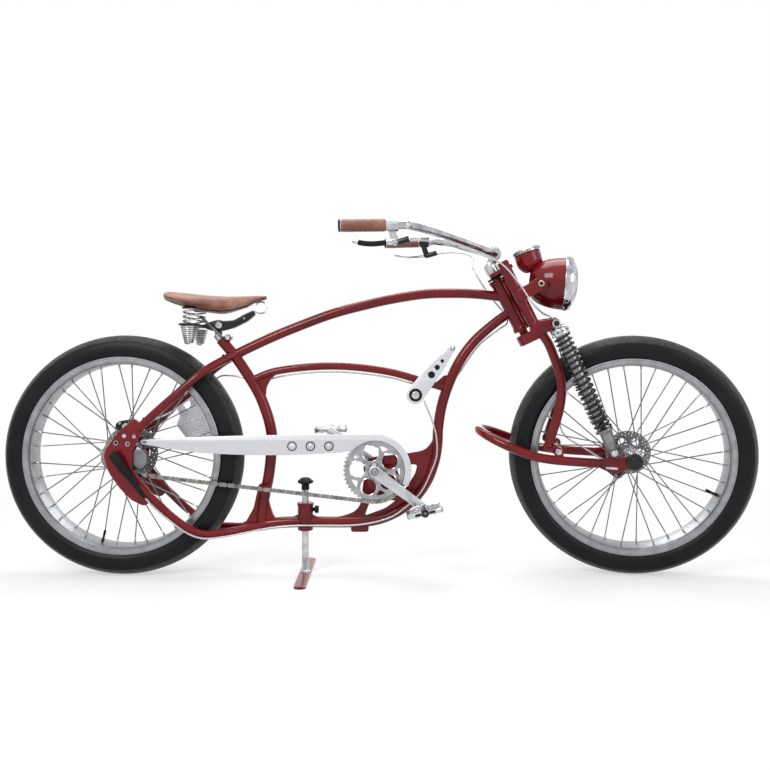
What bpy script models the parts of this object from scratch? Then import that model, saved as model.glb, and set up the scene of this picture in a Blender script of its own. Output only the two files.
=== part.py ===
"""Chopper bicycle with a leading link fork, built as separate pieces on their joint axes.

Metres, +Z up, +X towards the front wheel, -Y on the rider's right, where the chain is.
The origin is the middle of the stand's foot, on the ground under its underside.
The front end is drawn straight ahead and then turned about the steering axis.
"""

import math

import bmesh
import bpy
from mathutils import Matrix, Vector

# Shared values
GAP = 0.0003                      # clearance between two pieces that seat on each other
RUNNING = 0.0007                  # radial clearance of a bore round its pin
TUBE_SIDES = 8
ROUND_SIDES = 10
TURNED_STEPS = 16
TUBE_TOLERANCE = 0.0030           # how far a tube's straight pieces may stray from its curve
HOSE_TOLERANCE = 0.0022

# Wheels
TYRE_RADIUS = 0.345
TYRE_HALF_WIDTH = 0.0435
TYRE_WALL = 0.004
RIM_RADIUS = 0.2825               # top of the flange that holds the tyre
RIM_HALF_WIDTH = 0.040
RIM_FACE = 0.017                  # height of the flat side of the rim
RIM_BED = 0.0045                  # thickness of the bed that the spokes enter
WHEEL_STEPS = 28
SPOKE_COUNT = 36
SPOKE_RADIUS = 0.0011
SPOKE_ROW = 0.002                 # half the sideways distance between crossing spokes
LACE_TWIST_DEG = 58.0             # turn from a spoke's rim hole to its hub hole
VALVE_RADIUS = 0.004
VALVE_LENGTH = 0.034
REAR_ROTOR_RADIUS = 0.080
FRONT_ROTOR_RADIUS = 0.064
ROTOR_THICKNESS = 0.002
REAR_VALVE_DEG = -105.0           # where the valve stands, counted from the front
FRONT_VALVE_DEG = -24.0
REAR_CALIPER_DEG = 99.0
FRONT_CALIPER_DEG = 232.0

# Rear wheel and drive
REAR_AXLE_X = -0.521
REAR_HUB_HALF = 0.0747            # half the distance between the hub's end faces
REAR_HUB_NECK = 0.0150
REAR_FLANGE_RADIUS = 0.042
REAR_FLANGE_SIDE = 0.031
REAR_AXLE_RADIUS = 0.005
REAR_ROTOR_SIDE = 0.050
CHAIN_PITCH = 0.0127
CHAINRING_TEETH = 44
SPROCKET_TEETH = 22
CHAIN_SIDE = 0.058                # distance of the chain's middle from the bike's middle
CHAIN_HALF_WIDTH = 0.0045
CHAIN_HALF_HEIGHT = 0.00425
TOOTH_THICKNESS = 0.002

# Cranks and pedals
BRACKET_X = 0.202
BRACKET_Z = 0.306
BRACKET_SHELL_RADIUS = 0.024
BRACKET_SHELL_HALF = 0.037
SPINDLE_RADIUS = 0.0085
CRANK_LENGTH = 0.170
CRANK_ANGLE_DEG = -36.5           # right crank below the horizontal, towards the front
CRANK_SIDE = 0.0865               # middle of the arm
CRANK_THICKNESS = 0.013
CRANK_EYE_RADIUS = 0.0165
CRANK_TIP_RADIUS = 0.0125
PEDAL_LENGTH = 0.100
PEDAL_WIDTH = 0.074
PEDAL_THICKNESS = 0.017
PEDAL_AXLE_RADIUS = 0.0055
RIGHT_PEDAL_TILT_DEG = 13.0
LEFT_PEDAL_TILT_DEG = 2.0

# Frame tubes
TOP_TUBE_RADIUS = 0.0143
SEAT_TUBE_RADIUS = 0.0160
DOWN_TUBE_RADIUS = 0.0145
RAIL_RADIUS = 0.0165
MID_TUBE_RADIUS = 0.0110
STAY_RADIUS = 0.0120
WEB_THICKNESS = 0.012
STAY_SIDE = 0.078                 # middle of the stays and dropout plates at the axle
DROPOUT_THICKNESS = 0.006

# Head and steering
HEAD_ANGLE_DEG = 27.0             # steering axis back from the vertical
HEAD_BASE = (0.6316, 0.0, 0.700)  # where the axis leaves the lower bearing
HEAD_TUBE_RADIUS = 0.0225
HEAD_TUBE_START = 0.006
HEAD_TUBE_END = 0.170
HEAD_CUP_RADIUS = 0.0255
HEAD_CUP_HEIGHT = 0.012
STEERER_RADIUS = 0.0127
STEER_REST_DEG = -11.0            # the bars stand turned to the rider's right
STANCHION_FORWARD = 0.037
STANCHION_SIDE = 0.055
STANCHION_RADIUS = 0.0160
FORK_LEG_RADIUS = 0.0130
SHOCK_SIDE = 0.0992
SHOCK_TOP = (0.721, 0.728)
SWING_PIVOT = (0.732, 0.366)
SWING_SIDE = 0.084
SWING_PLATE = 0.008
SWING_BOLT_RADIUS = 0.0050
LUG_THICKNESS = 0.011
SWING_TUBE_RADIUS = 0.0130
SHOCK_FOOT = (0.881, 0.371)
FRONT_AXLE_X = 0.937
FRONT_AXLE_RADIUS = 0.0055
FRONT_CAP_RADIUS = 0.0235
FRONT_HUB_HALF = 0.0797
FRONT_HUB_NECK = 0.0125
FRONT_FLANGE_RADIUS = 0.030
FRONT_FLANGE_SIDE = 0.031
FRONT_ROTOR_SIDE = 0.049
SHOCK_EYE_RADIUS = 0.0115
SHOCK_EYE_HALF = 0.0107
SHOCK_BOLT_RADIUS = 0.0040
OPEN_PIVOT_GAP = 0.0013           # the lower eye is where the linkage is open
SHOCK_SEAT_RADIUS = 0.0248
SHOCK_TUBE_LENGTH = 0.215         # upper eye to the end of the tube
SHOCK_ROD_TOP = 0.170             # upper eye to the top of the rod
SHOCK_ROD_RADIUS = 0.0070
SHOCK_TUBE_RADIUS = 0.0150
SHOCK_SPRING_RADIUS = 0.0213      # to the middle of the wire
SHOCK_WIRE_RADIUS = 0.0032
SHOCK_CURLS = 10
SHOCK_CAP_LENGTH = 0.034          # eye to the spring's upper seat
SHOCK_SEAT_HEIGHT = 0.072         # eye to the spring's lower seat

# Bars and controls
BAR_RADIUS = 0.0110
GRIP_RADIUS = 0.0160
GRIP_START_X = 0.290
BAR_CLAMP = (0.549, 0.926)
LEVER_PIVOT = (0.311, 0.942)
LEVER_SIDE = 0.3375
LEVER_THICKNESS = 0.007
PERCH_THICKNESS = 0.008
LEVER_SOCKET = (0.341, 0.3292, 0.9447)   # where the hose enters the lever clamp
LAMP_RADIUS = 0.0755
LAMP_DEPTH = 0.100
LAMP_WALL = 0.003
LAMP_BOLT_RADIUS = 0.0040
EAR_THICKNESS = 0.005
LAMP_BEZEL_RADIUS = 0.0780
LAMP_BEZEL_DEPTH = 0.022
LAMP_BACK = (0.644, 0.845)        # middle of the bowl's back
LAMP_TILT_DEG = -4.0
LAMP_PIVOT = (0.680, 0.838)
POD_RADIUS = 0.0385
POD_TOP = (0.6395, 0.9265)
POD_TILT_DEG = -18.0
POD_DEPTH = 0.056

# Saddle
SADDLE_LENGTH = 0.287
SADDLE_REAR_X = -0.399
SADDLE_HALF_WIDTH = 0.112
SADDLE_TOP_Z = 0.811
SEAT_POST_RADIUS = 0.0125
SADDLE_SPRING_SIDE = 0.070
SADDLE_SPRING_X = -0.320
SADDLE_PLATE_TOP = 0.721
SADDLE_PLATE_THICKNESS = 0.007
LOWER_SPRING_HEIGHT = 0.052
LOWER_SPRING_RADII = (0.0205, 0.0095)
LOWER_SPRING_CURLS = 4
UPPER_SPRING_RADIUS = 0.0165
UPPER_SPRING_HEIGHT = 0.040
UPPER_SPRING_CURLS = 2.5
SADDLE_WIRE_RADIUS = 0.0019
NOSE_LOOP_RADIUS = 0.0170
NOSE_WIRE_RADIUS = 0.0024
NOSE_LOOP_CENTRE = (-0.129, 0.7700)

# Stand and shift lever
STAND_POST_RADIUS = 0.0100
STAND_BOSS_RADIUS = 0.0225
STAND_BOSS_BOTTOM = 0.126
STAND_BOSS_TOP = 0.205
STAND_POST_TOP = 0.243
FOOT_LENGTH = 0.340
FOOT_WIDTH = 0.034
FOOT_THICKNESS = 0.006
KNOB_HEIGHT = 0.035
KNOB_RADIUS = 0.023
LOCK_KNOB_RADIUS = 0.0110
LOCK_KNOB_LENGTH = 0.016
LOCK_KNOB_Z = 0.186
LOCK_SHAFT_RADIUS = 0.0040
LOCK_BORE_START = 0.0125
SHIFT_PIVOT = (0.318, 0.518)
SHIFT_TIP = (0.424, 0.653)
SHIFT_SIDE = 0.0285
SHIFT_THICKNESS = 0.005

# Routes of the tubes' middles, X, Y and Z, chosen along each tube
TOP_TUBE_ROUTE = (
    (0.583, 0, 0.800), (0.494, 0, 0.810), (0.419, 0, 0.812), (0.340, 0, 0.809),
    (0.245, 0, 0.794), (0.158, 0, 0.774), (0.071, 0, 0.750), (-0.045, 0, 0.706),
    (-0.126, 0, 0.671), (-0.205, 0, 0.633),
)
SEAT_STAY_ROUTE = (
    (-0.200, 0.004, 0.637), (-0.262, 0.040, 0.600), (-0.303, 0.062, 0.568),
    (-0.350, 0.073, 0.525), (-0.403, 0.078, 0.478), (-0.462, 0.078, 0.424),
)
SEAT_TUBE_ROUTE = (
    (-0.245, 0, 0.679), (-0.204, 0, 0.630), (-0.167, 0, 0.576), (-0.137, 0, 0.526),
    (-0.117, 0, 0.479), (-0.103, 0, 0.433), (-0.097, 0, 0.390), (-0.100, 0, 0.335),
    (-0.107, 0, 0.279), (-0.119, 0, 0.220), (-0.128, 0, 0.150),
)
MID_TUBE_ROUTE = (
    (-0.158, 0, 0.559), (-0.094, 0, 0.584), (-0.007, 0, 0.597), (0.077, 0, 0.601),
    (0.155, 0, 0.597), (0.245, 0, 0.584), (0.318, 0, 0.564), (0.408, 0, 0.536),
)
DOWN_TUBE_ROUTE = (
    (0.604, 0, 0.764), (0.555, 0, 0.731), (0.493, 0, 0.677), (0.451, 0, 0.622),
    (0.419, 0, 0.558), (0.396, 0, 0.490), (0.385, 0, 0.425), (0.382, 0, 0.372),
    (0.373, 0, 0.322), (0.350, 0, 0.264), (0.308, 0, 0.210), (0.253, 0, 0.173),
    (0.190, 0, 0.153), (0.110, 0, 0.149), (0.000, 0, 0.150), (-0.080, 0, 0.147),
    (-0.140, 0, 0.139), (-0.178, 0, 0.1345),
)
CHAIN_STAY_ROUTE = (
    (-0.110, 0.006, 0.1440), (-0.175, 0.022, 0.132), (-0.225, 0.046, 0.127),
    (-0.278, 0.066, 0.127), (-0.322, 0.074, 0.145), (-0.373, 0.078, 0.184),
    (-0.417, 0.078, 0.226), (-0.462, 0.078, 0.262),
)
FORK_LEG_ROUTE = (
    (0.676, 0.058, 0.706), (0.700, 0.060, 0.672), (0.719, 0.062, 0.627), (0.735, 0.064, 0.576),
    (0.738, 0.066, 0.520), (0.729, 0.067, 0.466), (0.713, 0.068, 0.412), (0.703, 0.068, 0.376),
)
BAR_ROUTE = (
    (0.546, 0.030, 0.927), (0.532, 0.048, 0.931), (0.505, 0.076, 0.940), (0.462, 0.138, 0.954),
    (0.416, 0.214, 0.968), (0.374, 0.275, 0.979), (0.346, 0.309, 0.984), (0.320, 0.330, 0.985),
)
BAR_END = (0.170, 0.350, 0.985)   # the bar is straight from its bend to here
SWING_ROUTE = (
    (0.505, 0.000, 0.413), (0.512, 0.026, 0.410), (0.534, 0.052, 0.401), (0.570, 0.071, 0.386),
    (0.612, 0.081, 0.370), (0.660, 0.084, 0.353), (0.710, 0.084, 0.344), (0.770, 0.084, 0.340),
    (0.846, 0.084, 0.337),
)

# Routes of the hoses and the shift cable
FRONT_HOSE_RADIUS = 0.0025
FRONT_HOSE_ROUTE = (
    (0.3414, -0.3292, 0.9448), (0.350, -0.3285, 0.9453), (0.372, -0.309, 0.947), (0.420, -0.230, 0.944),
    (0.470, -0.130, 0.931), (0.520, -0.094, 0.917), (0.572, -0.0860, 0.892), (0.618, -0.0870, 0.840),
    (0.655, -0.0840, 0.785),
    (0.684, -0.060, 0.756), (0.704, -0.032, 0.746), (0.714, 0.000, 0.738), (0.722, 0.028, 0.716),
    (0.730, 0.048, 0.682), (0.741, 0.060, 0.634), (0.755, 0.064, 0.578), (0.758, 0.066, 0.520),
    (0.749, 0.066, 0.464), (0.742, 0.062, 0.420), (0.760, 0.058, 0.385), (0.808, 0.058, 0.355),
    (0.8600, 0.058, 0.3234), (0.8730, 0.058, 0.3132),
)
REAR_HOSE_RADIUS = 0.0025
REAR_HOSE_BAR_ROUTE = (
    (0.3414, 0.3292, 0.9448), (0.350, 0.3285, 0.9453), (0.372, 0.309, 0.947), (0.412, 0.240, 0.944),
    (0.456, 0.150, 0.934),
    (0.480, 0.090, 0.918),
)
REAR_HOSE_ROUTE = (
    (0.492, 0.056, 0.892), (0.512, 0.042, 0.850), (0.545, 0.036, 0.800), (0.576, 0.033, 0.762),
    (0.592, 0.022, 0.736), (0.5665, 0.008, 0.716), (0.5065, 0.004, 0.664), (0.467, 0.006, 0.612),
    (0.449, 0.0190, 0.582), (0.424, 0.0210, 0.554), (0.398, 0.0190, 0.541), (0.360, 0.014, 0.539),
    (0.300, 0.003, 0.5530), (0.245, 0.000, 0.5675), (0.155, 0.000, 0.5800), (0.077, 0.000, 0.5840),
    (-0.007, 0.000, 0.5800), (-0.070, 0.007, 0.5710), (-0.118, 0.0215, 0.5610), (-0.165, 0.0225, 0.562),
    (-0.205, 0.026, 0.571), (-0.244, 0.036, 0.573), (-0.268, 0.048, 0.564), (-0.300, 0.053, 0.541),
    (-0.350, 0.055, 0.503), (-0.403, 0.058, 0.466), (-0.450, 0.060, 0.444), (-0.4877, 0.058, 0.4323),
    (-0.5033, 0.058, 0.4299),
)
SHIFT_CABLE_RADIUS = 0.0025
SHIFT_CABLE_ROUTE = (
    (0.3425, -0.0285, 0.5025), (0.352, -0.027, 0.478), (0.366, -0.023, 0.443), (0.378, -0.0205, 0.400),
    (0.379, -0.020, 0.345), (0.363, -0.020, 0.298), (0.334, -0.020, 0.240), (0.285, -0.020, 0.192),
    (0.236, -0.0205, 0.163), (0.153, -0.0212, 0.145), (0.044, -0.0262, 0.144), (-0.020, -0.0262, 0.144),
    (-0.080, -0.022, 0.139), (-0.129, -0.024, 0.132), (-0.175, -0.039, 0.1245), (-0.225, -0.0635, 0.1195),
    (-0.278, -0.0835, 0.1195), (-0.322, -0.0920, 0.137), (-0.373, -0.0960, 0.176),
    (-0.412, -0.0965, 0.209), (-0.4345, -0.097, 0.2335),
)


def empty_scene():
    """Remove whatever the scene holds."""
    for item in list(bpy.data.objects):
        bpy.data.objects.remove(item, do_unlink=True)


def material(name, colour, roughness, metallic):
    """A Principled material with one colour."""
    made = bpy.data.materials.new(name)
    made.use_nodes = True
    shader = made.node_tree.nodes["Principled BSDF"]
    shader.inputs["Base Color"].default_value = (*colour, 1.0)
    shader.inputs["Roughness"].default_value = roughness
    shader.inputs["Metallic"].default_value = metallic
    made.diffuse_color = (*colour, 1.0)
    return made


def add_object(name, mesh):
    """Put a mesh into the scene as an object."""
    item = bpy.data.objects.new(name, mesh)
    bpy.context.scene.collection.objects.link(item)
    return item


def drop(item):
    """Take a helper object out again, with its data."""
    data = item.data
    bpy.data.objects.remove(item, do_unlink=True)
    if isinstance(data, bpy.types.Curve):
        bpy.data.curves.remove(data)
    else:
        bpy.data.meshes.remove(data)


def evaluated_mesh(item):
    """The object's mesh with its modifiers or its bevel."""
    bpy.context.view_layer.update()
    graph = bpy.context.evaluated_depsgraph_get()
    return bpy.data.meshes.new_from_object(item.evaluated_get(graph))


def tidy_mesh(mesh, distance=1e-6):
    """Weld doubled points and turn every face outwards."""
    work = bmesh.new()
    work.from_mesh(mesh)
    bmesh.ops.remove_doubles(work, verts=work.verts, dist=distance)
    bmesh.ops.recalc_face_normals(work, faces=work.faces)
    work.to_mesh(mesh)
    work.free()
    mesh.update()


def boolean(target, other, operation):
    """Join, cut or keep the overlap of two closed solids, and drop the second."""
    modifier = target.modifiers.new("boolean", "BOOLEAN")
    modifier.operation = operation
    modifier.solver = "EXACT"
    modifier.object = other
    mesh = evaluated_mesh(target)
    target.modifiers.remove(modifier)
    old = target.data
    target.data = mesh
    bpy.data.meshes.remove(old)
    drop(other)
    return target


def join(target, *others):
    """Weld solids into one."""
    for other in others:
        boolean(target, other, "UNION")
    return target


def cut(target, *others):
    """Cut solids out of the first one."""
    for other in others:
        boolean(target, other, "DIFFERENCE")
    return target


def side(point, sign):
    """A route point on the rider's left (+1) or right (-1)."""
    return Vector((point[0], sign * point[1], point[2]))


def flat(point, across):
    """A point of the side view, X and Z, at a distance across the bike."""
    return Vector((point[0], across, point[1]))


def smooth_route(points, tolerance=TUBE_TOLERANCE):
    """The points that a Catmull-Rom curve through a route needs to stay within a tolerance."""
    nodes = [Vector(point) for point in points]
    ends = [2 * nodes[0] - nodes[1]] + nodes + [2 * nodes[-1] - nodes[-2]]
    fine = []
    for a, b, c, d in zip(ends, ends[1:], ends[2:], ends[3:]):
        for step in range(10):
            t = step / 10
            square = (2 * a - 5 * b + 4 * c - d) * t * t
            cube = (3 * b - a - 3 * c + d) * t ** 3
            fine.append(0.5 * (2 * b + (c - a) * t + square + cube))
    fine.append(nodes[-1])
    return thin_out(fine, tolerance)


def thin_out(line, tolerance):
    """Keep only the points of a line that lie off the chords between the kept ones."""
    chord = line[-1] - line[0]
    worst = 0.0
    place = 0
    for number in range(1, len(line) - 1):
        offset = line[number] - line[0]
        off_chord = (offset - chord * (offset.dot(chord) / chord.length_squared)).length
        if off_chord > worst:
            worst = off_chord
            place = number
    if worst <= tolerance:
        return [line[0], line[-1]]
    return thin_out(line[:place + 1], tolerance)[:-1] + thin_out(line[place:], tolerance)


def tube(name, route, radius, sides=TUBE_SIDES, tip_radius=None, closed=False):
    """A round bar along a route, from a curve with a bevel and filled ends."""
    curve = bpy.data.curves.new(name, "CURVE")
    curve.dimensions = "3D"
    curve.bevel_depth = radius
    curve.bevel_resolution = (sides - 4) // 2
    curve.use_fill_caps = not closed
    spline = curve.splines.new("POLY")
    spline.points.add(len(route) - 1)
    spline.use_cyclic_u = closed
    for number, point in enumerate(route):
        spline.points[number].co = (*point, 1.0)
        if tip_radius is not None:
            share = number / (len(route) - 1)
            spline.points[number].radius = 1.0 + share * (tip_radius / radius - 1.0)
    helper = add_object(name, curve)
    mesh = evaluated_mesh(helper)
    drop(helper)
    tidy_mesh(mesh)
    return add_object(name, mesh)


def bar(name, start, end, radius, sides=ROUND_SIDES, tip_radius=None):
    """A straight round bar or cone between two points."""
    start = Vector(start)
    end = Vector(end)
    work = bmesh.new()
    direction = end - start
    turn = direction.to_track_quat("Z", "Y").to_matrix().to_4x4()
    place = Matrix.Translation((start + end) / 2) @ turn
    bmesh.ops.create_cone(
        work, cap_ends=True, segments=sides, radius1=radius,
        radius2=radius if tip_radius is None else tip_radius,
        depth=direction.length, matrix=place,
    )
    mesh = bpy.data.meshes.new(name)
    work.to_mesh(mesh)
    work.free()
    tidy_mesh(mesh)
    return add_object(name, mesh)


def drill(start, end, radius, sides=12):
    """A cutter whose flat sides stand outside the radius that it has to clear."""
    return bar("drill", start, end, radius / math.cos(math.pi / sides), sides)


def block(name, low, high):
    """A box between two corners."""
    work = bmesh.new()
    size = Vector(high) - Vector(low)
    middle = (Vector(high) + Vector(low)) / 2
    bmesh.ops.create_cube(work, size=1.0, matrix=Matrix.Translation(middle) @ Matrix.Diagonal((*size, 1.0)))
    mesh = bpy.data.meshes.new(name)
    work.to_mesh(mesh)
    work.free()
    tidy_mesh(mesh)
    return add_object(name, mesh)


def turned(name, profile, centre, axis, steps=24, ring=False):
    """A turned solid: radius and height pairs spun about an axis through a centre."""
    work = bmesh.new()
    points = [work.verts.new((radius, 0.0, height)) for radius, height in profile]
    edges = [work.edges.new(pair) for pair in zip(points, points[1:])]
    if ring:
        edges.append(work.edges.new((points[-1], points[0])))
    bmesh.ops.spin(
        work, geom=points + edges, axis=(0, 0, 1), cent=(0, 0, 0),
        angle=2 * math.pi, steps=steps, use_merge=True,
    )
    bmesh.ops.remove_doubles(work, verts=work.verts, dist=1e-6)
    turn = Vector(axis).to_track_quat("Z", "Y").to_matrix().to_4x4()
    bmesh.ops.transform(work, matrix=Matrix.Translation(centre) @ turn, verts=work.verts)
    mesh = bpy.data.meshes.new(name)
    work.to_mesh(mesh)
    work.free()
    tidy_mesh(mesh)
    return add_object(name, mesh)


def plate(name, outline, across, thickness, holes=()):
    """A flat plate in the side view, X and Z, with holes, centred at a distance across."""
    curve = bpy.data.curves.new(name, "CURVE")
    curve.dimensions = "2D"
    curve.fill_mode = "BOTH"
    curve.extrude = thickness / 2
    for loop in (outline, *holes):
        spline = curve.splines.new("POLY")
        spline.points.add(len(loop) - 1)
        spline.use_cyclic_u = True
        for number, point in enumerate(loop):
            spline.points[number].co = (point[0], point[1], 0.0, 1.0)
    helper = add_object(name, curve)
    mesh = evaluated_mesh(helper)
    drop(helper)
    stand_up = Matrix.Translation((0, across, 0)) @ Matrix.Rotation(math.pi / 2, 4, "X")
    mesh.transform(stand_up)
    tidy_mesh(mesh)
    return add_object(name, mesh)


def arc(centre, radius, start_deg, end_deg, count):
    """Points along an arc of the side view."""
    points = []
    for step in range(count + 1):
        angle = math.radians(start_deg + (end_deg - start_deg) * step / count)
        points.append((centre[0] + radius * math.cos(angle), centre[1] + radius * math.sin(angle)))
    return points


def circle(centre, radius, count=ROUND_SIDES):
    """A full circle of the side view."""
    return arc(centre, radius, 0, 360 - 360 / count, count - 1)


def link_outline(first, first_radius, second, second_radius, count=4):
    """The outline of two circles joined by their outer tangents."""
    run = Vector(second) - Vector(first)
    heading = math.degrees(math.atan2(run.y, run.x))
    lean = math.degrees(math.acos((first_radius - second_radius) / run.length))
    back = arc(first, first_radius, heading + lean, heading + 360 - lean, count)
    front = arc(second, second_radius, heading - lean, heading + lean, count)
    return back + front


def flatten(mesh):
    """Merge faces that lie in one plane, so that a joined piece keeps few triangles."""
    work = bmesh.new()
    work.from_mesh(mesh)
    bmesh.ops.dissolve_limit(work, angle_limit=math.radians(0.2), verts=work.verts, edges=work.edges)
    work.to_mesh(mesh)
    work.free()
    mesh.update()


def shade(item, finish):
    """Give the object its material and smooth its round faces."""
    flatten(item.data)
    item.data.materials.clear()
    item.data.materials.append(finish)
    item.data.shade_smooth()
    item.data.set_sharp_from_angle(angle=math.radians(35))


PIVOTS = {}


def pivot_empty(name, place, parent=None):
    """An empty on a joint axis, which its body's pieces hang on."""
    empty = bpy.data.objects.new(name, None)
    bpy.context.scene.collection.objects.link(empty)
    empty.empty_display_size = 0.03
    empty.location = place
    PIVOTS[name] = Vector(place)
    if parent is not None:
        empty.parent = parent
        empty.matrix_parent_inverse = Matrix.Translation(-PIVOTS[parent.name])
    return empty


def finish_piece(item, finish, pivot):
    """Shade a finished piece and hang it on its body's empty."""
    shade(item, finish)
    item.parent = pivot
    item.matrix_parent_inverse = Matrix.Translation(-PIVOTS[pivot.name])
    return item


def steering_frame():
    """The steering axis and the forward direction square to it, both of length one."""
    lean = math.radians(HEAD_ANGLE_DEG)
    axis = Vector((-math.sin(lean), 0, math.cos(lean)))
    forward = Vector((math.cos(lean), 0, math.sin(lean)))
    return axis, forward


def on_fork(along, forward, across=0.0):
    """A point measured along the steering axis, ahead of it and across."""
    axis, ahead = steering_frame()
    return Vector(HEAD_BASE) + axis * along + ahead * forward + Vector((0, across, 0))


def tyre_profile():
    """Radius and side distance round the tyre's wall, open towards the rim."""
    seat = RIM_RADIUS - 0.0095
    neck = RIM_HALF_WIDTH - 0.0028 - GAP
    height = TYRE_RADIUS - RIM_RADIUS
    outer = [
        (seat, neck), (RIM_RADIUS + GAP, neck), (RIM_RADIUS + height * 0.288, TYRE_HALF_WIDTH),
        (TYRE_RADIUS - height * 0.192, TYRE_HALF_WIDTH * 0.72),
    ]
    inner = [
        (RIM_RADIUS + height * 0.384, TYRE_HALF_WIDTH - TYRE_WALL - 0.001),
        (seat, neck - TYRE_WALL),
    ]
    right = [(radius, -across) for radius, across in outer]
    left = [(radius, across) for radius, across in reversed(outer)]
    left_inner = [(radius, across) for radius, across in reversed(inner)]
    right_inner = [(radius, -across) for radius, across in inner]
    crown = [(TYRE_RADIUS, 0.0)]
    ceiling = [(TYRE_RADIUS - TYRE_WALL, 0.0)]
    return right + crown + left + left_inner + ceiling + right_inner


def front_axle_height():
    """Height at which the leaning, turned tyre just meets the ground."""
    axis, ahead = steering_frame()
    turn = math.radians(STEER_REST_DEG)
    lean_sine = abs(math.sin(turn) * axis.x)
    lean_cosine = math.sqrt(1.0 - lean_sine ** 2)
    reach = max(r * lean_cosine + abs(y) * lean_sine for r, y in tyre_profile())
    offset = (Vector((FRONT_AXLE_X, 0, TYRE_RADIUS)) - Vector(HEAD_BASE)).dot(ahead)
    drop_in_turn = offset * (1.0 - math.cos(turn)) * ahead.z
    return reach + drop_in_turn


FRONT_AXLE_Z = front_axle_height()
REAR_AXLE = (REAR_AXLE_X, TYRE_RADIUS)
FRONT_AXLE = (FRONT_AXLE_X, FRONT_AXLE_Z)
BRACKET = (BRACKET_X, BRACKET_Z)
CHAINRING_RADIUS = CHAIN_PITCH / (2 * math.sin(math.pi / CHAINRING_TEETH))
SPROCKET_RADIUS = CHAIN_PITCH / (2 * math.sin(math.pi / SPROCKET_TEETH))


def wheel_ring(name, profile, axle):
    """A ring turned about a wheel's axle, with a point of every circle at the bottom."""
    item = turned(name, [(r, -y) for r, y in profile], (0, 0, 0), (0, 0, 1), WHEEL_STEPS, ring=True)
    upright = Matrix.Rotation(math.pi / 2, 4, "X")
    item.data.transform(Matrix.Translation(flat(axle, 0)) @ upright)
    tidy_mesh(item.data)
    return item


def make_tyre(name, axle, finish, pivot):
    """A hollow tyre whose beads sit inside the rim's flanges."""
    return finish_piece(wheel_ring(name, tyre_profile(), axle), finish, pivot)


def rim_bed_radius():
    """Inner radius of the rim, where the nipples stand."""
    return RIM_RADIUS - RIM_FACE - RIM_BED


def make_rim(name, axle, valve_deg, finish, pivot):
    """A channel with flat sides, a raised bed and two flanges, with its valve."""
    bed = rim_bed_radius()
    half = RIM_HALF_WIDTH
    profile = [
        (RIM_RADIUS, -half), (RIM_RADIUS - RIM_FACE, -half), (bed, -half + 0.007),
        (bed, half - 0.007), (RIM_RADIUS - RIM_FACE, half), (RIM_RADIUS, half),
        (RIM_RADIUS, half - 0.0025), (bed + RIM_BED, half - 0.0030),
        (bed + RIM_BED, -half + 0.0030), (RIM_RADIUS, -half + 0.0025),
    ]
    rim = wheel_ring(name, profile, axle)
    angle = math.radians(valve_deg)
    out = Vector((math.cos(angle), 0, math.sin(angle)))
    start = flat(axle, 0) + out * (bed + RIM_BED / 2)
    join(rim, bar("valve", start, start - out * VALVE_LENGTH, VALVE_RADIUS, 10, VALVE_RADIUS * 0.8))
    return finish_piece(rim, finish, pivot)


def spokes(hub, axle, flange_radius, flange_side):
    """Weld 36 crossed spokes into the hub's two flanges."""
    rim_end = rim_bed_radius() * math.cos(math.pi / WHEEL_STEPS) - GAP
    for number in range(SPOKE_COUNT):
        left = 1 if number % 2 else -1
        twist = LACE_TWIST_DEG if (number // 2) % 2 else -LACE_TWIST_DEG
        row = SPOKE_ROW if (number // 2) % 2 else -SPOKE_ROW
        outer_angle = math.radians(360 / SPOKE_COUNT * (number + 0.5))
        inner_angle = outer_angle + math.radians(twist)
        start = Vector((
            axle[0] + (flange_radius - 0.002) * math.cos(inner_angle), left * flange_side + row,
            axle[1] + (flange_radius - 0.002) * math.sin(inner_angle),
        ))
        end = Vector((
            axle[0] + rim_end * math.cos(outer_angle), left * 0.012 + row,
            axle[1] + rim_end * math.sin(outer_angle),
        ))
        join(hub, bar("spoke", start, end, SPOKE_RADIUS, sides=3))
    return hub


def make_hub(name, axle, profile, flange_radius, flange_side, bore, finish, pivot):
    """A turned hub with a bore for its axle, its flanges and its spokes."""
    hub = turned(name, profile, flat(axle, 0), (0, 1, 0), ROUND_SIDES)
    spokes(hub, axle, flange_radius, flange_side)
    reach = abs(profile[0][1]) + 0.01
    cut(hub, drill(flat(axle, -reach), flat(axle, reach), bore))
    return finish_piece(hub, finish, pivot)


def hub_profile(half, body, flange_radius, flange_side, neck):
    """Half turned outline of a hub, mirrored about its middle."""
    thick = 0.0042
    shoulder = body + 0.004
    right = [
        (0.0, half), (neck, half), (neck, flange_side + thick + 0.006),
        (shoulder, flange_side + thick), (flange_radius, flange_side + thick),
        (flange_radius, flange_side - thick), (shoulder, flange_side - thick),
        (body, flange_side - thick - 0.006),
    ]
    return [(r, -y) for r, y in right] + [(r, y) for r, y in reversed(right)]


def make_rotor(name, axle, radius, across, bore, finish, pivot):
    """A brake disc with its carrier and lightening holes."""
    outline = circle(axle, radius, 24)
    holes = [circle(axle, bore / math.cos(math.pi / 12), 12)]
    for number in range(6):
        angle = 2 * math.pi * number / 6
        reach = 0.54 * radius
        middle = (axle[0] + reach * math.cos(angle), axle[1] + reach * math.sin(angle))
        holes.append(circle(middle, 0.19 * radius, 5))
    return finish_piece(plate(name, outline, across, ROTOR_THICKNESS, holes), finish, pivot)


def toothed_outline(centre, teeth, pitch_radius):
    """The outline of a chain wheel."""
    tip = pitch_radius + 0.0012
    root = pitch_radius - 0.0038
    points = []
    for tooth in range(teeth):
        for share, radius in ((0.0, tip), (0.5, root)):
            angle = 2 * math.pi * (tooth + share) / teeth
            points.append((centre[0] + radius * math.cos(angle), centre[1] + radius * math.sin(angle)))
    return points


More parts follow.
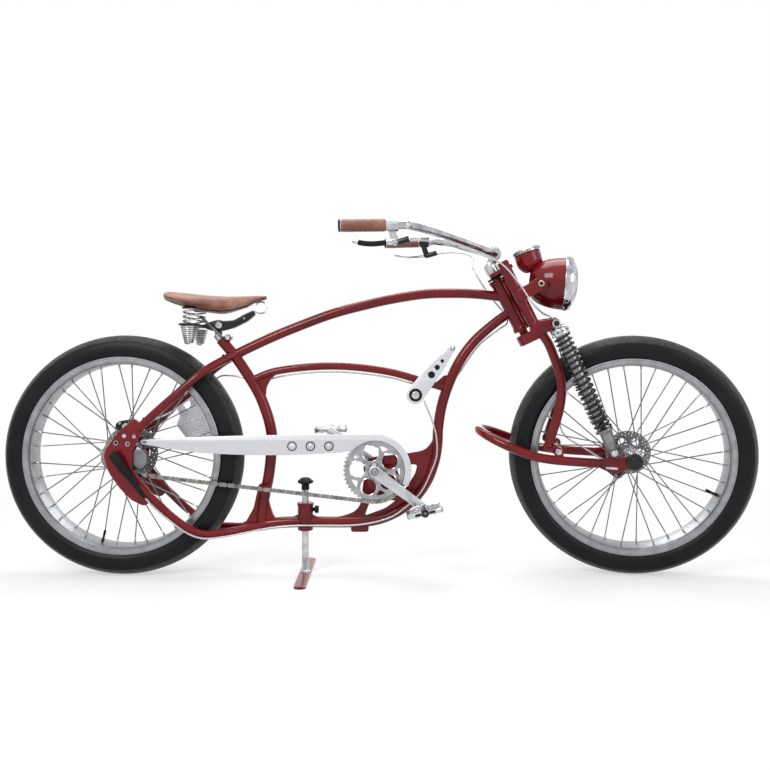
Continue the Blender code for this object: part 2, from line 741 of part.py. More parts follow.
def make_chain(finish, pivot):
    """The chain as one band whose inner groove takes the teeth of both wheels."""
    big = Vector(BRACKET)
    small = Vector(REAR_AXLE)
    run = big - small
    heading = math.degrees(math.atan2(run.y, run.x))
    lean = math.degrees(math.acos((SPROCKET_RADIUS - CHAINRING_RADIUS) / run.length))
    loop = arc(small, SPROCKET_RADIUS, heading + lean, heading + 360 - lean, 11)
    straight_start = loop[-1]
    front = arc(big, CHAINRING_RADIUS, heading - lean, heading + lean, 20)
    loop += [tuple(Vector(straight_start).lerp(Vector(front[0]), share / 3)) for share in (1, 2)]
    loop += front
    loop += [tuple(Vector(front[-1]).lerp(Vector(loop[0]), share / 3)) for share in (1, 2)]
    wide = CHAIN_HALF_WIDTH
    groove = wide - 0.0015
    tall = CHAIN_HALF_HEIGHT
    floor = tall - 0.0019
    section = (
        (tall, -wide), (tall, wide), (-tall, wide), (-tall, groove),
        (floor, groove), (floor, -groove), (-tall, -groove), (-tall, -wide),
    )
    work = bmesh.new()
    rings = []
    count = len(loop)
    for number, point in enumerate(loop):
        ahead = Vector(loop[(number + 1) % count]) - Vector(loop[number - 1])
        ahead.normalize()
        outward = Vector((-ahead.y, ahead.x))
        if outward.dot(Vector(point) - (big + small) / 2) < 0:
            outward = -outward
        ring = []
        for rise, across in section:
            spot = Vector(point) + outward * rise
            ring.append(work.verts.new((spot.x, across - CHAIN_SIDE, spot.y)))
        rings.append(ring)
    for number in range(count):
        first = rings[number]
        second = rings[(number + 1) % count]
        for corner in range(len(section)):
            following = (corner + 1) % len(section)
            work.faces.new((first[corner], first[following], second[following], second[corner]))
    mesh = bpy.data.meshes.new("chain")
    work.to_mesh(mesh)
    work.free()
    tidy_mesh(mesh)
    return finish_piece(add_object("chain", mesh), finish, pivot)


def coil(name, start, end, radii, wire, curls, points_per_curl=8):
    """A helical spring as one unbroken wire, its end curls straightened into short tails."""
    start = Vector(start)
    end = Vector(end)
    axis = (end - start).normalized()
    aside = axis.orthogonal().normalized()
    third = axis.cross(aside)
    length = (end - start).length
    tail = 2 * wire
    count = round(curls * points_per_curl)
    route = [start + aside * radii[0], start + aside * radii[0] + axis * tail]
    for step in range(1, count):
        share = step / count
        radius = radii[0] + (radii[1] - radii[0]) * share
        angle = 2 * math.pi * curls * share
        middle = start + axis * (1.5 * tail + (length - 3 * tail) * share)
        route.append(middle + (aside * math.cos(angle) + third * math.sin(angle)) * radius)
    last = aside * math.cos(2 * math.pi * curls) + third * math.sin(2 * math.pi * curls)
    route += [end + last * radii[1] - axis * tail, end + last * radii[1]]
    least = min(
        (a - b).length - 2 * wire
        for number, a in enumerate(route)
        for b in route[number + points_per_curl - 3:number + points_per_curl + 4]
    )
    print(f"{name}: least gap between turns {least * 1000:.2f} mm")
    return tube(name, route, wire, sides=6)


def web_plates():
    """Flat plates that stiffen the joints of the frame, as closed solids."""
    bracket_side = arc(BRACKET, 0.034, 115, 205, 6)
    bottom = [
        (0.165, 0.246), (0.162, 0.206), (0.146, 0.181), (0.110, 0.167), (0.060, 0.160),
        (0.060, 0.148), (0.190, 0.152), (0.253, 0.172), (0.308, 0.209), (0.350, 0.263), (0.373, 0.321),
        (0.383, 0.372), (0.386, 0.425), (0.376, 0.410), (0.366, 0.380), (0.346, 0.358), (0.303, 0.350),
    ]
    upper_window = [(0.262, 0.316), (0.324, 0.316), (0.318, 0.290), (0.285, 0.240)]
    lower_window = [(0.190, 0.216), (0.262, 0.212), (0.232, 0.190), (0.172, 0.168)]
    hanger = plate("hanger", bracket_side + bottom, 0, WEB_THICKNESS, (upper_window, lower_window))
    foot = plate("foot_web", [
        (-0.108, 0.262), (-0.134, 0.262), (-0.150, 0.190), (-0.182, 0.134),
        (-0.070, 0.146), (-0.092, 0.168), (-0.104, 0.205),
    ], 0, WEB_THICKNESS + 0.004)
    seat_gusset = plate("seat_gusset", [
        (-0.150, 0.560), (-0.064, 0.590), (-0.098, 0.566), (-0.112, 0.540), (-0.116, 0.498),
        (-0.134, 0.520),
    ], 0, WEB_THICKNESS - 0.002)
    front_gusset = plate("front_gusset", [
        (0.372, 0.549), (0.388, 0.562), (0.404, 0.577), (0.424, 0.570), (0.414, 0.530),
    ], 0, WEB_THICKNESS - 0.004)
    boss_web = plate("boss_web", [
        (-0.058, 0.157), (-0.036, 0.164), (-0.018, 0.174), (0.018, 0.174),
        (0.036, 0.164), (0.058, 0.157), (0.058, 0.146), (-0.058, 0.146),
    ], 0, WEB_THICKNESS + 0.002)
    return hanger, foot, seat_gusset, front_gusset, boss_web


def dropout(sign):
    """One of the two plates that hold the rear axle."""
    axle_x, axle_z = REAR_AXLE
    outline = [
        (axle_x + 0.004, axle_z + 0.071), (axle_x + 0.050, axle_z + 0.110),
        (axle_x + 0.078, axle_z + 0.084), (axle_x + 0.060, axle_z + 0.046),
        (axle_x + 0.046, axle_z + 0.019), (axle_x + 0.044, axle_z - 0.032),
        (axle_x + 0.070, axle_z - 0.064), (axle_x + 0.096, axle_z - 0.096),
        (axle_x + 0.092, axle_z - 0.128), (axle_x + 0.076, axle_z - 0.136),
        (axle_x + 0.040, axle_z - 0.118), (axle_x + 0.009, axle_z - 0.086),
        (axle_x - 0.020, axle_z - 0.045), (axle_x - 0.036, axle_z + 0.002),
        (axle_x - 0.030, axle_z + 0.024),
    ]
    holes = [
        circle((axle_x + 0.022, axle_z + 0.061), 0.0065, 7),
        circle((axle_x + 0.050, axle_z + 0.059), 0.0060, 7),
        circle((axle_x - 0.001, axle_z + 0.041), 0.0075, 7),
        circle((axle_x + 0.032, axle_z + 0.038), 0.0075, 7),
        circle(REAR_AXLE, REAR_AXLE_RADIUS + GAP, ROUND_SIDES),
    ]
    return plate("dropout", outline, sign * STAY_SIDE, DROPOUT_THICKNESS, holes)


def make_frame(finish, pivot):
    """The welded frame with its head tube, bracket shell, boss and dropouts."""
    frame = tube("frame", smooth_route(DOWN_TUBE_ROUTE), DOWN_TUBE_RADIUS, tip_radius=RAIL_RADIUS)
    join(frame, tube("top_tube", smooth_route(TOP_TUBE_ROUTE), TOP_TUBE_RADIUS))
    join(frame, tube("seat_tube", smooth_route(SEAT_TUBE_ROUTE), SEAT_TUBE_RADIUS))
    join(frame, tube("mid_tube", smooth_route(MID_TUBE_ROUTE), MID_TUBE_RADIUS))
    for sign in (-1, 1):
        seat_stay = smooth_route([side(point, sign) for point in SEAT_STAY_ROUTE])
        chain_stay = smooth_route([side(point, sign) for point in CHAIN_STAY_ROUTE])
        join(frame, tube("seat_stay", seat_stay, STAY_RADIUS))
        join(frame, tube("chain_stay", chain_stay, STAY_RADIUS))
        join(frame, dropout(sign))
    join(frame, *web_plates())
    head_bottom = on_fork(HEAD_TUBE_START, 0)
    head_top = on_fork(HEAD_TUBE_END, 0)
    join(frame, bar("head_tube", head_bottom, head_top, HEAD_TUBE_RADIUS, ROUND_SIDES))
    for low, high in (
        (HEAD_TUBE_START - 0.001, HEAD_TUBE_START + HEAD_CUP_HEIGHT),
        (HEAD_TUBE_END - HEAD_CUP_HEIGHT, HEAD_TUBE_END + 0.001),
    ):
        join(frame, bar("cup", on_fork(low, 0), on_fork(high, 0), HEAD_CUP_RADIUS, ROUND_SIDES))
    shell_half = Vector((0, BRACKET_SHELL_HALF, 0))
    middle = flat(BRACKET, 0)
    join(frame, bar("shell", middle - shell_half, middle + shell_half, BRACKET_SHELL_RADIUS, ROUND_SIDES))
    join(frame, bar(
        "boss", (0, 0, STAND_BOSS_BOTTOM), (0, 0, STAND_BOSS_TOP), STAND_BOSS_RADIUS, ROUND_SIDES,
    ))
    join(frame, bar(
        "boss_lip", (0, 0, STAND_BOSS_TOP - 0.006), (0, 0, STAND_BOSS_TOP + 0.001),
        STAND_BOSS_RADIUS + 0.002, ROUND_SIDES,
    ))
    clamp = Vector((-0.222, 0.0, 0.683))
    join(frame, bar("seat_clamp", clamp - Vector((0, 0.017, 0)), clamp + Vector((0, 0.017, 0)), 0.0095, 12))
    join(frame, block("front_bracket", (0.132, -0.011, 0.122), (0.184, 0.011, 0.140)))
    join(frame, shift_mount())
    seat_top = Vector(SEAT_TUBE_ROUTE[0])
    seat_line = (seat_top - Vector(SEAT_TUBE_ROUTE[1])).normalized()
    cut(
        frame,
        drill(on_fork(-0.02, 0), on_fork(0.2, 0), STEERER_RADIUS + RUNNING),
        drill(middle - 2 * shell_half, middle + 2 * shell_half, SPINDLE_RADIUS + RUNNING),
        drill((0, 0, 0.10), (0, 0, 0.24), STAND_POST_RADIUS + RUNNING),
        drill((LOCK_BORE_START, 0, LOCK_KNOB_Z), (0.04, 0, LOCK_KNOB_Z), LOCK_SHAFT_RADIUS + RUNNING),
        drill(seat_top - seat_line * 0.048, seat_top + seat_line * 0.02, SEAT_POST_RADIUS + 2 * GAP),
    )
    return finish_piece(frame, finish, pivot)


def shift_mount():
    """The tab under the middle tube with the stud that the shift lever turns on."""
    tab = plate("tab", link_outline((0.322, 0.561), 0.009, SHIFT_PIVOT, 0.013), -0.007, 0.006)
    inner = -0.006
    outer = -(SHIFT_SIDE + SHIFT_THICKNESS / 2 + GAP)
    join(tab, bar("stud", flat(SHIFT_PIVOT, inner), flat(SHIFT_PIVOT, outer - 0.002), 0.005, 12))
    head = flat(SHIFT_PIVOT, outer)
    join(tab, bar("stud_head", head, flat(SHIFT_PIVOT, outer - 0.005), 0.0115, ROUND_SIDES))
    return tab


def guard_outline():
    """The chain guard: a long blade that ends in an arc round the chainring."""
    outer = CHAINRING_RADIUS + 0.014
    inner = CHAINRING_RADIUS - 0.004
    blade_top = [(-0.459, 0.392), (-0.288, 0.402), (-0.078, 0.407), (0.100, 0.4085)]
    arch = arc(BRACKET, outer, 88, -26, 9)
    inside = arc(BRACKET, inner, -26, 138, 11)
    blade_bottom = [(0.100, 0.357), (-0.078, 0.350), (-0.288, 0.357), (-0.452, 0.381)]
    return blade_top + arch + inside + blade_bottom


def make_chain_guard(finish, pivot):
    """The guard with three round badges, its rear spacer and its middle bracket."""
    across = -(CHAIN_SIDE + CHAIN_HALF_WIDTH + 0.0045)
    thickness = 0.003
    outline = guard_outline()
    guard = plate("chain_guard", outline, across, thickness)
    inner_face = across + thickness / 2
    dropout_face = -(STAY_SIDE - DROPOUT_THICKNESS / 2 - GAP)
    join(guard, bar("spacer", (-0.4460, across, 0.3875), (-0.4460, dropout_face, 0.3875), 0.0042, 10))
    seat_side = -(SEAT_TUBE_RADIUS + GAP)
    bracket = Vector((-0.0975, seat_side, 0.366))
    join(guard, bar("bracket", (bracket.x, inner_face - 0.001, bracket.z), bracket, 0.0045, 10))
    badge_face = across - thickness / 2 - 0.0015
    for place in (-0.031, 0.021, 0.073):
        start = (place, across + 0.0004, 0.3755)
        join(guard, bar("badge", start, (place, badge_face, 0.3755), 0.0135, ROUND_SIDES))
    return finish_piece(guard, finish, pivot)


def make_cranks(steel, alloy, pivot):
    """Two crank arms, the right one with the spindle, and the chainring."""
    angle = math.radians(CRANK_ANGLE_DEG)
    reach = Vector((math.cos(angle), math.sin(angle))) * CRANK_LENGTH
    tips = {-1: Vector(BRACKET) + reach, 1: Vector(BRACKET) - reach}
    for sign, name in ((-1, "crank_right"), (1, "crank_left")):
        outline = link_outline(BRACKET, CRANK_EYE_RADIUS, tips[sign], CRANK_TIP_RADIUS)
        arm = plate(name, outline, sign * CRANK_SIDE, CRANK_THICKNESS)
        face = sign * (CRANK_SIDE + CRANK_THICKNESS / 2)
        axle_start = flat(tips[sign], sign * CRANK_SIDE)
        axle_end = flat(tips[sign], face + sign * (PEDAL_WIDTH + 0.010))
        join(arm, bar("pedal_axle", axle_start, axle_end, PEDAL_AXLE_RADIUS, 12))
        bolt_face = flat(BRACKET, face + sign * 0.002)
        join(arm, bar("bolt", flat(BRACKET, sign * CRANK_SIDE), bolt_face, 0.009, ROUND_SIDES))
        if sign < 0:
            end = flat(BRACKET, CRANK_SIDE - CRANK_THICKNESS / 2 - GAP)
            join(arm, bar("spindle", flat(BRACKET, -CRANK_SIDE), end, SPINDLE_RADIUS, ROUND_SIDES))
        finish_piece(arm, alloy, pivot)
    holes = [circle(BRACKET, SPINDLE_RADIUS + GAP * 2)]
    for number in range(5):
        hole_angle = math.radians(32 + 72 * number)
        middle = (BRACKET[0] + 0.0495 * math.cos(hole_angle), BRACKET[1] + 0.0495 * math.sin(hole_angle))
        holes.append(circle(middle, 0.0235, 9))
    ring = plate(
        "chainring", toothed_outline(BRACKET, CHAINRING_TEETH, CHAINRING_RADIUS),
        -CHAIN_SIDE, TOOTH_THICKNESS, holes,
    )
    inner = -(CHAIN_SIDE + TOOTH_THICKNESS / 2 - 0.0005)
    outer = -(CRANK_SIDE - CRANK_THICKNESS / 2 - GAP)
    bore = SPINDLE_RADIUS + GAP * 2
    hub = [(bore, inner), (0.019, inner), (0.017, outer), (bore, outer)]
    join(ring, turned("spider", hub, flat(BRACKET, 0), (0, 1, 0), 12, ring=True))
    finish_piece(ring, steel, pivot)
    return tips


def make_pedal(name, tip, sign, tilt_deg, finish, pivot):
    """A platform with a barrel for its axle and open windows."""
    inner = sign * (CRANK_SIDE + CRANK_THICKNESS / 2 + 0.004)
    middle = inner + sign * PEDAL_WIDTH / 2
    half = PEDAL_LENGTH / 2
    low = inner if sign > 0 else inner - PEDAL_WIDTH
    pedal = block(name, (-half, low, -PEDAL_THICKNESS / 2), (half, low + PEDAL_WIDTH, PEDAL_THICKNESS / 2))
    for end in (-1, 1):
        window_low = (min(end * 0.013, end * (half - 0.010)), low + 0.009, -PEDAL_THICKNESS)
        window_high = (max(end * 0.013, end * (half - 0.010)), low + PEDAL_WIDTH - 0.009, PEDAL_THICKNESS)
        cut(pedal, block("window", window_low, window_high))
    barrel_half = PEDAL_WIDTH / 2 + 0.0008
    barrel_start = (0, middle - barrel_half, 0)
    join(pedal, bar("barrel", barrel_start, (0, middle + barrel_half, 0), 0.0115, ROUND_SIDES))
    cut(pedal, drill((0, middle - 0.06, 0), (0, middle + 0.06, 0), PEDAL_AXLE_RADIUS + RUNNING))
    turn = Matrix.Rotation(math.radians(-tilt_deg), 4, "Y")
    pedal.data.transform(Matrix.Translation(flat(tip, 0)) @ turn)
    return finish_piece(pedal, finish, pivot)


def make_rear_drive(steel, pivot_sprocket):
    """The rear chain wheel, which turns on the hub's driver."""
    bore = (REAR_HUB_NECK + GAP) / math.cos(math.pi / 12)
    sprocket = plate(
        "rear_sprocket", toothed_outline(REAR_AXLE, SPROCKET_TEETH, SPROCKET_RADIUS),
        -CHAIN_SIDE, TOOTH_THICKNESS, [circle(REAR_AXLE, bore, 12)],
    )
    ring = [(bore, -CHAIN_SIDE - 0.004), (bore + 0.006, -CHAIN_SIDE - 0.004),
            (bore + 0.008, -CHAIN_SIDE + 0.006), (bore, -CHAIN_SIDE + 0.006)]
    join(sprocket, turned("driver", ring, flat(REAR_AXLE, 0), (0, 1, 0), 12, ring=True))
    return finish_piece(sprocket, steel, pivot_sprocket)


def make_rear_axle(steel, pivot):
    """The axle that clamps the hub between the dropouts, with a nut on the left."""
    outside = STAY_SIDE + DROPOUT_THICKNESS / 2
    right_end = flat(REAR_AXLE, -outside)
    left_end = flat(REAR_AXLE, outside + 0.016)
    axle = bar("rear_axle", right_end, left_end, REAR_AXLE_RADIUS, ROUND_SIDES)
    join(axle, bar(
        "nut", flat(REAR_AXLE, outside + GAP), flat(REAR_AXLE, outside + 0.009), 0.0105, 6,
    ))
    return finish_piece(axle, steel, pivot)


def make_cable_boot(rubber, pivot):
    """The tapered rubber boot over the axle's right end, where the shift cable goes in."""
    wide = 0.0155
    across = -(STAY_SIDE + DROPOUT_THICKNESS / 2 + GAP + wide)
    start = Vector((REAR_AXLE_X + 0.001, across, REAR_AXLE[1] + 0.004))
    end = Vector(SHIFT_CABLE_ROUTE[-1])
    length = (end - start).length
    profile = [
        (0.0, -0.015), (wide * 0.60, -0.0125), (wide * 0.92, -0.006), (wide, 0.004), (wide * 0.86, 0.022),
        (0.0085, length * 0.60), (0.0048, length - GAP * 2), (0.0, length - GAP * 2),
    ]
    boot = turned("cable_boot", profile, start, end - start, 14)
    return finish_piece(boot, rubber, pivot)


def make_caliper(name, axle, angle_deg, rotor_radius, rotor_side, outer_face, finish, pivot):
    """A brake caliper that straddles the disc."""
    angle = math.radians(angle_deg)
    out = Vector((math.cos(angle), 0, math.sin(angle)))
    along = Vector((-out.z, 0, out.x))
    middle = flat(axle, 0) + out * (rotor_radius + 0.001)
    low = rotor_side - 0.0130
    body = block(name, (-0.030, low, -0.0165), (0.030, outer_face, 0.0165))
    slot = 0.0032
    cut(body, block("slot", (-0.04, rotor_side - slot, -0.03), (0.04, rotor_side + slot, 0.0080)))
    turn = Matrix((along, Vector((0, 1, 0)), out)).transposed().to_4x4()
    body.data.transform(Matrix.Translation(middle) @ turn)
    tidy_mesh(body.data)
    return finish_piece(body, finish, pivot)


def make_side_plate(alloy, pivot):
    """The thin ribbed cover plate in the left rear corner, hung from the seat stay."""
    outline = [
        (-0.3565, 0.5035), (-0.3405, 0.5065), (-0.3200, 0.4960), (-0.2990, 0.4665), (-0.2830, 0.4330),
        (-0.2730, 0.3990), (-0.2720, 0.3865), (-0.3655, 0.3865), (-0.3945, 0.4245), (-0.3845, 0.4505),
        (-0.3910, 0.4730), (-0.3750, 0.4875), (-0.3625, 0.4705), (-0.3505, 0.4845),
    ]
    return finish_piece(plate("side_plate", outline, STAY_SIDE, 0.003), alloy, pivot)


def make_stand(steel, black, pivot, pivot_lock):
    """The sliding stand with its foot plate, its T knob and the side lock knob."""
    half = FOOT_LENGTH / 2 - FOOT_WIDTH / 2
    foot_outline = arc((0, half), FOOT_WIDTH / 2, 0, 180, 8) + arc((0, -half), FOOT_WIDTH / 2, 180, 360, 8)
    foot = plate("stand_leg", foot_outline, 0, FOOT_THICKNESS)
    lift = Matrix.Translation((0, 0, FOOT_THICKNESS / 2))
    foot.data.transform(lift @ Matrix.Rotation(-math.pi / 2, 4, "X"))
    post_start = (0, 0, FOOT_THICKNESS / 2)
    join(foot, bar("post", post_start, (0, 0, STAND_POST_TOP), STAND_POST_RADIUS, ROUND_SIDES))
    finish_piece(foot, steel, pivot)
    base = STAND_POST_TOP + GAP
    profile = [
        (0.0, base), (0.0115, base), (0.0115, base + 0.010), (0.010, base + 0.014),
        (KNOB_RADIUS, base + 0.020), (KNOB_RADIUS, base + 0.026),
        (0.012, base + KNOB_HEIGHT), (0.0, base + KNOB_HEIGHT),
    ]
    finish_piece(turned("stand_knob", profile, (0, 0, 0), (0, 0, 1), 12), black, pivot)
    start = STAND_BOSS_RADIUS + GAP
    shaft_end = LOCK_BORE_START + 0.0015
    lock_profile = [
        (0.0, shaft_end), (LOCK_SHAFT_RADIUS, shaft_end), (LOCK_SHAFT_RADIUS, start),
        (0.0060, start), (0.0060, start + 0.004), (LOCK_KNOB_RADIUS, start + 0.005),
        (LOCK_KNOB_RADIUS, start + LOCK_KNOB_LENGTH - 0.002), (0.008, start + LOCK_KNOB_LENGTH),
        (0.0, start + LOCK_KNOB_LENGTH),
    ]
    lock = turned("stand_lock_knob", lock_profile, (0, 0, 0), (0, 0, 1), 10)
    lock.data.transform(Matrix.Translation((0, 0, LOCK_KNOB_Z)) @ Matrix.Rotation(math.pi / 2, 4, "Y"))
    finish_piece(lock, black, pivot_lock)


def make_shift_lever(alloy, pivot):
    """The long hand lever that changes gear."""
    low = Vector(SHIFT_PIVOT)
    tip = Vector(SHIFT_TIP)
    run = tip - low
    holes = [circle(SHIFT_PIVOT, 0.005 + RUNNING, 12)]
    for share, radius in ((0.43, 0.0098), (0.585, 0.0075), (0.72, 0.0052)):
        holes.append(circle(low + run * share, radius, 10))
    heading = math.degrees(math.atan2(run.y, run.x))
    outline = arc(SHIFT_PIVOT, 0.026, heading + 95, heading + 262, 10)
    aside = Vector((-run.y, run.x)).normalized()
    outline += [tuple(low + run * 0.30 - aside * 0.0200), tuple(low + run * 0.62 - aside * 0.0135)]
    outline += arc(SHIFT_TIP, 0.0085, heading - 85, heading + 85, 6)
    outline += [tuple(low + run * 0.62 + aside * 0.0185), tuple(low + run * 0.30 + aside * 0.0255)]
    lever = plate("shift_lever", outline, -SHIFT_SIDE, SHIFT_THICKNESS, holes)
    ball = turned("ball", [(0.0, -0.0090), (0.0074, -0.0060), (0.0074, 0.0060), (0.0, 0.0090)],
                  flat(SHIFT_TIP, -SHIFT_SIDE - 0.002), (0, 1, 0), 8)
    join(lever, ball)
    return finish_piece(lever, alloy, pivot)


def make_saddle_frame(black, pivot):
    """The seat post with the cradle arm, the cross plate and a stay."""
    seat_top = Vector(SEAT_TUBE_ROUTE[0])
    seat_line = (seat_top - Vector(SEAT_TUBE_ROUTE[1])).normalized()
    head = Vector((-0.2535, 0, 0.712))
    post_start = seat_top - seat_line * 0.044
    post_end = seat_top + seat_line * 0.018
    frame = bar("saddle_frame", post_start, post_end, SEAT_POST_RADIUS, ROUND_SIDES)
    join(frame, bar("neck", seat_top + seat_line * 0.008, head, 0.0105, 12))
    plate_low = SADDLE_PLATE_TOP - SADDLE_PLATE_THICKNESS
    outline = [
        (-0.356, SADDLE_PLATE_TOP - 0.001), (-0.356, plate_low + 0.001), (-0.300, plate_low + 0.001),
        (-0.272, 0.703), (-0.250, 0.700), (-0.232, 0.704), (-0.205, 0.711), (-0.165, 0.731),
        (-0.1430, 0.7505), (-0.1475, 0.7635), (-0.176, 0.751), (-0.205, 0.734), (-0.235, 0.731),
        (-0.250, 0.735), (-0.268, 0.731), (-0.295, SADDLE_PLATE_TOP - 0.001),
    ]
    join(frame, plate("cradle", outline, 0, 0.022))
    reach = SADDLE_SPRING_SIDE + 0.024
    join(frame, block(
        "cross_plate", (SADDLE_SPRING_X - 0.028, -reach, plate_low),
        (SADDLE_SPRING_X + 0.026, reach, SADDLE_PLATE_TOP),
    ))
    join(frame, bar("bolt", (-0.249, -0.0155, 0.7185), (-0.249, 0.0155, 0.7185), 0.0100, 12))
    join(frame, bar("stay", (-0.297, -0.0135, 0.738), (-0.2600, -0.0135, 0.700), 0.0035, 8))
    return finish_piece(frame, black, pivot)


def saddle_station(share):
    """Half width, top and underside of the saddle, from its rear (0) to its nose (1)."""
    ramp = min(1.0, share / 0.10)
    rear_round = math.sqrt(max(0.0, 1.0 - (1.0 - ramp) ** 2))
    narrow = 0.5 + 0.5 * math.cos(math.pi * min(1.0, max(0.0, (share - 0.20) / 0.62)))
    nose = 0.021
    width = (nose + (SADDLE_HALF_WIDTH - nose) * narrow ** 1.25) * rear_round
    nose_round = math.sqrt(max(0.0, 1.0 - max(0.0, (share - 0.93) / 0.07) ** 2))
    top = SADDLE_TOP_Z + 0.003 * math.cos(2 * math.pi * share) - 0.010 * share
    top -= 0.008 * (1.0 - rear_round)
    belly = 0.031 * math.sin(math.pi * min(1.0, share ** 0.9)) + 0.017
    belly *= 1.0 - 0.4 * min(1.0, max(0.0, (share - 0.80) / 0.15))
    return width * nose_round, top, belly * (0.55 + 0.45 * rear_round)


def make_saddle(leather, pivot):
    """The padded saddle: crowned on top, with sides drawn in above the skirt."""
    work = bmesh.new()
    stations = 16
    around = 16
    rings = []
    for number in range(1, stations):
        share = 0.5 - 0.5 * math.cos(math.pi * number / stations)
        width, top, belly = saddle_station(share)
        x = SADDLE_REAR_X + SADDLE_LENGTH * share
        ring = []
        for step in range(around):
            angle = 2 * math.pi * step / around
            rise = math.sin(angle)
            spread = math.copysign(abs(math.cos(angle)) ** 0.72, math.cos(angle))
            drawn_in = 1.0 - 0.16 * max(0.0, -rise) ** 1.5
            y = width * spread * drawn_in
            z = top - belly * 0.55 + (belly * 0.55 * rise if rise > 0 else belly * 0.45 * rise)
            ring.append(work.verts.new((x, y, z)))
        rings.append(ring)
    for first, second in zip(rings, rings[1:]):
        for step in range(around):
            following = (step + 1) % around
            work.faces.new((first[step], first[following], second[following], second[step]))
    for ring, share in ((rings[0], 0.0), (rings[-1], 1.0)):
        width, top, belly = saddle_station(share)
        tip = work.verts.new((SADDLE_REAR_X + SADDLE_LENGTH * share, 0.0, top - belly * 0.55))
        for step in range(around):
            work.faces.new((ring[step], ring[(step + 1) % around], tip))
    mesh = bpy.data.meshes.new("saddle")
    work.to_mesh(mesh)
    work.free()
    tidy_mesh(mesh)
    saddle = add_object("saddle", mesh)
    pad_z = SADDLE_PLATE_TOP + UPPER_SPRING_HEIGHT + 2 * GAP
    for sign in (-1, 1):
        across = sign * SADDLE_SPRING_SIDE
        low = Vector((SADDLE_SPRING_X, across, pad_z))
        join(saddle, bar("pad", low, low + Vector((0, 0, 0.020)), UPPER_SPRING_RADIUS + 0.003))
    x, z = NOSE_LOOP_CENTRE
    top = z + NOSE_LOOP_RADIUS + NOSE_WIRE_RADIUS + GAP
    join(saddle, block("nose_pad", (x - 0.009, -0.012, top), (x + 0.007, 0.012, top + 0.010)))
    return finish_piece(saddle, leather, pivot)


def make_saddle_springs(steel, pivot):
    """Two conical springs under the cross plate, two above it and the nose loop."""
    for sign, name in ((-1, "right"), (1, "left")):
        across = sign * SADDLE_SPRING_SIDE
        top = SADDLE_PLATE_TOP - SADDLE_PLATE_THICKNESS - GAP
        lower = coil(
            "saddle_lower_spring_" + name, (SADDLE_SPRING_X, across, top),
            (SADDLE_SPRING_X, across, top - LOWER_SPRING_HEIGHT), LOWER_SPRING_RADII,
            SADDLE_WIRE_RADIUS, LOWER_SPRING_CURLS,
        )
        finish_piece(lower, steel, pivot)
        base = SADDLE_PLATE_TOP + GAP
        upper = coil(
            "saddle_upper_spring_" + name, (SADDLE_SPRING_X, across, base),
            (SADDLE_SPRING_X, across, base + UPPER_SPRING_HEIGHT),
            (UPPER_SPRING_RADIUS, UPPER_SPRING_RADIUS), SADDLE_WIRE_RADIUS, UPPER_SPRING_CURLS,
        )
        finish_piece(upper, steel, pivot)
    route = []
    for step in range(11):
        angle = math.radians(-150 + 300 * step / 10)
        across = -0.010 + 0.020 * step / 10
        route.append(Vector((
            NOSE_LOOP_CENTRE[0] + NOSE_LOOP_RADIUS * math.cos(angle), across,
            NOSE_LOOP_CENTRE[1] + NOSE_LOOP_RADIUS * math.sin(angle),
        )))
    loop = tube("saddle_nose_spring", route, NOSE_WIRE_RADIUS, sides=6)
    return finish_piece(loop, steel, pivot)


def steer_turn():
    """The turn about the steering axis in which the front end stands."""
    axis, ahead = steering_frame()
    turn = Matrix.Rotation(math.radians(STEER_REST_DEG), 4, axis)
    return Matrix.Translation(HEAD_BASE) @ turn @ Matrix.Translation(-Vector(HEAD_BASE))


def front_piece(item, finish, pivot):
    """Turn a front piece into its rest place and finish it."""
    item.data.transform(steer_turn())
    return finish_piece(item, finish, pivot)


def front_empty(name, place, parent):
    """An empty for a joint of the front group, turned with the steering."""
    return pivot_empty(name, steer_turn() @ Vector(place), parent)


def oriented_block(name, along, forward, half_width):
    """A box lined up with the steering axis."""
    axis, ahead = steering_frame()
    item = block(name, (forward[0], -half_width, along[0]), (forward[1], half_width, along[1]))
    turn = Matrix((ahead, Vector((0, 1, 0)), axis)).transposed().to_4x4()
    item.data.transform(Matrix.Translation(HEAD_BASE) @ turn)
    return item


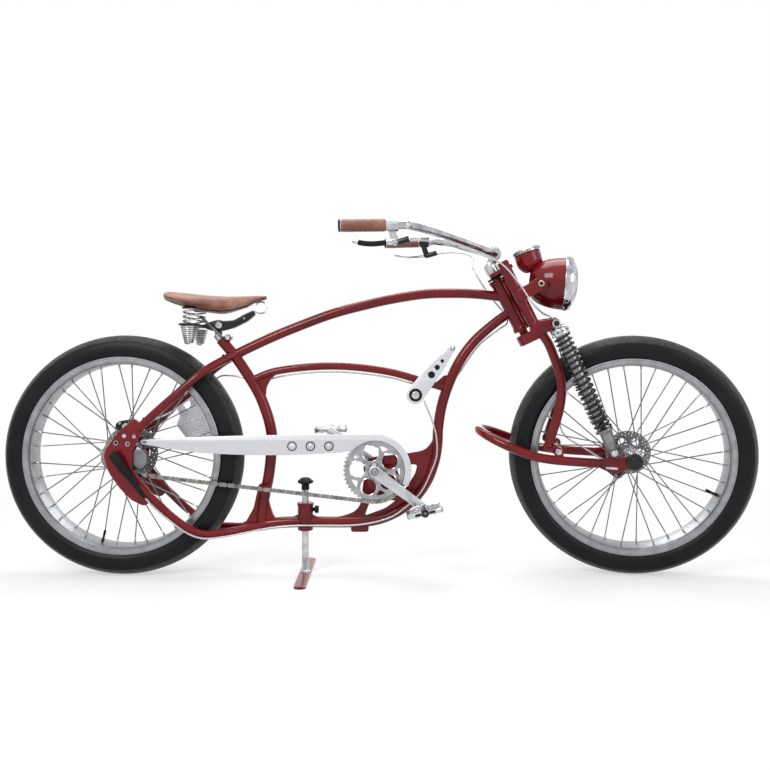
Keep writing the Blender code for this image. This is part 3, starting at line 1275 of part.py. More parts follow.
def make_fork(finish, pivot):
    """The fork: steerer, two crowns, stanchions, curved legs, lamp ears and pivot lugs."""
    fork = bar("fork", on_fork(-0.020, 0), on_fork(0.208, 0), STEERER_RADIUS, ROUND_SIDES)
    join(fork, oriented_block("lower_crown", (-0.034, -0.004), (-0.026, 0.060), STANCHION_SIDE + 0.020))
    join(fork, oriented_block("upper_crown", (0.1785, 0.1900), (-0.015, 0.058), STANCHION_SIDE + 0.0165))
    eye_inner = SHOCK_SIDE - SHOCK_EYE_HALF - GAP
    for sign in (-1, 1):
        across = sign * STANCHION_SIDE
        join(fork, bar(
            "stanchion", on_fork(-0.010, STANCHION_FORWARD, across),
            on_fork(0.206, STANCHION_FORWARD, across), STANCHION_RADIUS,
        ))
        leg = smooth_route([side(point, sign) for point in FORK_LEG_ROUTE])
        join(fork, tube("leg", leg, FORK_LEG_RADIUS))
        lug_start = FORK_LEG_ROUTE[-1]
        lug = link_outline((lug_start[0], lug_start[2] + 0.004), 0.0135, SWING_PIVOT, 0.0125)
        join(fork, plate("pivot_lug", lug, sign * lug_start[1], LUG_THICKNESS))
        crown_arm = link_outline((0.672, 0.712), 0.021, SHOCK_TOP, 0.0125)
        join(fork, plate("crown_arm", crown_arm, sign * (STANCHION_SIDE + 0.0135), 0.015))
        start = sign * (STANCHION_SIDE + 0.014)
        spacer_end = flat(SHOCK_TOP, sign * eye_inner)
        join(fork, bar("shock_spacer", flat(SHOCK_TOP, start), spacer_end, 0.009, ROUND_SIDES))
        end = sign * (SHOCK_SIDE + SHOCK_EYE_HALF + 0.004)
        join(fork, bar("shock_bolt", flat(SHOCK_TOP, start), flat(SHOCK_TOP, end), SHOCK_BOLT_RADIUS, 12))
        ear_side = sign * (LAMP_RADIUS + 0.0008 + EAR_THICKNESS / 2)
        ear = link_outline((0.630, 0.828), 0.014, LAMP_PIVOT, 0.0165)
        join(fork, plate("lamp_ear", ear, ear_side, EAR_THICKNESS))
        join(fork, bar("ear_arm", (0.624, across, 0.826), (0.624, ear_side, 0.826), 0.008, 10))
        cut(
            fork,
            drill(flat(SWING_PIVOT, sign * 0.055), flat(SWING_PIVOT, sign * 0.080),
                SWING_BOLT_RADIUS + RUNNING),
            drill(flat(LAMP_PIVOT, sign * 0.060), flat(LAMP_PIVOT, sign * 0.090),
                LAMP_BOLT_RADIUS + RUNNING),
        )
    return front_piece(fork, finish, pivot)


def make_bars(chrome, black, leather, pivot):
    """Lock ring, stem, handlebar and grips."""
    ring_low = on_fork(HEAD_TUBE_END + 0.0015, 0)
    ring = bar("headset_lock_ring", ring_low, on_fork(0.1782, 0), 0.0255, TURNED_STEPS)
    cut(ring, drill(on_fork(0.15, 0), on_fork(0.25, 0), STEERER_RADIUS + GAP))
    front_piece(ring, black, pivot)
    clamp = flat(BAR_CLAMP, 0)
    stem = bar("stem", on_fork(0.1903, 0), on_fork(0.222, 0), 0.0190, ROUND_SIDES)
    join(stem, bar("stem_neck", on_fork(0.212, 0), clamp, 0.0130, 12))
    reach = Vector((0, 0.021, 0))
    join(stem, bar("stem_clamp", clamp - reach, clamp + reach, BAR_RADIUS + 0.007, ROUND_SIDES))
    cut(
        stem,
        drill(clamp - 2 * reach, clamp + 2 * reach, BAR_RADIUS + GAP),
        drill(on_fork(0.15, 0), on_fork(0.2083, 0), STEERER_RADIUS + GAP),
    )
    front_piece(stem, chrome, pivot)
    middle = [Vector((0.549, 0, 0.926)), Vector((0.549, 0.0225, 0.926))]
    bend = smooth_route([side(point, 1) for point in BAR_ROUTE])
    half = middle + bend + [Vector(BAR_END)]
    whole = [side(point, -1) for point in reversed(half)] + half[1:]
    front_piece(tube("handlebar", whole, BAR_RADIUS), chrome, pivot)
    for sign, name in ((-1, "grip_right"), (1, "grip_left")):
        inner = side(bar_point(GRIP_START_X), sign)
        outer = side(bar_point(BAR_END[0] - 0.003), sign)
        grip = bar(name, inner, outer, GRIP_RADIUS, 12)
        hole_start = side(bar_point(GRIP_START_X + 0.02), sign)
        hole_end = side(bar_point(BAR_END[0] - GAP), sign)
        cut(grip, drill(hole_start, hole_end, BAR_RADIUS + GAP))
        front_piece(grip, leather, pivot)


def bar_point(x):
    """A point of the handlebar's straight end, at a place along X."""
    start = Vector(BAR_ROUTE[-1])
    end = Vector(BAR_END)
    return start.lerp(end, (x - start.x) / (end.x - start.x))


def make_brake_levers(chrome, pivot, lever_pivots):
    """The two lever clamps on the bar and the levers that turn in them."""
    for sign, name in ((-1, "right"), (1, "left")):
        ring_start = side(bar_point(GRIP_START_X + GAP), sign)
        ring_end = side(bar_point(GRIP_START_X + 0.016), sign)
        perch = bar("lever_perch_" + name, ring_start, ring_end, BAR_RADIUS + 0.0055, ROUND_SIDES)
        middle = bar_point(GRIP_START_X + 0.008)
        arm_side = sign * (LEVER_SIDE - LEVER_THICKNESS / 2 - GAP - PERCH_THICKNESS / 2)
        arm = link_outline((middle.x + 0.001, middle.z - 0.006), 0.0085, LEVER_PIVOT, 0.0095)
        join(perch, plate("arm", arm, arm_side, PERCH_THICKNESS))
        inner = flat(LEVER_PIVOT, arm_side)
        outer = flat(LEVER_PIVOT, sign * (LEVER_SIDE + LEVER_THICKNESS / 2 + 0.002))
        join(perch, bar("pin", inner, outer, 0.0025, 10))
        socket = Vector(LEVER_SOCKET)
        join(perch, bar("hose_socket", (0.312, arm_side, 0.943), side(socket, sign), 0.0038, 8))
        hole_start = side(bar_point(GRIP_START_X - 0.02), sign)
        hole_end = side(bar_point(GRIP_START_X + 0.02), sign)
        cut(perch, drill(hole_start, hole_end, BAR_RADIUS + GAP))
        front_piece(perch, chrome, pivot)
        x, z = LEVER_PIVOT
        outline = arc(LEVER_PIVOT, 0.0085, -60, 60, 4)
        outline += [(x - 0.020, z + 0.0055), (x - 0.060, z + 0.0015), (x - 0.098, z + 0.0065)]
        outline += arc((x - 0.106, z + 0.003), 0.0055, 90, 270, 5)
        outline += [(x - 0.094, z - 0.0045), (x - 0.056, z - 0.0090), (x - 0.018, z - 0.0075)]
        hole = circle(LEVER_PIVOT, 0.0025 + RUNNING, 12)
        lever = plate("brake_lever_" + name, outline, sign * LEVER_SIDE, LEVER_THICKNESS, [hole])
        front_piece(lever, chrome, lever_pivots[sign])


def lamp_axis():
    """The direction in which the headlight points."""
    tilt = math.radians(LAMP_TILT_DEG)
    return Vector((math.cos(tilt), 0, math.sin(tilt)))


def pod_axis():
    """The direction in which the instrument faces, up and back."""
    tilt = math.radians(POD_TILT_DEG)
    return Vector((math.sin(tilt), 0, math.cos(tilt)))


def make_headlight(red, chrome, glass, pivot):
    """The lamp's bowl with the instrument cup on it, the bezel, the lens and the instrument."""
    profile = [
        (0.0, 0.0), (0.024, 0.002), (0.044, 0.011), (0.058, 0.026), (0.067, 0.045),
        (0.0725, 0.068), (LAMP_RADIUS, LAMP_DEPTH), (LAMP_RADIUS - LAMP_WALL, LAMP_DEPTH),
        (0.0725 - LAMP_WALL, 0.068), (0.058 - LAMP_WALL, 0.030), (0.0, 0.010),
    ]
    back = flat(LAMP_BACK, 0)
    shell = turned("headlight_shell", profile, back, lamp_axis(), TURNED_STEPS)
    cup = [
        (0.0, -POD_DEPTH), (0.016, -POD_DEPTH), (0.029, -POD_DEPTH + 0.010),
        (POD_RADIUS - 0.0015, -POD_DEPTH + 0.026), (POD_RADIUS - 0.0005, -GAP), (0.0, -GAP),
    ]
    join(shell, turned("cup", cup, flat(POD_TOP, 0), pod_axis(), ROUND_SIDES))
    for sign in (-1, 1):
        inner = flat(LAMP_PIVOT, sign * (LAMP_RADIUS - 0.012))
        face = LAMP_RADIUS + 0.0008 + EAR_THICKNESS + GAP
        join(shell, bar("bolt", inner, flat(LAMP_PIVOT, sign * (face + 0.003)), LAMP_BOLT_RADIUS, 10))
        head_end = flat(LAMP_PIVOT, sign * (face + 0.004))
        join(shell, bar("bolt_head", flat(LAMP_PIVOT, sign * face), head_end, 0.0085, ROUND_SIDES))
    front_piece(shell, red, pivot)
    front = LAMP_DEPTH + GAP
    bezel = [
        (LAMP_RADIUS - 0.008, front), (LAMP_BEZEL_RADIUS, front), (LAMP_BEZEL_RADIUS, front + 0.005),
        (LAMP_BEZEL_RADIUS - 0.004, front + LAMP_BEZEL_DEPTH),
        (LAMP_RADIUS - 0.008, front + LAMP_BEZEL_DEPTH),
    ]
    front_piece(turned("headlight_bezel", bezel, back, lamp_axis(), TURNED_STEPS, ring=True), chrome, pivot)
    lens_edge = LAMP_RADIUS - 0.008 - GAP
    lens = [
        (0.0, front), (lens_edge, front), (lens_edge, front + LAMP_BEZEL_DEPTH - 0.004),
        (lens_edge * 0.86, front + LAMP_BEZEL_DEPTH + 0.006),
        (lens_edge * 0.62, front + LAMP_BEZEL_DEPTH + 0.012),
        (lens_edge * 0.34, front + LAMP_BEZEL_DEPTH + 0.0155), (0.0, front + LAMP_BEZEL_DEPTH + 0.017),
    ]
    front_piece(turned("headlight_lens", lens, back, lamp_axis(), TURNED_STEPS), glass, pivot)
    dial = [
        (0.0, 0.0), (POD_RADIUS - 0.002, 0.0), (POD_RADIUS + 0.0015, 0.002), (POD_RADIUS + 0.0015, 0.009),
        (POD_RADIUS - 0.004, 0.013), (POD_RADIUS - 0.006, 0.011), (0.0, 0.011),
    ]
    front_piece(turned("speedometer", dial, flat(POD_TOP, 0), pod_axis(), TURNED_STEPS), chrome, pivot)


def make_swingarm(finish, pivot):
    """One bent tube behind the wheel, with its pivot, axle, shock and caliper plates."""
    bend = smooth_route([side(point, 1) for point in SWING_ROUTE])
    whole = [side(point, -1) for point in reversed(bend)] + bend[1:]
    arm = tube("swingarm", whole, SWING_TUBE_RADIUS)
    for sign in (-1, 1):
        across = sign * SWING_SIDE
        axle_plate = link_outline((0.842, 0.337), 0.0125, FRONT_AXLE, 0.0165)
        join(arm, plate("axle_plate", axle_plate, across, SWING_PLATE))
        shock_plate = link_outline((0.874, 0.338), 0.0120, SHOCK_FOOT, 0.0115)
        join(arm, plate("shock_plate", shock_plate, across, SWING_PLATE - 0.001))
        lug_face = FORK_LEG_ROUTE[-1][1] + LUG_THICKNESS / 2 + GAP
        pivot_plate = link_outline((SWING_PIVOT[0] + 0.002, 0.345), 0.0125, SWING_PIVOT, 0.0125)
        join(arm, plate("pivot_plate", pivot_plate, sign * (lug_face + 0.005), 0.010))
        inner = flat(SWING_PIVOT, sign * (FORK_LEG_ROUTE[-1][1] - 0.008))
        bolt_end = flat(SWING_PIVOT, sign * (lug_face + 0.013))
        join(arm, bar("pivot_bolt", inner, bolt_end, SWING_BOLT_RADIUS, ROUND_SIDES))
        start = flat(SHOCK_FOOT, across)
        plate_face = sign * (SHOCK_SIDE - SHOCK_EYE_HALF - GAP)
        end = flat(SHOCK_FOOT, sign * (SHOCK_SIDE + SHOCK_EYE_HALF + 0.003))
        join(arm, bar("shock_spacer", start, flat(SHOCK_FOOT, plate_face), 0.009, ROUND_SIDES))
        join(arm, bar("shock_bolt", start, end, SHOCK_BOLT_RADIUS, 12))
    bracket = link_outline((0.884, 0.328), 0.012, (0.889, 0.296), 0.012)
    join(arm, plate("caliper_plate", bracket, SWING_SIDE, SWING_PLATE - 0.0004))
    cut(arm, drill(flat(FRONT_AXLE, -0.1), flat(FRONT_AXLE, 0.1), FRONT_AXLE_RADIUS + GAP))
    return front_piece(arm, finish, pivot)


def make_front_axle(steel, pivot):
    """The front axle with a cap at each end."""
    outside = SWING_SIDE + SWING_PLATE / 2
    reach = outside + 0.011
    right_end = flat(FRONT_AXLE, -reach)
    axle = bar("front_axle", right_end, flat(FRONT_AXLE, reach), FRONT_AXLE_RADIUS, ROUND_SIDES)
    for sign in (-1, 1):
        start = flat(FRONT_AXLE, sign * (outside + GAP))
        end = flat(FRONT_AXLE, sign * (outside + 0.010))
        join(axle, bar("cap", start, end, FRONT_CAP_RADIUS, ROUND_SIDES))
    return front_piece(axle, steel, pivot)


def make_shock(name, sign, black, chrome, steel, pivots):
    """One shock: the upper eye with its tube, the coil, and the rod with its lower eye."""
    top = flat(SHOCK_TOP, sign * SHOCK_SIDE)
    foot = flat(SHOCK_FOOT, sign * SHOCK_SIDE)
    down = (foot - top).normalized()
    length = (foot - top).length
    half = Vector((0, SHOCK_EYE_HALF, 0))
    upper = bar("shock_upper_" + name, top - half, top + half, SHOCK_EYE_RADIUS, ROUND_SIDES)
    seat = SHOCK_CAP_LENGTH
    cap = [
        (0.0, 0.006), (0.010, 0.006), (0.010, 0.0125), (0.0235, 0.0135), (SHOCK_SEAT_RADIUS, 0.018),
        (SHOCK_SEAT_RADIUS, seat), (SHOCK_TUBE_RADIUS, seat), (SHOCK_TUBE_RADIUS, SHOCK_TUBE_LENGTH),
        (0.0, SHOCK_TUBE_LENGTH),
    ]
    join(upper, turned("cap", cap, top, down, ROUND_SIDES))
    rod_bore = drill(top + down * (SHOCK_ROD_TOP - 0.032), top + down * (SHOCK_TUBE_LENGTH + 0.01),
                   SHOCK_ROD_RADIUS + RUNNING)
    cut(
        upper, rod_bore,
        drill(top - 2 * half, top + 2 * half, SHOCK_BOLT_RADIUS + RUNNING),
    )
    front_piece(upper, chrome, pivots["upper"])
    lower = length - SHOCK_SEAT_HEIGHT
    slider = bar("shock_slider_" + name, foot - half, foot + half, SHOCK_EYE_RADIUS, ROUND_SIDES)
    rod = [
        (0.0, SHOCK_ROD_TOP), (SHOCK_ROD_RADIUS, SHOCK_ROD_TOP), (SHOCK_ROD_RADIUS, lower),
        (SHOCK_SEAT_RADIUS, lower), (SHOCK_SEAT_RADIUS, lower + 0.008), (0.0135, lower + 0.011),
        (0.0125, length - 0.014), (0.008, length - 0.006), (0.0, length - 0.006),
    ]
    join(slider, turned("rod", rod, top, down, ROUND_SIDES))
    cut(slider, drill(foot - 2 * half, foot + 2 * half, SHOCK_BOLT_RADIUS + OPEN_PIVOT_GAP))
    front_piece(slider, steel, pivots["slider"])
    spring = coil(
        "shock_spring_" + name, top + down * (seat + GAP), top + down * (lower - GAP),
        (SHOCK_SPRING_RADIUS, SHOCK_SPRING_RADIUS), SHOCK_WIRE_RADIUS, SHOCK_CURLS,
    )
    front_piece(spring, black, pivots["upper"])


def make_hoses(black, pivot_frame, pivot_steer):
    """The two brake hoses and the shift cable, each whole along its route."""
    front_line = smooth_route(FRONT_HOSE_ROUTE, HOSE_TOLERANCE)
    front = tube("front_brake_hose", front_line, FRONT_HOSE_RADIUS, sides=8)
    front_piece(front, black, pivot_steer)
    steered = [steer_turn() @ Vector(point) for point in REAR_HOSE_BAR_ROUTE]
    frame_part = [Vector(point) for point in REAR_HOSE_ROUTE]
    rear_line = smooth_route(steered + frame_part, HOSE_TOLERANCE)
    rear = tube("rear_brake_hose", rear_line, REAR_HOSE_RADIUS, sides=8)
    finish_piece(rear, black, pivot_frame)
    cable = tube("shift_cable", smooth_route(SHIFT_CABLE_ROUTE, HOSE_TOLERANCE), SHIFT_CABLE_RADIUS, sides=8)
    finish_piece(cable, black, pivot_frame)


def turn_front_wheel(*items):
    """Turn the front wheel's finished pieces into their rest place."""
    for item in items:
        item.data.transform(steer_turn())
        tidy_mesh(item.data)


def main():
    """Build every piece of the bicycle."""
    empty_scene()
    red = material("red_lacquer", (0.20, 0.006, 0.012), 0.22, 0.35)
    chrome = material("chrome", (0.80, 0.80, 0.82), 0.10, 1.0)
    alloy = material("alloy", (0.62, 0.63, 0.65), 0.32, 1.0)
    steel = material("steel", (0.42, 0.42, 0.43), 0.35, 1.0)
    black = material("black", (0.012, 0.012, 0.014), 0.35, 0.0)
    rubber = material("rubber", (0.012, 0.013, 0.014), 0.6, 0.0)
    leather = material("leather", (0.22, 0.075, 0.04), 0.5, 0.0)
    glass = material("glass", (0.75, 0.78, 0.80), 0.08, 0.0)
    body = pivot_empty("frame_body", (0, 0, 0))
    make_frame(red, body)
    make_chain_guard(alloy, body)
    make_chain(steel, body)
    make_rear_axle(steel, body)
    make_cable_boot(rubber, body)
    make_caliper("rear_caliper", REAR_AXLE, REAR_CALIPER_DEG, REAR_ROTOR_RADIUS,
                 REAR_ROTOR_SIDE, STAY_SIDE - DROPOUT_THICKNESS / 2 - GAP, black, body)
    make_side_plate(alloy, body)
    stand = pivot_empty("stand_slide", (0, 0, STAND_BOSS_TOP), body)
    lock = pivot_empty("stand_lock_turn", (STAND_BOSS_RADIUS, 0, LOCK_KNOB_Z), body)
    make_stand(steel, black, stand, lock)
    make_shift_lever(alloy, pivot_empty("shift_lever_turn", flat(SHIFT_PIVOT, -SHIFT_SIDE), body))
    crank = pivot_empty("crank_turn", flat(BRACKET, 0), body)
    tips = make_cranks(steel, alloy, crank)
    right_pedal = pivot_empty("pedal_right_turn", flat(tips[-1], 0), crank)
    left_pedal = pivot_empty("pedal_left_turn", flat(tips[1], 0), crank)
    make_pedal("pedal_right", tips[-1], -1, RIGHT_PEDAL_TILT_DEG, black, right_pedal)
    make_pedal("pedal_left", tips[1], 1, LEFT_PEDAL_TILT_DEG, black, left_pedal)
    rear_wheel = pivot_empty("rear_wheel_turn", flat(REAR_AXLE, 0), body)
    make_tyre("rear_tyre", REAR_AXLE, rubber, rear_wheel)
    make_rim("rear_rim", REAR_AXLE, REAR_VALVE_DEG, alloy, rear_wheel)
    profile = hub_profile(REAR_HUB_HALF, 0.030, REAR_FLANGE_RADIUS, REAR_FLANGE_SIDE, REAR_HUB_NECK)
    make_hub("rear_hub", REAR_AXLE, profile, REAR_FLANGE_RADIUS, REAR_FLANGE_SIDE,
             REAR_AXLE_RADIUS + RUNNING, alloy, rear_wheel)
    make_rotor("rear_rotor", REAR_AXLE, REAR_ROTOR_RADIUS, REAR_ROTOR_SIDE, REAR_HUB_NECK + GAP,
               steel, rear_wheel)
    make_rear_drive(steel, pivot_empty("sprocket_turn", flat(REAR_AXLE, -CHAIN_SIDE), body))
    saddle_body = pivot_empty("seat_post_slide", SEAT_TUBE_ROUTE[0], body)
    make_saddle_frame(black, saddle_body)
    make_saddle(leather, pivot_empty("saddle_tilt", flat(NOSE_LOOP_CENTRE, 0), saddle_body))
    make_saddle_springs(steel, saddle_body)
    steer = front_empty("steering", HEAD_BASE, body)
    make_fork(red, steer)
    make_bars(chrome, black, leather, steer)
    lever_pivots = {}
    for sign, name in ((-1, "right"), (1, "left")):
        place = flat(LEVER_PIVOT, sign * LEVER_SIDE)
        lever_pivots[sign] = front_empty("brake_lever_turn_" + name, place, steer)
    make_brake_levers(chrome, steer, lever_pivots)
    make_headlight(red, chrome, glass, front_empty("headlight_tilt", flat(LAMP_PIVOT, 0), steer))
    swing = front_empty("swingarm_turn", flat(SWING_PIVOT, 0), steer)
    make_swingarm(red, swing)
    make_front_axle(black, swing)
    caliper = make_caliper("front_caliper", FRONT_AXLE, FRONT_CALIPER_DEG, FRONT_ROTOR_RADIUS,
                           FRONT_ROTOR_SIDE, SWING_SIDE - SWING_PLATE / 2 - GAP, black, swing)
    for sign, name in ((-1, "right"), (1, "left")):
        upper = front_empty("shock_turn_" + name, flat(SHOCK_TOP, sign * SHOCK_SIDE), steer)
        slider = front_empty("shock_slide_" + name, flat(SHOCK_FOOT, sign * SHOCK_SIDE), upper)
        make_shock(name, sign, black, chrome, steel, {"upper": upper, "slider": slider})
    front_wheel = front_empty("front_wheel_turn", flat(FRONT_AXLE, 0), swing)
    tyre = make_tyre("front_tyre", FRONT_AXLE, rubber, front_wheel)
    rim = make_rim("front_rim", FRONT_AXLE, FRONT_VALVE_DEG, alloy, front_wheel)
    profile = hub_profile(FRONT_HUB_HALF, 0.016, FRONT_FLANGE_RADIUS, FRONT_FLANGE_SIDE, FRONT_HUB_NECK)
    hub = make_hub("front_hub", FRONT_AXLE, profile, FRONT_FLANGE_RADIUS, FRONT_FLANGE_SIDE,
                   FRONT_AXLE_RADIUS + RUNNING, alloy, front_wheel)
    rotor = make_rotor("front_rotor", FRONT_AXLE, FRONT_ROTOR_RADIUS, FRONT_ROTOR_SIDE,
                       FRONT_HUB_NECK + GAP, steel, front_wheel)
    turn_front_wheel(tyre, rim, hub, rotor, caliper)
    make_hoses(black, body, steer)


main()
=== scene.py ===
# %% [markdown]
# # A red chopper bicycle
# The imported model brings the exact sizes, the joints and one mesh for every part.
# Its tubes have few sides and its wheels few steps, because a physics engine wants
# light shapes. This lesson dresses it: almost every part is made again as a smooth
# surface, from the same measurements, and gets a finish that looks like the real one.

import bpy
import bmesh
import numpy as np
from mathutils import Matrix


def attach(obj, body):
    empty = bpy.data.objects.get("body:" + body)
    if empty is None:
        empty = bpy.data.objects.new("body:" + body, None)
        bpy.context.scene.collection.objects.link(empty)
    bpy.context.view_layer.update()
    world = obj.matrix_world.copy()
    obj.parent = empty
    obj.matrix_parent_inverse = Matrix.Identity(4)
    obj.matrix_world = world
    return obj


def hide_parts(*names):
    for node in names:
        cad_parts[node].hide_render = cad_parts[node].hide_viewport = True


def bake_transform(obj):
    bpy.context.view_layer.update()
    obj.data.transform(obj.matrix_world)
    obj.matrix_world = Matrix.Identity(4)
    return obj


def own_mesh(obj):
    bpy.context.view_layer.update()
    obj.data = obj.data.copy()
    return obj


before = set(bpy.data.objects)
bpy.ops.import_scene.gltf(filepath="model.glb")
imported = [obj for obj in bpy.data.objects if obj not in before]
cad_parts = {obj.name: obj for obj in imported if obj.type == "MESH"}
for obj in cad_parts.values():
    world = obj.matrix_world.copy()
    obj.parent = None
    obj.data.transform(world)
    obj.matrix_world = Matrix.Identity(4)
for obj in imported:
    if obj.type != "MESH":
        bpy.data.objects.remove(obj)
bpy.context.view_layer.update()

# %% [markdown]
# ## The camera
# The photograph is taken from the rider's right, square to the frame and at about the
# height of the top of the wheels. A lens of 37 mm from 2.3 m away gives the same
# perspective. The picture's middle lies below the horizon, which a small shift gives.

# %% Place the camera
camera_data = bpy.data.cameras.new("camera")
camera_data.lens = 37.1
camera_data.sensor_width = 36.0
camera_data.shift_y = -0.0247
camera = bpy.data.objects.new("camera", camera_data)
camera.location = (0.2306, -2.3, 0.6012)
camera.rotation_euler = (np.pi / 2, 0.0, 0.0)
bpy.context.scene.collection.objects.link(camera)
bpy.context.scene.camera = camera
bpy.context.scene.view_settings.view_transform = "Standard"

# %% [markdown]
# ## Floor and light
# The bicycle stands on a white studio floor. The floor sends out a little light of its
# own, so that it looks white while it still takes the shadow, and far out it fades to
# plain white. Mirrors and glass see the same white floor and sky as the camera. The
# light of the sky is another one: it darkens towards the horizon, as in a real studio.

# %% Helpers for node trees
def add_node(tree, kind, inputs=None, **settings):
    """Add a node, set its options, and set or link its inputs."""
    node = tree.nodes.new(kind)
    for name, value in settings.items():
        setattr(node, name, value)
    for name, value in (inputs or {}).items():
        if isinstance(value, bpy.types.NodeSocket):
            tree.links.new(value, node.inputs[name])
        else:
            node.inputs[name].default_value = value
    return node


def grey(level):
    """An opaque grey."""
    return (level, level, level, 1.0)


def larger(tree, *values):
    """The largest of some values, found two at a time."""
    best = values[0]
    for value in values[1:]:
        best = add_node(tree, "ShaderNodeMath", {0: best, 1: value}, operation="MAXIMUM").outputs[0]
    return best


# %% The floor
FLOOR_SIZE = 9.0
FLOOR_LEVEL = 0.52

bpy.ops.mesh.primitive_plane_add(size=FLOOR_SIZE, location=(0.2, 0.0, -0.0002))
floor = bpy.context.object
floor.name = "floor"
floor_paint = bpy.data.materials.new("studio_floor")
floor_paint.use_nodes = True
tree = floor_paint.node_tree
tree.nodes.clear()
rays = add_node(tree, "ShaderNodeLightPath").outputs
matt = add_node(tree, "ShaderNodeBsdfDiffuse", {"Color": grey(FLOOR_LEVEL)})
glow = add_node(tree, "ShaderNodeEmission", {"Color": grey(1.0), "Strength": FLOOR_LEVEL})
bright = add_node(tree, "ShaderNodeAddShader", {0: matt.outputs[0], 1: glow.outputs[0]})
pale = add_node(tree, "ShaderNodeBsdfDiffuse", {"Color": grey(0.5)})
direct = larger(tree, rays["Is Camera Ray"], rays["Is Glossy Ray"], rays["Is Transmission Ray"])
place = add_node(tree, "ShaderNodeTexCoord")
distance = add_node(tree, "ShaderNodeVectorMath", {0: place.outputs["Object"]}, operation="LENGTH")
far = add_node(tree, "ShaderNodeMapRange",
               {"Value": distance.outputs["Value"], "From Min": 1.1, "From Max": 2.6})
plain = add_node(tree, "ShaderNodeEmission", {"Color": grey(1.0), "Strength": 1.0})
fading = add_node(tree, "ShaderNodeMixShader", {0: far.outputs[0], 1: bright.outputs[0], 2: plain.outputs[0]})
mixed = add_node(tree, "ShaderNodeMixShader", {0: direct, 1: pale.outputs[0], 2: fading.outputs[0]})
add_node(tree, "ShaderNodeOutputMaterial", {"Surface": mixed.outputs[0]})
floor.data.materials.append(floor_paint)

# %% The sky
world = bpy.data.worlds.new("studio")
bpy.context.scene.world = world
world.use_nodes = True
tree = world.node_tree
tree.nodes.clear()
direction = add_node(tree, "ShaderNodeTexCoord")
height = add_node(tree, "ShaderNodeSeparateXYZ", {0: direction.outputs["Generated"]})
shades = add_node(tree, "ShaderNodeValToRGB", {0: height.outputs["Z"]})
elements = shades.color_ramp.elements
elements[0].position, elements[0].color = 0.0, grey(0.05)
elements[1].position, elements[1].color = 0.55, grey(0.85)
elements.new(0.18).color = grey(0.34)
rays = add_node(tree, "ShaderNodeLightPath").outputs
direct = larger(tree, rays["Is Camera Ray"], rays["Is Transmission Ray"], rays["Is Glossy Ray"])
sky = add_node(tree, "ShaderNodeBackground", {"Color": shades.outputs[0], "Strength": 0.45})
white = add_node(tree, "ShaderNodeBackground", {"Color": grey(1.0), "Strength": 1.0})
both = add_node(tree, "ShaderNodeMixShader", {0: direct, 1: sky.outputs[0], 2: white.outputs[0]})
add_node(tree, "ShaderNodeOutputWorld", {"Surface": both.outputs[0]})

# %% The lamps
def softbox(name, place, aim, size, power):
    """A square area lamp at a place, turned to look at a point."""
    data = bpy.data.lights.new(name, "AREA")
    data.shape = "SQUARE"
    data.size = size
    data.energy = power
    lamp = bpy.data.objects.new(name, data)
    lamp.location = place
    sight = np.array(aim, float) - np.array(place, float)
    yaw = np.arctan2(sight[1], sight[0]) - np.pi / 2
    tip = np.arctan2(np.hypot(sight[0], sight[1]), -sight[2])
    lamp.rotation_euler = (tip, 0.0, yaw)
    bpy.context.scene.collection.objects.link(lamp)


softbox("key", (-1.2, -2.6, 2.6), (0.2, 0.0, 0.5), 1.3, 56.0)
softbox("fill", (2.6, -2.2, 1.6), (0.4, 0.0, 0.5), 1.4, 20.0)
softbox("top", (0.2, 0.4, 3.2), (0.2, 0.0, 0.4), 1.8, 46.0)
softbox("back", (0.6, 2.8, 1.9), (0.2, 0.0, 0.5), 1.6, 22.0)

# %% [markdown]
# ## Surfaces from arrays
# Every new part below is one of three kinds. A **sweep** carries a circle along a path,
# as a bent tube. A **lathe** spins an outline about an axis, as a hub or a lamp bowl.
# A **plate** is a flat outline with holes and softened edges, as a sheet of steel cut
# out and filed. All points of a surface are worked out at once with numpy. Measured
# points are written in millimetres, one after another, and `mm` turns them into rows.

# %% Millimetres and grids of points
def mm(*values, size=2):
    """Rows of measured points in metres, from their values in millimetres."""
    return (np.round(np.array(values, float) * 100) / 100000).reshape(-1, size)


def mm3(*values):
    """Rows of X, Y and Z in metres, from millimetres."""
    return mm(*values, size=3)


def grid_surface(points, closed_rows=False, closed_columns=False, along=None):
    """Vertices, quads and UV corners of a grid of points, rows by columns by three.

    U runs from 0 to 1 across the columns, and V is the share or the length given for a row.
    """
    rows, columns = points.shape[:2]
    turns = columns if closed_columns else columns - 1
    row, column = np.meshgrid(np.arange(rows if closed_rows else rows - 1), np.arange(turns), indexing="ij")
    row, column = row.ravel(), column.ravel()
    corner_rows = np.stack([row, row, row + 1, row + 1], axis=1)
    corner_columns = np.stack([column, column + 1, column + 1, column], axis=1)
    faces = (corner_rows % rows) * columns + corner_columns % columns
    if along is None:
        along = np.arange(rows + 1) / max(1, rows if closed_rows else rows - 1)
    uv = np.stack([corner_columns / turns, np.asarray(along)[corner_rows]], axis=2)
    return points.reshape(-1, 3), faces, uv.reshape(-1, 2)


def in_triangles(surface):
    """The surface with each quad split into two triangles."""
    points, faces, uv = surface
    if faces.shape[1] == 3:
        return surface
    order = [0, 1, 2, 0, 2, 3]
    return points, faces[:, order].reshape(-1, 3), uv.reshape(-1, 4, 2)[:, order].reshape(-1, 2)


def joined(*surfaces):
    """Several surfaces as one: their points, faces and UV corners one after another."""
    if len({surface[1].shape[1] for surface in surfaces}) > 1:
        surfaces = [in_triangles(surface) for surface in surfaces]
    starts = np.cumsum([0] + [len(surface[0]) for surface in surfaces[:-1]])
    faces = np.concatenate([surface[1] + start for surface, start in zip(surfaces, starts)])
    points = np.concatenate([surface[0] for surface in surfaces])
    return points, faces, np.concatenate([surface[2] for surface in surfaces])


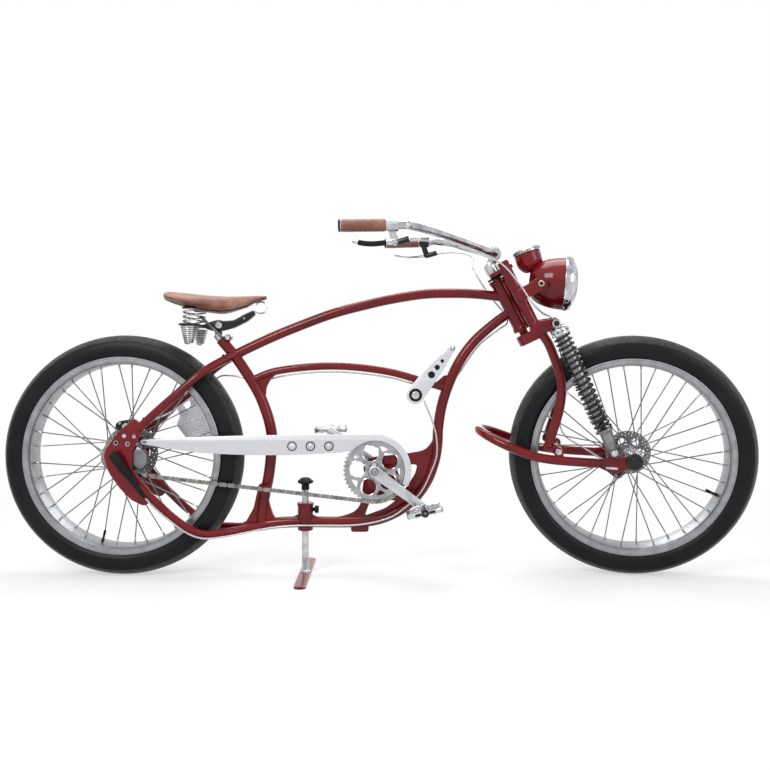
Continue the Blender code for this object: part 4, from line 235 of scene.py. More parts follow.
# %% [markdown]
# The front end of this bicycle stands turned by eleven degrees. It is far simpler to
# work a part out straight ahead and to turn its points at the end, with one matrix
# about the leaning steering axis.

# %% The turn of the front end
HEAD_BASE = np.array([0.6316, 0.0, 0.700])
HEAD_LEAN = np.radians(27.0)
STEER_ANGLE = np.radians(-11.0)
STEER_AXIS = np.array([-np.sin(HEAD_LEAN), 0.0, np.cos(HEAD_LEAN)])
STEER_AHEAD = np.array([np.cos(HEAD_LEAN), 0.0, np.sin(HEAD_LEAN)])
ACROSS = np.array([0.0, 1.0, 0.0])
UP = np.array([0.0, 0.0, 1.0])
SIDES = ((-1, "right"), (1, "left"))


def turn_about(axis, angle):
    """The rotation matrix about a unit axis: cosine part, sine part and axis part."""
    x, y, z = axis
    cross = np.array([[0, -z, y], [z, 0, -x], [-y, x, 0]])
    return np.cos(angle) * np.eye(3) + np.sin(angle) * cross + (1 - np.cos(angle)) * np.outer(axis, axis)


STEER_TURN = turn_about(STEER_AXIS, STEER_ANGLE)


def steered(points):
    """Points of the straight front end, turned into their rest place."""
    return (np.asarray(points, float) - HEAD_BASE) @ STEER_TURN.T + HEAD_BASE


def on_fork(along, forward, across=0.0):
    """A point measured along the steering axis, ahead of it and across."""
    return HEAD_BASE + STEER_AXIS * along + STEER_AHEAD * forward + np.array([0.0, across, 0.0])


def flat(point, across):
    """A point of the side view, X and Z, at a distance across the bicycle."""
    return np.array([point[0], across, point[1]])


# %% Put a finished surface into the scene
FRONT_BODIES = ("steering", "swingarm", "headlight", "front_wheel", "shock_", "brake_lever_")


def add_piece(name, finish, body, *surfaces, slot=None, stands_for=None, smooth_deg=35.0):
    """Make a mesh object from surfaces, give it a finish, and let it ride on a body.

    A piece of the front end is turned with it. A piece with no body rides on none.
    """
    points, faces, uv = joined(*surfaces)
    if body and body.startswith(FRONT_BODIES):
        points = steered(points)
    mesh = bpy.data.meshes.new(name)
    mesh.from_pydata(points, [], faces.tolist())
    layer = mesh.uv_layers.new(name="UVMap")
    layer.data.foreach_set("uv", uv.astype(np.float32).ravel())
    work = bmesh.new()
    work.from_mesh(mesh)
    bmesh.ops.remove_doubles(work, verts=work.verts, dist=2e-6)
    bmesh.ops.recalc_face_normals(work, faces=work.faces)
    work.to_mesh(mesh)
    work.free()
    mesh.materials.append(finish)
    mesh.shade_smooth()
    mesh.set_sharp_from_angle(angle=np.radians(smooth_deg))
    item = bpy.data.objects.new(name, mesh)
    bpy.context.scene.collection.objects.link(item)
    if body:
        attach(item, body)
    if stands_for:
        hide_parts(stands_for)
    return item


# %% Sweep, lathe and fillet
def line_length(points):
    """The length from the start of a line to each of its points."""
    return np.concatenate([[0.0], np.cumsum(np.linalg.norm(np.diff(points, axis=0), axis=1))])


def catmull(points, steps=10):
    """A smooth curve through points: between two of them, the cubic whose slope at each
    is half the step between its neighbours."""
    nodes = np.asarray(points, float)
    ends = np.vstack([2 * nodes[0] - nodes[1], nodes, 2 * nodes[-1] - nodes[-2]])
    a, b, c, d = (ends[k:len(ends) - 3 + k, None, :] for k in range(4))
    t = (np.arange(steps) / steps)[None, :, None]
    curve = 0.5 * (2 * b + (c - a) * t + (2 * a - 5 * b + 4 * c - d) * t ** 2
                   + (3 * b - a - 3 * c + d) * t ** 3)
    return np.vstack([curve.reshape(-1, nodes.shape[1]), nodes[-1]])


def path_frames(path, closed=False):
    """Unit tangents of a path, with two directions square to each.

    The first is the cross product of the tangent and the direction that the whole path
    crosses least, which is the normal of the plane it lies in, if it lies in one.
    """
    if closed:
        tangent = np.roll(path, -1, axis=0) - np.roll(path, 1, axis=0)
    else:
        tangent = np.gradient(path, axis=0)
    tangent /= np.linalg.norm(tangent, axis=1, keepdims=True)
    spread = np.linalg.svd(tangent, full_matrices=True)[2]
    aside = np.cross(tangent, spread[-1])
    aside /= np.linalg.norm(aside, axis=1, keepdims=True)
    return tangent, aside, np.cross(tangent, aside)


def circling(first, second, angle):
    """Directions at some angles between two directions: cosine of one and sine of the other."""
    return first * np.cos(angle)[..., :, None] + second * np.sin(angle)[..., :, None]


def full_turn(count):
    """Even angles once round."""
    return np.linspace(0, 2 * np.pi, count, endpoint=False)


def sweep(path, radius, sides=24, closed=False, soft=0.0):
    """A round bar along a path: centre plus radius times cosine and sine of the turn.

    An open bar is closed at both ends, with its rims rounded over the length soft.
    """
    path = np.asarray(path, float)
    tangent, aside, third = path_frames(path, closed)
    radii = np.broadcast_to(np.asarray(radius, float), (len(path),)).copy()
    if not closed:
        bend = np.linspace(0, np.pi / 2, 4) if soft > 0 else np.zeros(1)
        inset, lead = soft * (1 - np.sin(bend)), soft * (1 - np.cos(bend))
        start = path[0] + tangent[0] * lead[:, None]
        finish = path[-1] - tangent[-1] * lead[::-1, None]
        path = np.vstack([path[:1], start, path[1:-1], finish, path[-1:]])
        radii = np.concatenate([[0.0], radii[0] - inset, radii[1:-1], radii[-1] - inset[::-1], [0.0]])
        rows = np.pad(np.arange(1, len(aside) - 1), len(bend) + 1, constant_values=(0, len(aside) - 1))
        aside, third = aside[rows], third[rows]
    ring = circling(aside[:, None, :], third[:, None, :], full_turn(sides))
    grid = path[:, None, :] + ring * radii[:, None, None]
    length = line_length(path)
    if closed:
        length = np.append(length, length[-1] + np.linalg.norm(path[0] - path[-1]))
    return grid_surface(grid, closed, True, length)


def fillet(outline, radius, closed=True, steps=4):
    """Round each corner of a flat outline with a quadratic curve.

    The curve starts and ends radius away from the corner, or less on a short side.
    """
    corner = np.asarray(outline, float)
    back, ahead = np.roll(corner, 1, axis=0) - corner, np.roll(corner, -1, axis=0) - corner
    back_length = np.linalg.norm(back, axis=1, keepdims=True) + 1e-12
    ahead_length = np.linalg.norm(ahead, axis=1, keepdims=True) + 1e-12
    reach = np.minimum(radius, 0.48 * np.minimum(back_length, ahead_length))
    if not closed:
        reach[0] = reach[-1] = 0.0
    first = corner + back / back_length * reach
    last = corner + ahead / ahead_length * reach
    t = np.linspace(0, 1, steps)[None, :, None]
    curve = first[:, None] * (1 - t) ** 2 + 2 * corner[:, None] * t * (1 - t) + last[:, None] * t ** 2
    return curve.reshape(-1, 2)


def axis_frame(axis):
    """A unit axis with two directions square to it."""
    axis = np.asarray(axis, float) / np.linalg.norm(axis)
    helper = np.eye(3)[np.argmin(np.abs(axis))]
    first = np.cross(axis, helper)
    first /= np.linalg.norm(first)
    return axis, first, np.cross(axis, first)


def lathe(profile, centre, axis, steps=48, soft=0.0, closed=False):
    """Spin an outline of radius and height pairs about an axis through a centre.

    A point is centre plus height along the axis plus radius square to it.
    """
    outline = np.asarray(profile, float)
    if soft > 0:
        outline = fillet(outline, soft, closed)
    axis, first, second = axis_frame(axis)
    spoke = circling(first, second, full_turn(steps))
    axial = axis * outline[:, 1, None, None]
    grid = np.asarray(centre, float) + axial + spoke[None] * outline[:, 0, None, None]
    length = line_length(outline)
    if closed:
        length = np.append(length, length[-1] + np.linalg.norm(outline[0] - outline[-1]))
    return grid_surface(grid, closed, True, length)


def crosswise(profile, place, side, sign=1, steps=32, soft=0.0, closed=False):
    """A lathe about a line across the bicycle, its heights counted from a side outwards."""
    return lathe(profile, flat(place, side), (0, sign, 0), steps, soft, closed)


def rod(start, end, radius, sides=24, soft=0.0006):
    """A straight bar between two points."""
    start, end = np.asarray(start, float), np.asarray(end, float)
    reach = np.linalg.norm(end - start)
    return lathe([(0, 0), (radius, 0), (radius, reach), (0, reach)], start, end - start, sides, soft)


def cross_rod(place, start, end, radius, sides=24, soft=0.0006):
    """A straight bar across the bicycle."""
    return rod(flat(place, start), flat(place, end), radius, sides, soft)


# %% Flat plates with softened edges
def arc(centre, radius, start_deg, end_deg, count=24):
    """Points along an arc of the side view."""
    angle = np.radians(np.linspace(start_deg, end_deg, count))
    return np.asarray(centre) + radius * np.stack([np.cos(angle), np.sin(angle)], axis=1)


def circle(centre, radius, count=28):
    """A circle of the side view as an array of points."""
    angle = full_turn(count)
    return np.asarray(centre) + radius * np.stack([np.cos(angle), np.sin(angle)], axis=1)


def polar(angle_deg):
    """The direction at an angle in the side view."""
    angle = np.radians(angle_deg)
    return np.array([np.cos(angle), np.sin(angle)])


def heading_and_lean(first, first_radius, second, second_radius):
    """The angle from one circle to another, and that of their outer tangents to it, whose
    cosine is (r1 - r2) / distance."""
    run = np.subtract(second, first)
    opening = np.arccos((first_radius - second_radius) / np.hypot(*run))
    return np.degrees(np.arctan2(run[1], run[0])), np.degrees(opening)


def link_outline(first, first_radius, second, second_radius, count=18):
    """Two circles and their outer tangents."""
    heading, lean = heading_and_lean(first, first_radius, second, second_radius)
    back = arc(first, first_radius, heading + lean, heading + 360 - lean, count)
    return np.vstack([back, arc(second, second_radius, heading - lean, heading + lean, count)])


def plate(outline, across, thickness, holes=(), edge=0.0008):
    """A flat outline with holes as a plate with rounded edges, standing in the side view."""
    curve = bpy.data.curves.new("cutting", "CURVE")
    curve.dimensions = "2D"
    curve.fill_mode = "BOTH"
    curve.bevel_depth = edge
    curve.bevel_resolution = 1
    curve.offset = -edge
    curve.extrude = thickness / 2 - edge
    for loop in (outline, *holes):
        loop = np.asarray(loop, float)
        loop = loop[np.linalg.norm(loop - np.roll(loop, 1, axis=0), axis=1) > 1e-6]
        spline = curve.splines.new("POLY")
        spline.points.add(len(loop) - 1)
        spline.use_cyclic_u = True
        spline.points.foreach_set("co",
                                  np.column_stack([loop, np.zeros(len(loop)), np.ones(len(loop))]).ravel())
    helper = bpy.data.objects.new("cutting", curve)
    bpy.context.scene.collection.objects.link(helper)
    bpy.context.view_layer.update()
    mesh = bpy.data.meshes.new_from_object(helper.evaluated_get(bpy.context.evaluated_depsgraph_get()))
    bpy.data.objects.remove(helper)
    bpy.data.curves.remove(curve)
    points = np.zeros(len(mesh.vertices) * 3)
    mesh.vertices.foreach_get("co", points)
    points = points.reshape(-1, 3)
    mesh.calc_loop_triangles()
    triangles = np.zeros(len(mesh.loop_triangles) * 3, int)
    mesh.loop_triangles.foreach_get("vertices", triangles)
    bpy.data.meshes.remove(mesh)
    standing = np.column_stack([points[:, 0], across - points[:, 2], points[:, 1]])
    return standing, triangles.reshape(-1, 3), points[triangles][:, :2]


# %% [markdown]
# ## Finishes
# A finish is a small tree of nodes around one shader. Noise at two or three sizes keeps
# a surface from looking like a single flat colour: lacquer drifts in depth under its
# clear coat, polished metal has hairline scratches, leather has grain and darker
# creases. Patterns read the Object coordinates, which are metres here, so that a scale
# of 900 gives grains about a millimetre wide on every part.


def start_finish(name, slot, **sockets):
    """A new material with a Principled shader. The slot of its pieces is not used.

    Socket names use _ for a space.
    """
    made = bpy.data.materials.new(name)
    made.use_nodes = True
    tree = made.node_tree
    shader = tree.nodes["Principled BSDF"]
    for socket, value in sockets.items():
        shader.inputs[socket.replace("_", " ")].default_value = value
    return made, tree, shader


def colour(red, green, blue):
    """A colour as it is written in a picture, 0 to 255, as the shader's linear values."""
    share = np.array([red, green, blue]) / 255.0
    linear = np.where(share <= 0.04045, share / 12.92, ((share + 0.055) / 1.055) ** 2.4)
    return (*linear.tolist(), 1.0)


def noise(tree, scale, detail=3.0, stretch=(1, 1, 1), roughness=0.5):
    """Noise in metres of the object, stretched by a Mapping node."""
    place = add_node(tree, "ShaderNodeTexCoord")
    mapping = add_node(tree, "ShaderNodeMapping", {"Vector": place.outputs["Object"], "Scale": stretch})
    return add_node(tree, "ShaderNodeTexNoise", {
        "Vector": mapping.outputs[0], "Scale": scale, "Detail": detail, "Roughness": roughness,
    }).outputs["Fac"]


def ramp(tree, value, *stops):
    """A colour for each value, between stops of position and colour."""
    node = add_node(tree, "ShaderNodeValToRGB", {0: value})
    elements = node.color_ramp.elements
    while len(elements) < len(stops):
        elements.new(0.5)
    for element, (position, shade) in zip(elements, stops):
        element.position = position
        element.color = shade
    return node.outputs[0]


def maths(tree, operation, first, second=0.0, third=0.0):
    """One sum of a Math node."""
    return add_node(tree, "ShaderNodeMath", {0: first, 1: second, 2: third}, operation=operation).outputs[0]


def mix(tree, share, first, second, blend="MIX"):
    """Two colours mixed, or multiplied."""
    node = add_node(tree, "ShaderNodeMix", {0: share, 6: first, 7: second}, data_type="RGBA", blend_type=blend)
    return node.outputs[2]


def finish_with(tree, shader, base, height, distance):
    """Link a base colour, and let a height pattern tilt the shader's surface."""
    tree.links.new(base, shader.inputs["Base Color"])
    bump = add_node(tree, "ShaderNodeBump", {"Height": height, "Distance": distance, "Strength": 1.0})
    tree.links.new(bump.outputs[0], shader.inputs["Normal"])


# %% Red lacquer
def make_red_lacquer():
    """Deep candy red that drifts a little, under a clear, slightly rippled coat."""
    made, tree, shader = start_finish("red_lacquer", "red_paint", Roughness=0.42, Specular_IOR_Level=0.10,
                                      Coat_Weight=1.0, Coat_Roughness=0.05, Coat_IOR=1.34)
    flakes = noise(tree, 2600.0, 2.0)
    depth = noise(tree, 9.0, 2.0)
    base = ramp(tree, flakes, (0.35, colour(110, 5, 15)), (0.65, colour(154, 12, 26)))
    shade = ramp(tree, depth, (0.3, colour(196, 190, 190)), (0.7, colour(255, 255, 255)))
    whole = mix(tree, 1.0, base, shade, "MULTIPLY")
    finish_with(tree, shader, whole, noise(tree, 160.0, 2.0), 0.00008)
    return made


RED = make_red_lacquer()

# %% Polished, brushed and plain metals
def make_metal(name, slot, dark, light, roughness, rough_range, grain, stretch=(1, 1, 1), depth=0.00003):
    """Bare metal: its colour and gloss drift a little, over fine scratches."""
    made, tree, shader = start_finish(name, slot, Metallic=1.0, Roughness=roughness)
    base = ramp(tree, noise(tree, 35.0, 4.0), (0.3, colour(*dark)), (0.7, colour(*light)))
    scratches = noise(tree, grain, 4.0, stretch, 0.65)
    gloss = add_node(tree, "ShaderNodeMapRange", {
        "Value": scratches, "From Min": 0.3, "From Max": 0.7,
        "To Min": roughness - rough_range, "To Max": roughness + rough_range,
    })
    tree.links.new(gloss.outputs[0], shader.inputs["Roughness"])
    finish_with(tree, shader, base, scratches, depth)
    return made


CHROME = make_metal("polished_chrome", "bright_metal", (146, 148, 152), (212, 214, 217), 0.09, 0.05, 300.0)
ALLOY = make_metal("satin_alloy", "bright_metal", (170, 172, 176), (210, 212, 215), 0.28, 0.08, 420.0,
                   (1, 1, 5), 0.00006)
RIM_ALLOY = make_metal("brushed_rim", "bright_rim", (142, 144, 147), (164, 166, 169), 0.36, 0.06, 240.0,
                       (1, 9, 1), 0.00004)
STEEL = make_metal("plain_steel", "dull_steel", (98, 99, 101), (140, 141, 143), 0.30, 0.10, 260.0)
RING_ALLOY = make_metal("ring_alloy", "bright_metal", (136, 138, 141), (176, 178, 180), 0.32, 0.08, 300.0)
SPOKE_STEEL = make_metal("spoke_steel", "bright_metal", (98, 99, 102), (136, 137, 140), 0.30, 0.06, 300.0)
CHAIN_STEEL = make_metal("bright_links", "chain_steel", (118, 116, 112), (170, 168, 164), 0.22, 0.08, 500.0)
DARK_STEEL = make_metal("dark_steel", "dull_steel", (44, 43, 42), (78, 77, 76), 0.30, 0.08, 400.0)
DISC_STEEL = make_metal("disc_steel", "dull_steel", (104, 104, 105), (144, 144, 145), 0.40, 0.08, 500.0)
MIRROR = make_metal("lamp_mirror", "bright_metal", (236, 238, 240), (250, 251, 252), 0.14, 0.04, 300.0)
BRASS = make_metal("pale_washer", "bright_metal", (196, 184, 158), (226, 218, 198), 0.25, 0.06, 300.0)


# %% Black finishes
def make_black(name, slot, level, roughness, grain, depth, coat=0.0):
    """Black paint, plastic or rubber: a dark grey that drifts, with a fine grain."""
    made, tree, shader = start_finish(name, slot, Roughness=roughness, Specular_IOR_Level=0.2, Metallic=0.0,
                                      Coat_Weight=coat, Coat_Roughness=0.12, Coat_IOR=1.35)
    low, high = colour(level, level, level + 1), colour(level + 14, level + 14, level + 16)
    base = ramp(tree, noise(tree, 50.0, 3.0), (0.3, low), (0.7, high))
    finish_with(tree, shader, base, noise(tree, grain, 3.0), depth)
    return made


BLACK_PAINT = make_black("black_enamel", "black_metal", 12, 0.28, 700.0, 0.00003, coat=0.6)
BLACK_PLASTIC = make_black("black_moulding", "black_plastic", 16, 0.48, 1300.0, 0.00008)
BLACK_RUBBER = make_black("black_rubber", "black_rubber", 14, 0.62, 1500.0, 0.0001)
BLACK_SPRING = make_black("black_spring", "black_metal", 5, 0.24, 500.0, 0.00003, coat=0.5)


# %% The guard's silver paint
def make_silver_paint():
    """Pale silver paint with a satin clear coat."""
    made, tree, shader = start_finish("silver_paint", "bright_metal", Metallic=0.55, Roughness=0.36,
                                      Coat_Weight=0.35)
    base = ramp(tree, noise(tree, 1800.0, 2.0), (0.3, colour(204, 206, 211)), (0.7, colour(232, 233, 237)))
    finish_with(tree, shader, base, noise(tree, 120.0, 2.0), 0.00005)
    return made


SILVER_PAINT = make_silver_paint()

# %% [markdown]
# ### Tyre rubber
# The tyre's UV map runs once round the wheel in U, and in metres across the wall in V.
# The tread is the band in the middle of V: fine ribs that run round the wheel, each one
# bent to and fro in a zigzag, and small cuts across them. The side walls are smooth and
# nearly black, with a slight blue tint that is a painted sheen. The raised ribs hold pale
# dust, and the grooves between them are painted darker as shade.

# %% Tyre rubber
TREAD_HALF = 0.044
RIB_SPACING = 0.0048
ZIGZAGS = 150


def make_tyre_rubber(middle):
    """Rubber with a zigzag ribbed tread around the middle of the V coordinate."""
    made, tree, shader = start_finish("tyre_rubber", "black_tyre", Specular_IOR_Level=0.18, Roughness=0.4)
    uv = add_node(tree, "ShaderNodeUVMap", uv_map="UVMap")
    split = add_node(tree, "ShaderNodeSeparateXYZ", {0: uv.outputs[0]}).outputs
    across = maths(tree, "SUBTRACT", split["Y"], middle)
    zigzag = maths(tree, "PINGPONG", maths(tree, "MULTIPLY", split["X"], ZIGZAGS), 0.5)
    shifted = maths(tree, "MULTIPLY_ADD", zigzag, RIB_SPACING * 1.1, across)
    ribs = maths(tree, "SINE", maths(tree, "MULTIPLY", shifted, 2 * np.pi / RIB_SPACING))
    cuts = maths(tree, "SINE", maths(tree, "MULTIPLY", split["X"], 2 * np.pi * ZIGZAGS * 2))
    pattern = maths(tree, "MULTIPLY_ADD", cuts, 0.25, ribs)
    raised = add_node(tree, "ShaderNodeMapRange",
                      {"Value": pattern, "From Min": -0.45, "From Max": 0.25}).outputs[0]
    inside = add_node(tree, "ShaderNodeMapRange", {
        "Value": maths(tree, "ABSOLUTE", across), "From Min": TREAD_HALF, "From Max": TREAD_HALF - 0.0015,
    }).outputs[0]
    tread = maths(tree, "MULTIPLY", raised, inside)
    dusty = ramp(tree, noise(tree, 60.0, 4.0), (0.3, colour(64, 63, 62)), (0.7, colour(98, 97, 95)))
    # the raised ribs take the pale dust; the grooves between them are painted darker, as painted shade
    groove = mix(tree, raised, colour(26, 26, 27), dusty)
    # nearly black rubber, with a slight blue tint that is a painted sheen
    wall_black_with_sheen_tint = ramp(tree, noise(tree, 14.0, 3.0), (0.3, colour(11, 13, 15)), (0.7, colour(24, 27, 30)))
    whole = mix(tree, inside, wall_black_with_sheen_tint, groove)
    finish_with(tree, shader, whole, maths(tree, "MULTIPLY_ADD", noise(tree, 1400.0, 2.0), 0.06, tread), 0.0016)
    return made


# %% [markdown]
# ### Leather
# Saddle and grips are smooth tan leather. Its grain is a net of tiny cells, with wide
# soft clouds of darker and redder brown where hands and trousers have polished it.

# %% Tan leather
def make_leather(name, pale, tan, deep, scale=620.0):
    """Leather: cloudy colour, cell grain and a few fine creases."""
    made, tree, shader = start_finish(name, "tan_leather", Roughness=0.44, Specular_IOR_Level=0.5,
                                      Coat_Weight=0.3, Coat_Roughness=0.32)
    clouds = noise(tree, 16.0, 5.0, (1, 1, 1), 0.6)
    tone = ramp(tree, clouds, (0.28, colour(*deep)), (0.5, colour(*tan)), (0.74, colour(*pale)))
    place = add_node(tree, "ShaderNodeTexCoord")
    cells = add_node(tree, "ShaderNodeTexVoronoi", {"Vector": place.outputs["Object"], "Scale": scale},
                     feature="DISTANCE_TO_EDGE")
    net = add_node(tree, "ShaderNodeMapRange",
                   {"Value": cells.outputs["Distance"], "From Max": 0.16}).outputs[0]
    shade = ramp(tree, net, (0.0, colour(196, 186, 180)), (0.6, colour(255, 255, 255)))
    whole = mix(tree, 1.0, tone, shade, "MULTIPLY")
    creases = maths(tree, "MULTIPLY_ADD", noise(tree, 90.0, 5.0, (1, 1, 1), 0.7), 1.2, net)
    finish_with(tree, shader, whole, creases, 0.00018)
    return made


LEATHER = make_leather("tan_leather", (204, 160, 144), (172, 116, 98), (128, 74, 58))
GRIP_LEATHER = make_leather("grip_leather", (178, 128, 104), (146, 92, 70), (108, 58, 44), 700.0)
THREAD = make_leather("waxed_thread", (226, 206, 178), (206, 182, 150), (176, 150, 120), 1500.0)


# %% Glass and braided hose
def make_braid():
    """Steel braid under a clear skin: two sets of strands wound left and right."""
    made, tree, shader = start_finish("braided_hose", "braided_steel", Metallic=0.8, Roughness=0.30,
                                      Coat_Weight=0.8)
    uv = add_node(tree, "ShaderNodeUVMap", uv_map="UVMap")
    split = add_node(tree, "ShaderNodeSeparateXYZ", {0: uv.outputs[0]}).outputs
    turn = maths(tree, "MULTIPLY", split["X"], 8.0)
    run = maths(tree, "MULTIPLY", split["Y"], 420.0)
    left = maths(tree, "PINGPONG", maths(tree, "ADD", turn, run), 0.5)
    right = maths(tree, "PINGPONG", maths(tree, "SUBTRACT", turn, run), 0.5)
    weave = maths(tree, "MAXIMUM", left, right)
    base = ramp(tree, weave, (0.15, colour(84, 85, 88)), (0.42, colour(226, 228, 230)))
    finish_with(tree, shader, base, weave, 0.0003)
    return made


GLASS = start_finish("lamp_glass", "clear_glass", Transmission_Weight=1.0, Roughness=0.03, IOR=1.45,
                     Base_Color=colour(250, 252, 252))[0]
BRAID = make_braid()

# %% [markdown]
# ## Wheels
# Both wheels have the same fat tyre and wide rim. The tyre and the rim are outlines
# spun about the axle. A photograph of a wheel shows three rings: the dusty tread, the
# dark side wall that bulges past the rim, and the pale flat side of the rim.

# %% Sizes of the wheels
REAR_AXLE = np.array([-0.521, 0.345])
FRONT_AXLE = np.array([0.937, 0.3446285])
RIM_RADIUS = 0.2825
RIM_HALF_WIDTH = 0.040
RIM_BED_RADIUS = 0.2610
SPOKE_COUNT = 36
SPOKE_RADIUS = 0.0017
SPOKE_LEAN = 58.0
FLANGE_SIDE = 0.031

WHEELS = (
    # name, axle, valve angle, hub body, flange radius, hub half length, neck, disc radius, disc side
    ("rear", REAR_AXLE, -105.0, 0.0300, 0.042, 0.0747, 0.0150, 0.080, 0.050),
    ("front", FRONT_AXLE, -24.0, 0.0160, 0.030, 0.0797, 0.0125, 0.064, 0.049),
)


# %% Tyres
def both_ends(outline):
    """Half an outline of radius and height pairs, from its mirror image up to itself."""
    return np.vstack([outline * (1, -1), outline[::-1]])


def tyre_outline():
    """Radius and side distance round the rubber, smooth through a few measured points."""
    side_wall = mm(-9.5, 36.9, -1, 36.9, 2.5, 38.4, 10, 42.4, 21, 43.4, 34, 41.7, 42.5, 38.5,
                   45.5, 36, 49, 32.5, 56, 21.5, 60.7, 10.5, 62.5, 0)
    left = catmull(side_wall + (RIM_RADIUS, 0), 5)
    outer = np.vstack([left * (1, -1), left[-2::-1]])
    left = catmull(mm(-9.5, 32.5, 10, 37.5, 30, 36, 50, 20, 58.5, 0) + (RIM_RADIUS, 0), 4)
    return outer, np.vstack([left, left[-2::-1] * (1, -1)])


walls = tyre_outline()
RUBBER = make_tyre_rubber(float(line_length(walls[0])[-1] / 2))
for name, axle, *_ in WHEELS:
    add_piece(name + "_tyre_skin", RUBBER, name + "_wheel",
              crosswise(np.vstack(walls), axle, 0, 1, 192, closed=True),
              stands_for=name + "_tyre", smooth_deg=60)

# %% [markdown]
# A rim is a deep channel of rolled alloy. Its sides are flat and lightly brushed, its
# bed is slightly raised in the middle where the spokes' nipples stand, and two fine
# grooves run round each side. The valve points to the axle.

# %% Rims with spokes, nipples and valve
def rim_outline():
    """The channel's outline: flange, brushed side with two grooves, bed, and back inside."""
    flange, bed = (RIM_RADIUS, RIM_HALF_WIDTH), (RIM_BED_RADIUS, 0)
    side = np.vstack([
        mm(-1.2, 0, -3.5, 0, -4, -0.6, -4.8, -0.6, -5.3, 0, -12.5, 0, -13, -0.6,
           -13.8, -0.6, -14.3, 0, -16.5, -0.2) + flange,
        mm(1.2, 35, 0.3, 32, 0, 20, -0.6, 17) + bed,
    ])
    inside = np.vstack([mm(4.5, 36) + bed, mm(-6, -2.6, -0.8, -2.4, 0, -0.8) + flange])
    return np.vstack([side, side[::-1] * (1, -1), inside[::-1] * (1, -1), inside])


def repeated(places, surface):
    """One surface from copies of another, whose points are given copy by copy."""
    _, faces, uv = surface
    count, size = places.shape[:2]
    shifts = np.arange(count)[:, None, None] * size
    faces = (faces[None] + shifts).reshape(-1, faces.shape[1])
    return places.reshape(-1, 3), faces, np.tile(uv, (count, 1))


def copies(surface, starts, ends):
    """The surface, drawn along +Z from the origin, once for each start and end point.

    Each copy's axes are its direction and two directions square to it, and its length
    is stretched to fit between the points.
    """
    points = surface[0][None]
    starts = np.asarray(starts, float)
    run = np.asarray(ends, float) - starts
    along = run / np.linalg.norm(run, axis=1, keepdims=True)
    aside = np.cross(along, (0.12, 1.0, 0.05))
    aside /= np.linalg.norm(aside, axis=1, keepdims=True)
    third = np.cross(along, aside)
    return repeated(starts[:, None] + aside[:, None] * points[..., :1] + third[:, None] * points[..., 1:2]
                    + run[:, None] * points[..., 2:], surface)


def unit_lathe(outline, steps):
    """A lathe along +Z from the origin, with heights from 0 to 1, to make copies of."""
    return lathe(outline, (0, 0, 0), UP, steps)


def unit_rod(radius, steps=10):
    """A bar along +Z from the origin, with a length of 1, to make copies of."""
    return unit_lathe([(0, 0), (radius, 0), (radius, 1), (0, 1)], steps)


def around(centre, radius, angle_deg, across):
    """Points on circles about a line across the bicycle."""
    angle = np.radians(angle_deg)
    return np.column_stack([centre[0] + radius * np.cos(angle), across, centre[1] + radius * np.sin(angle)])


def spoke_ends(axle, flange_radius):
    """Where each spoke starts in a flange and ends in the rim's bed."""
    number = np.arange(SPOKE_COUNT)
    side = np.where(number % 2, 1, -1)
    leading = np.where(number // 2 % 2, 1, -1)
    angle = 360 / SPOKE_COUNT * (number + 0.5)
    start = around(axle, flange_radius - 0.002, angle + leading * SPOKE_LEAN,
                   side * FLANGE_SIDE + leading * 0.002)
    return start, around(axle, RIM_BED_RADIUS * 0.9937 - 0.0003, angle, side * 0.012 + leading * 0.002)


nipple = unit_lathe([(0, 0), (0.0020, 0), (0.0020, 0.25), (0.0029, 0.35),
                     (0.0029, 0.8), (0.0022, 1), (0, 1)], 12)
valve = mm(0, 0, 4, 0, 4, 8, 3, 10, 3, 21, 3.6, 22, 3.6, 34, 2.8, 36, 0, 36)
for name, axle, valve_deg, _, flange, *_ in WHEELS:
    wheel = name + "_wheel"
    out = flat(polar(valve_deg), 0)
    add_piece(name + "_rim_ring", RIM_ALLOY, wheel, crosswise(rim_outline(), axle, 0, 1, 192, closed=True),
              stands_for=name + "_rim", smooth_deg=30)
    add_piece(name + "_valve", BLACK_RUBBER, wheel,
              lathe(valve, flat(axle, 0) + out * (RIM_BED_RADIUS + 0.002), -out, 20, 0.0005))
    start, end = spoke_ends(axle, flange)
    add_piece(name + "_spokes", SPOKE_STEEL, wheel, copies(unit_rod(SPOKE_RADIUS), start, end))
    away = (end - start) / np.linalg.norm(end - start, axis=1, keepdims=True)
    add_piece(name + "_nipples", CHROME, wheel, copies(nipple, end - away * 0.014, end + away * 0.0008))

# %% [markdown]
# The hubs are turned alloy shells between two flanges, and each flange has a ring of
# eighteen holes for the spokes' hooked ends. On the left sits a steel brake disc with
# round windows, screwed to the shell.

# %% Hubs
HOOK = np.array([0.0, 0.0062, 0.0])

for name, axle, _, body, flange, half, neck, *_ in WHEELS:
    outline = both_ends(np.array([
        (0.0062, half), (neck - 0.005, half), (neck, half - 0.001), (neck, 0.052), (neck + 0.004, 0.047),
        (body + 0.004, 0.0405), (body + 0.005, 0.0352), (flange - 0.001, 0.0350), (flange, 0.0342),
        (flange, 0.0278), (flange - 0.001, 0.0270), (body + 0.004, 0.0268), (body, 0.0200),
        (body - 0.001, 0.010),
    ]))
    add_piece(name + "_hub_shell", ALLOY, name + "_wheel", crosswise(outline, axle, 0, 1, 72, 0.0006, True),
              stands_for=name + "_hub")
    start = spoke_ends(axle, flange)[0]
    add_piece(name + "_spoke_heads", SPOKE_STEEL, name + "_wheel",
              copies(unit_rod(0.0021), start - HOOK, start + HOOK))

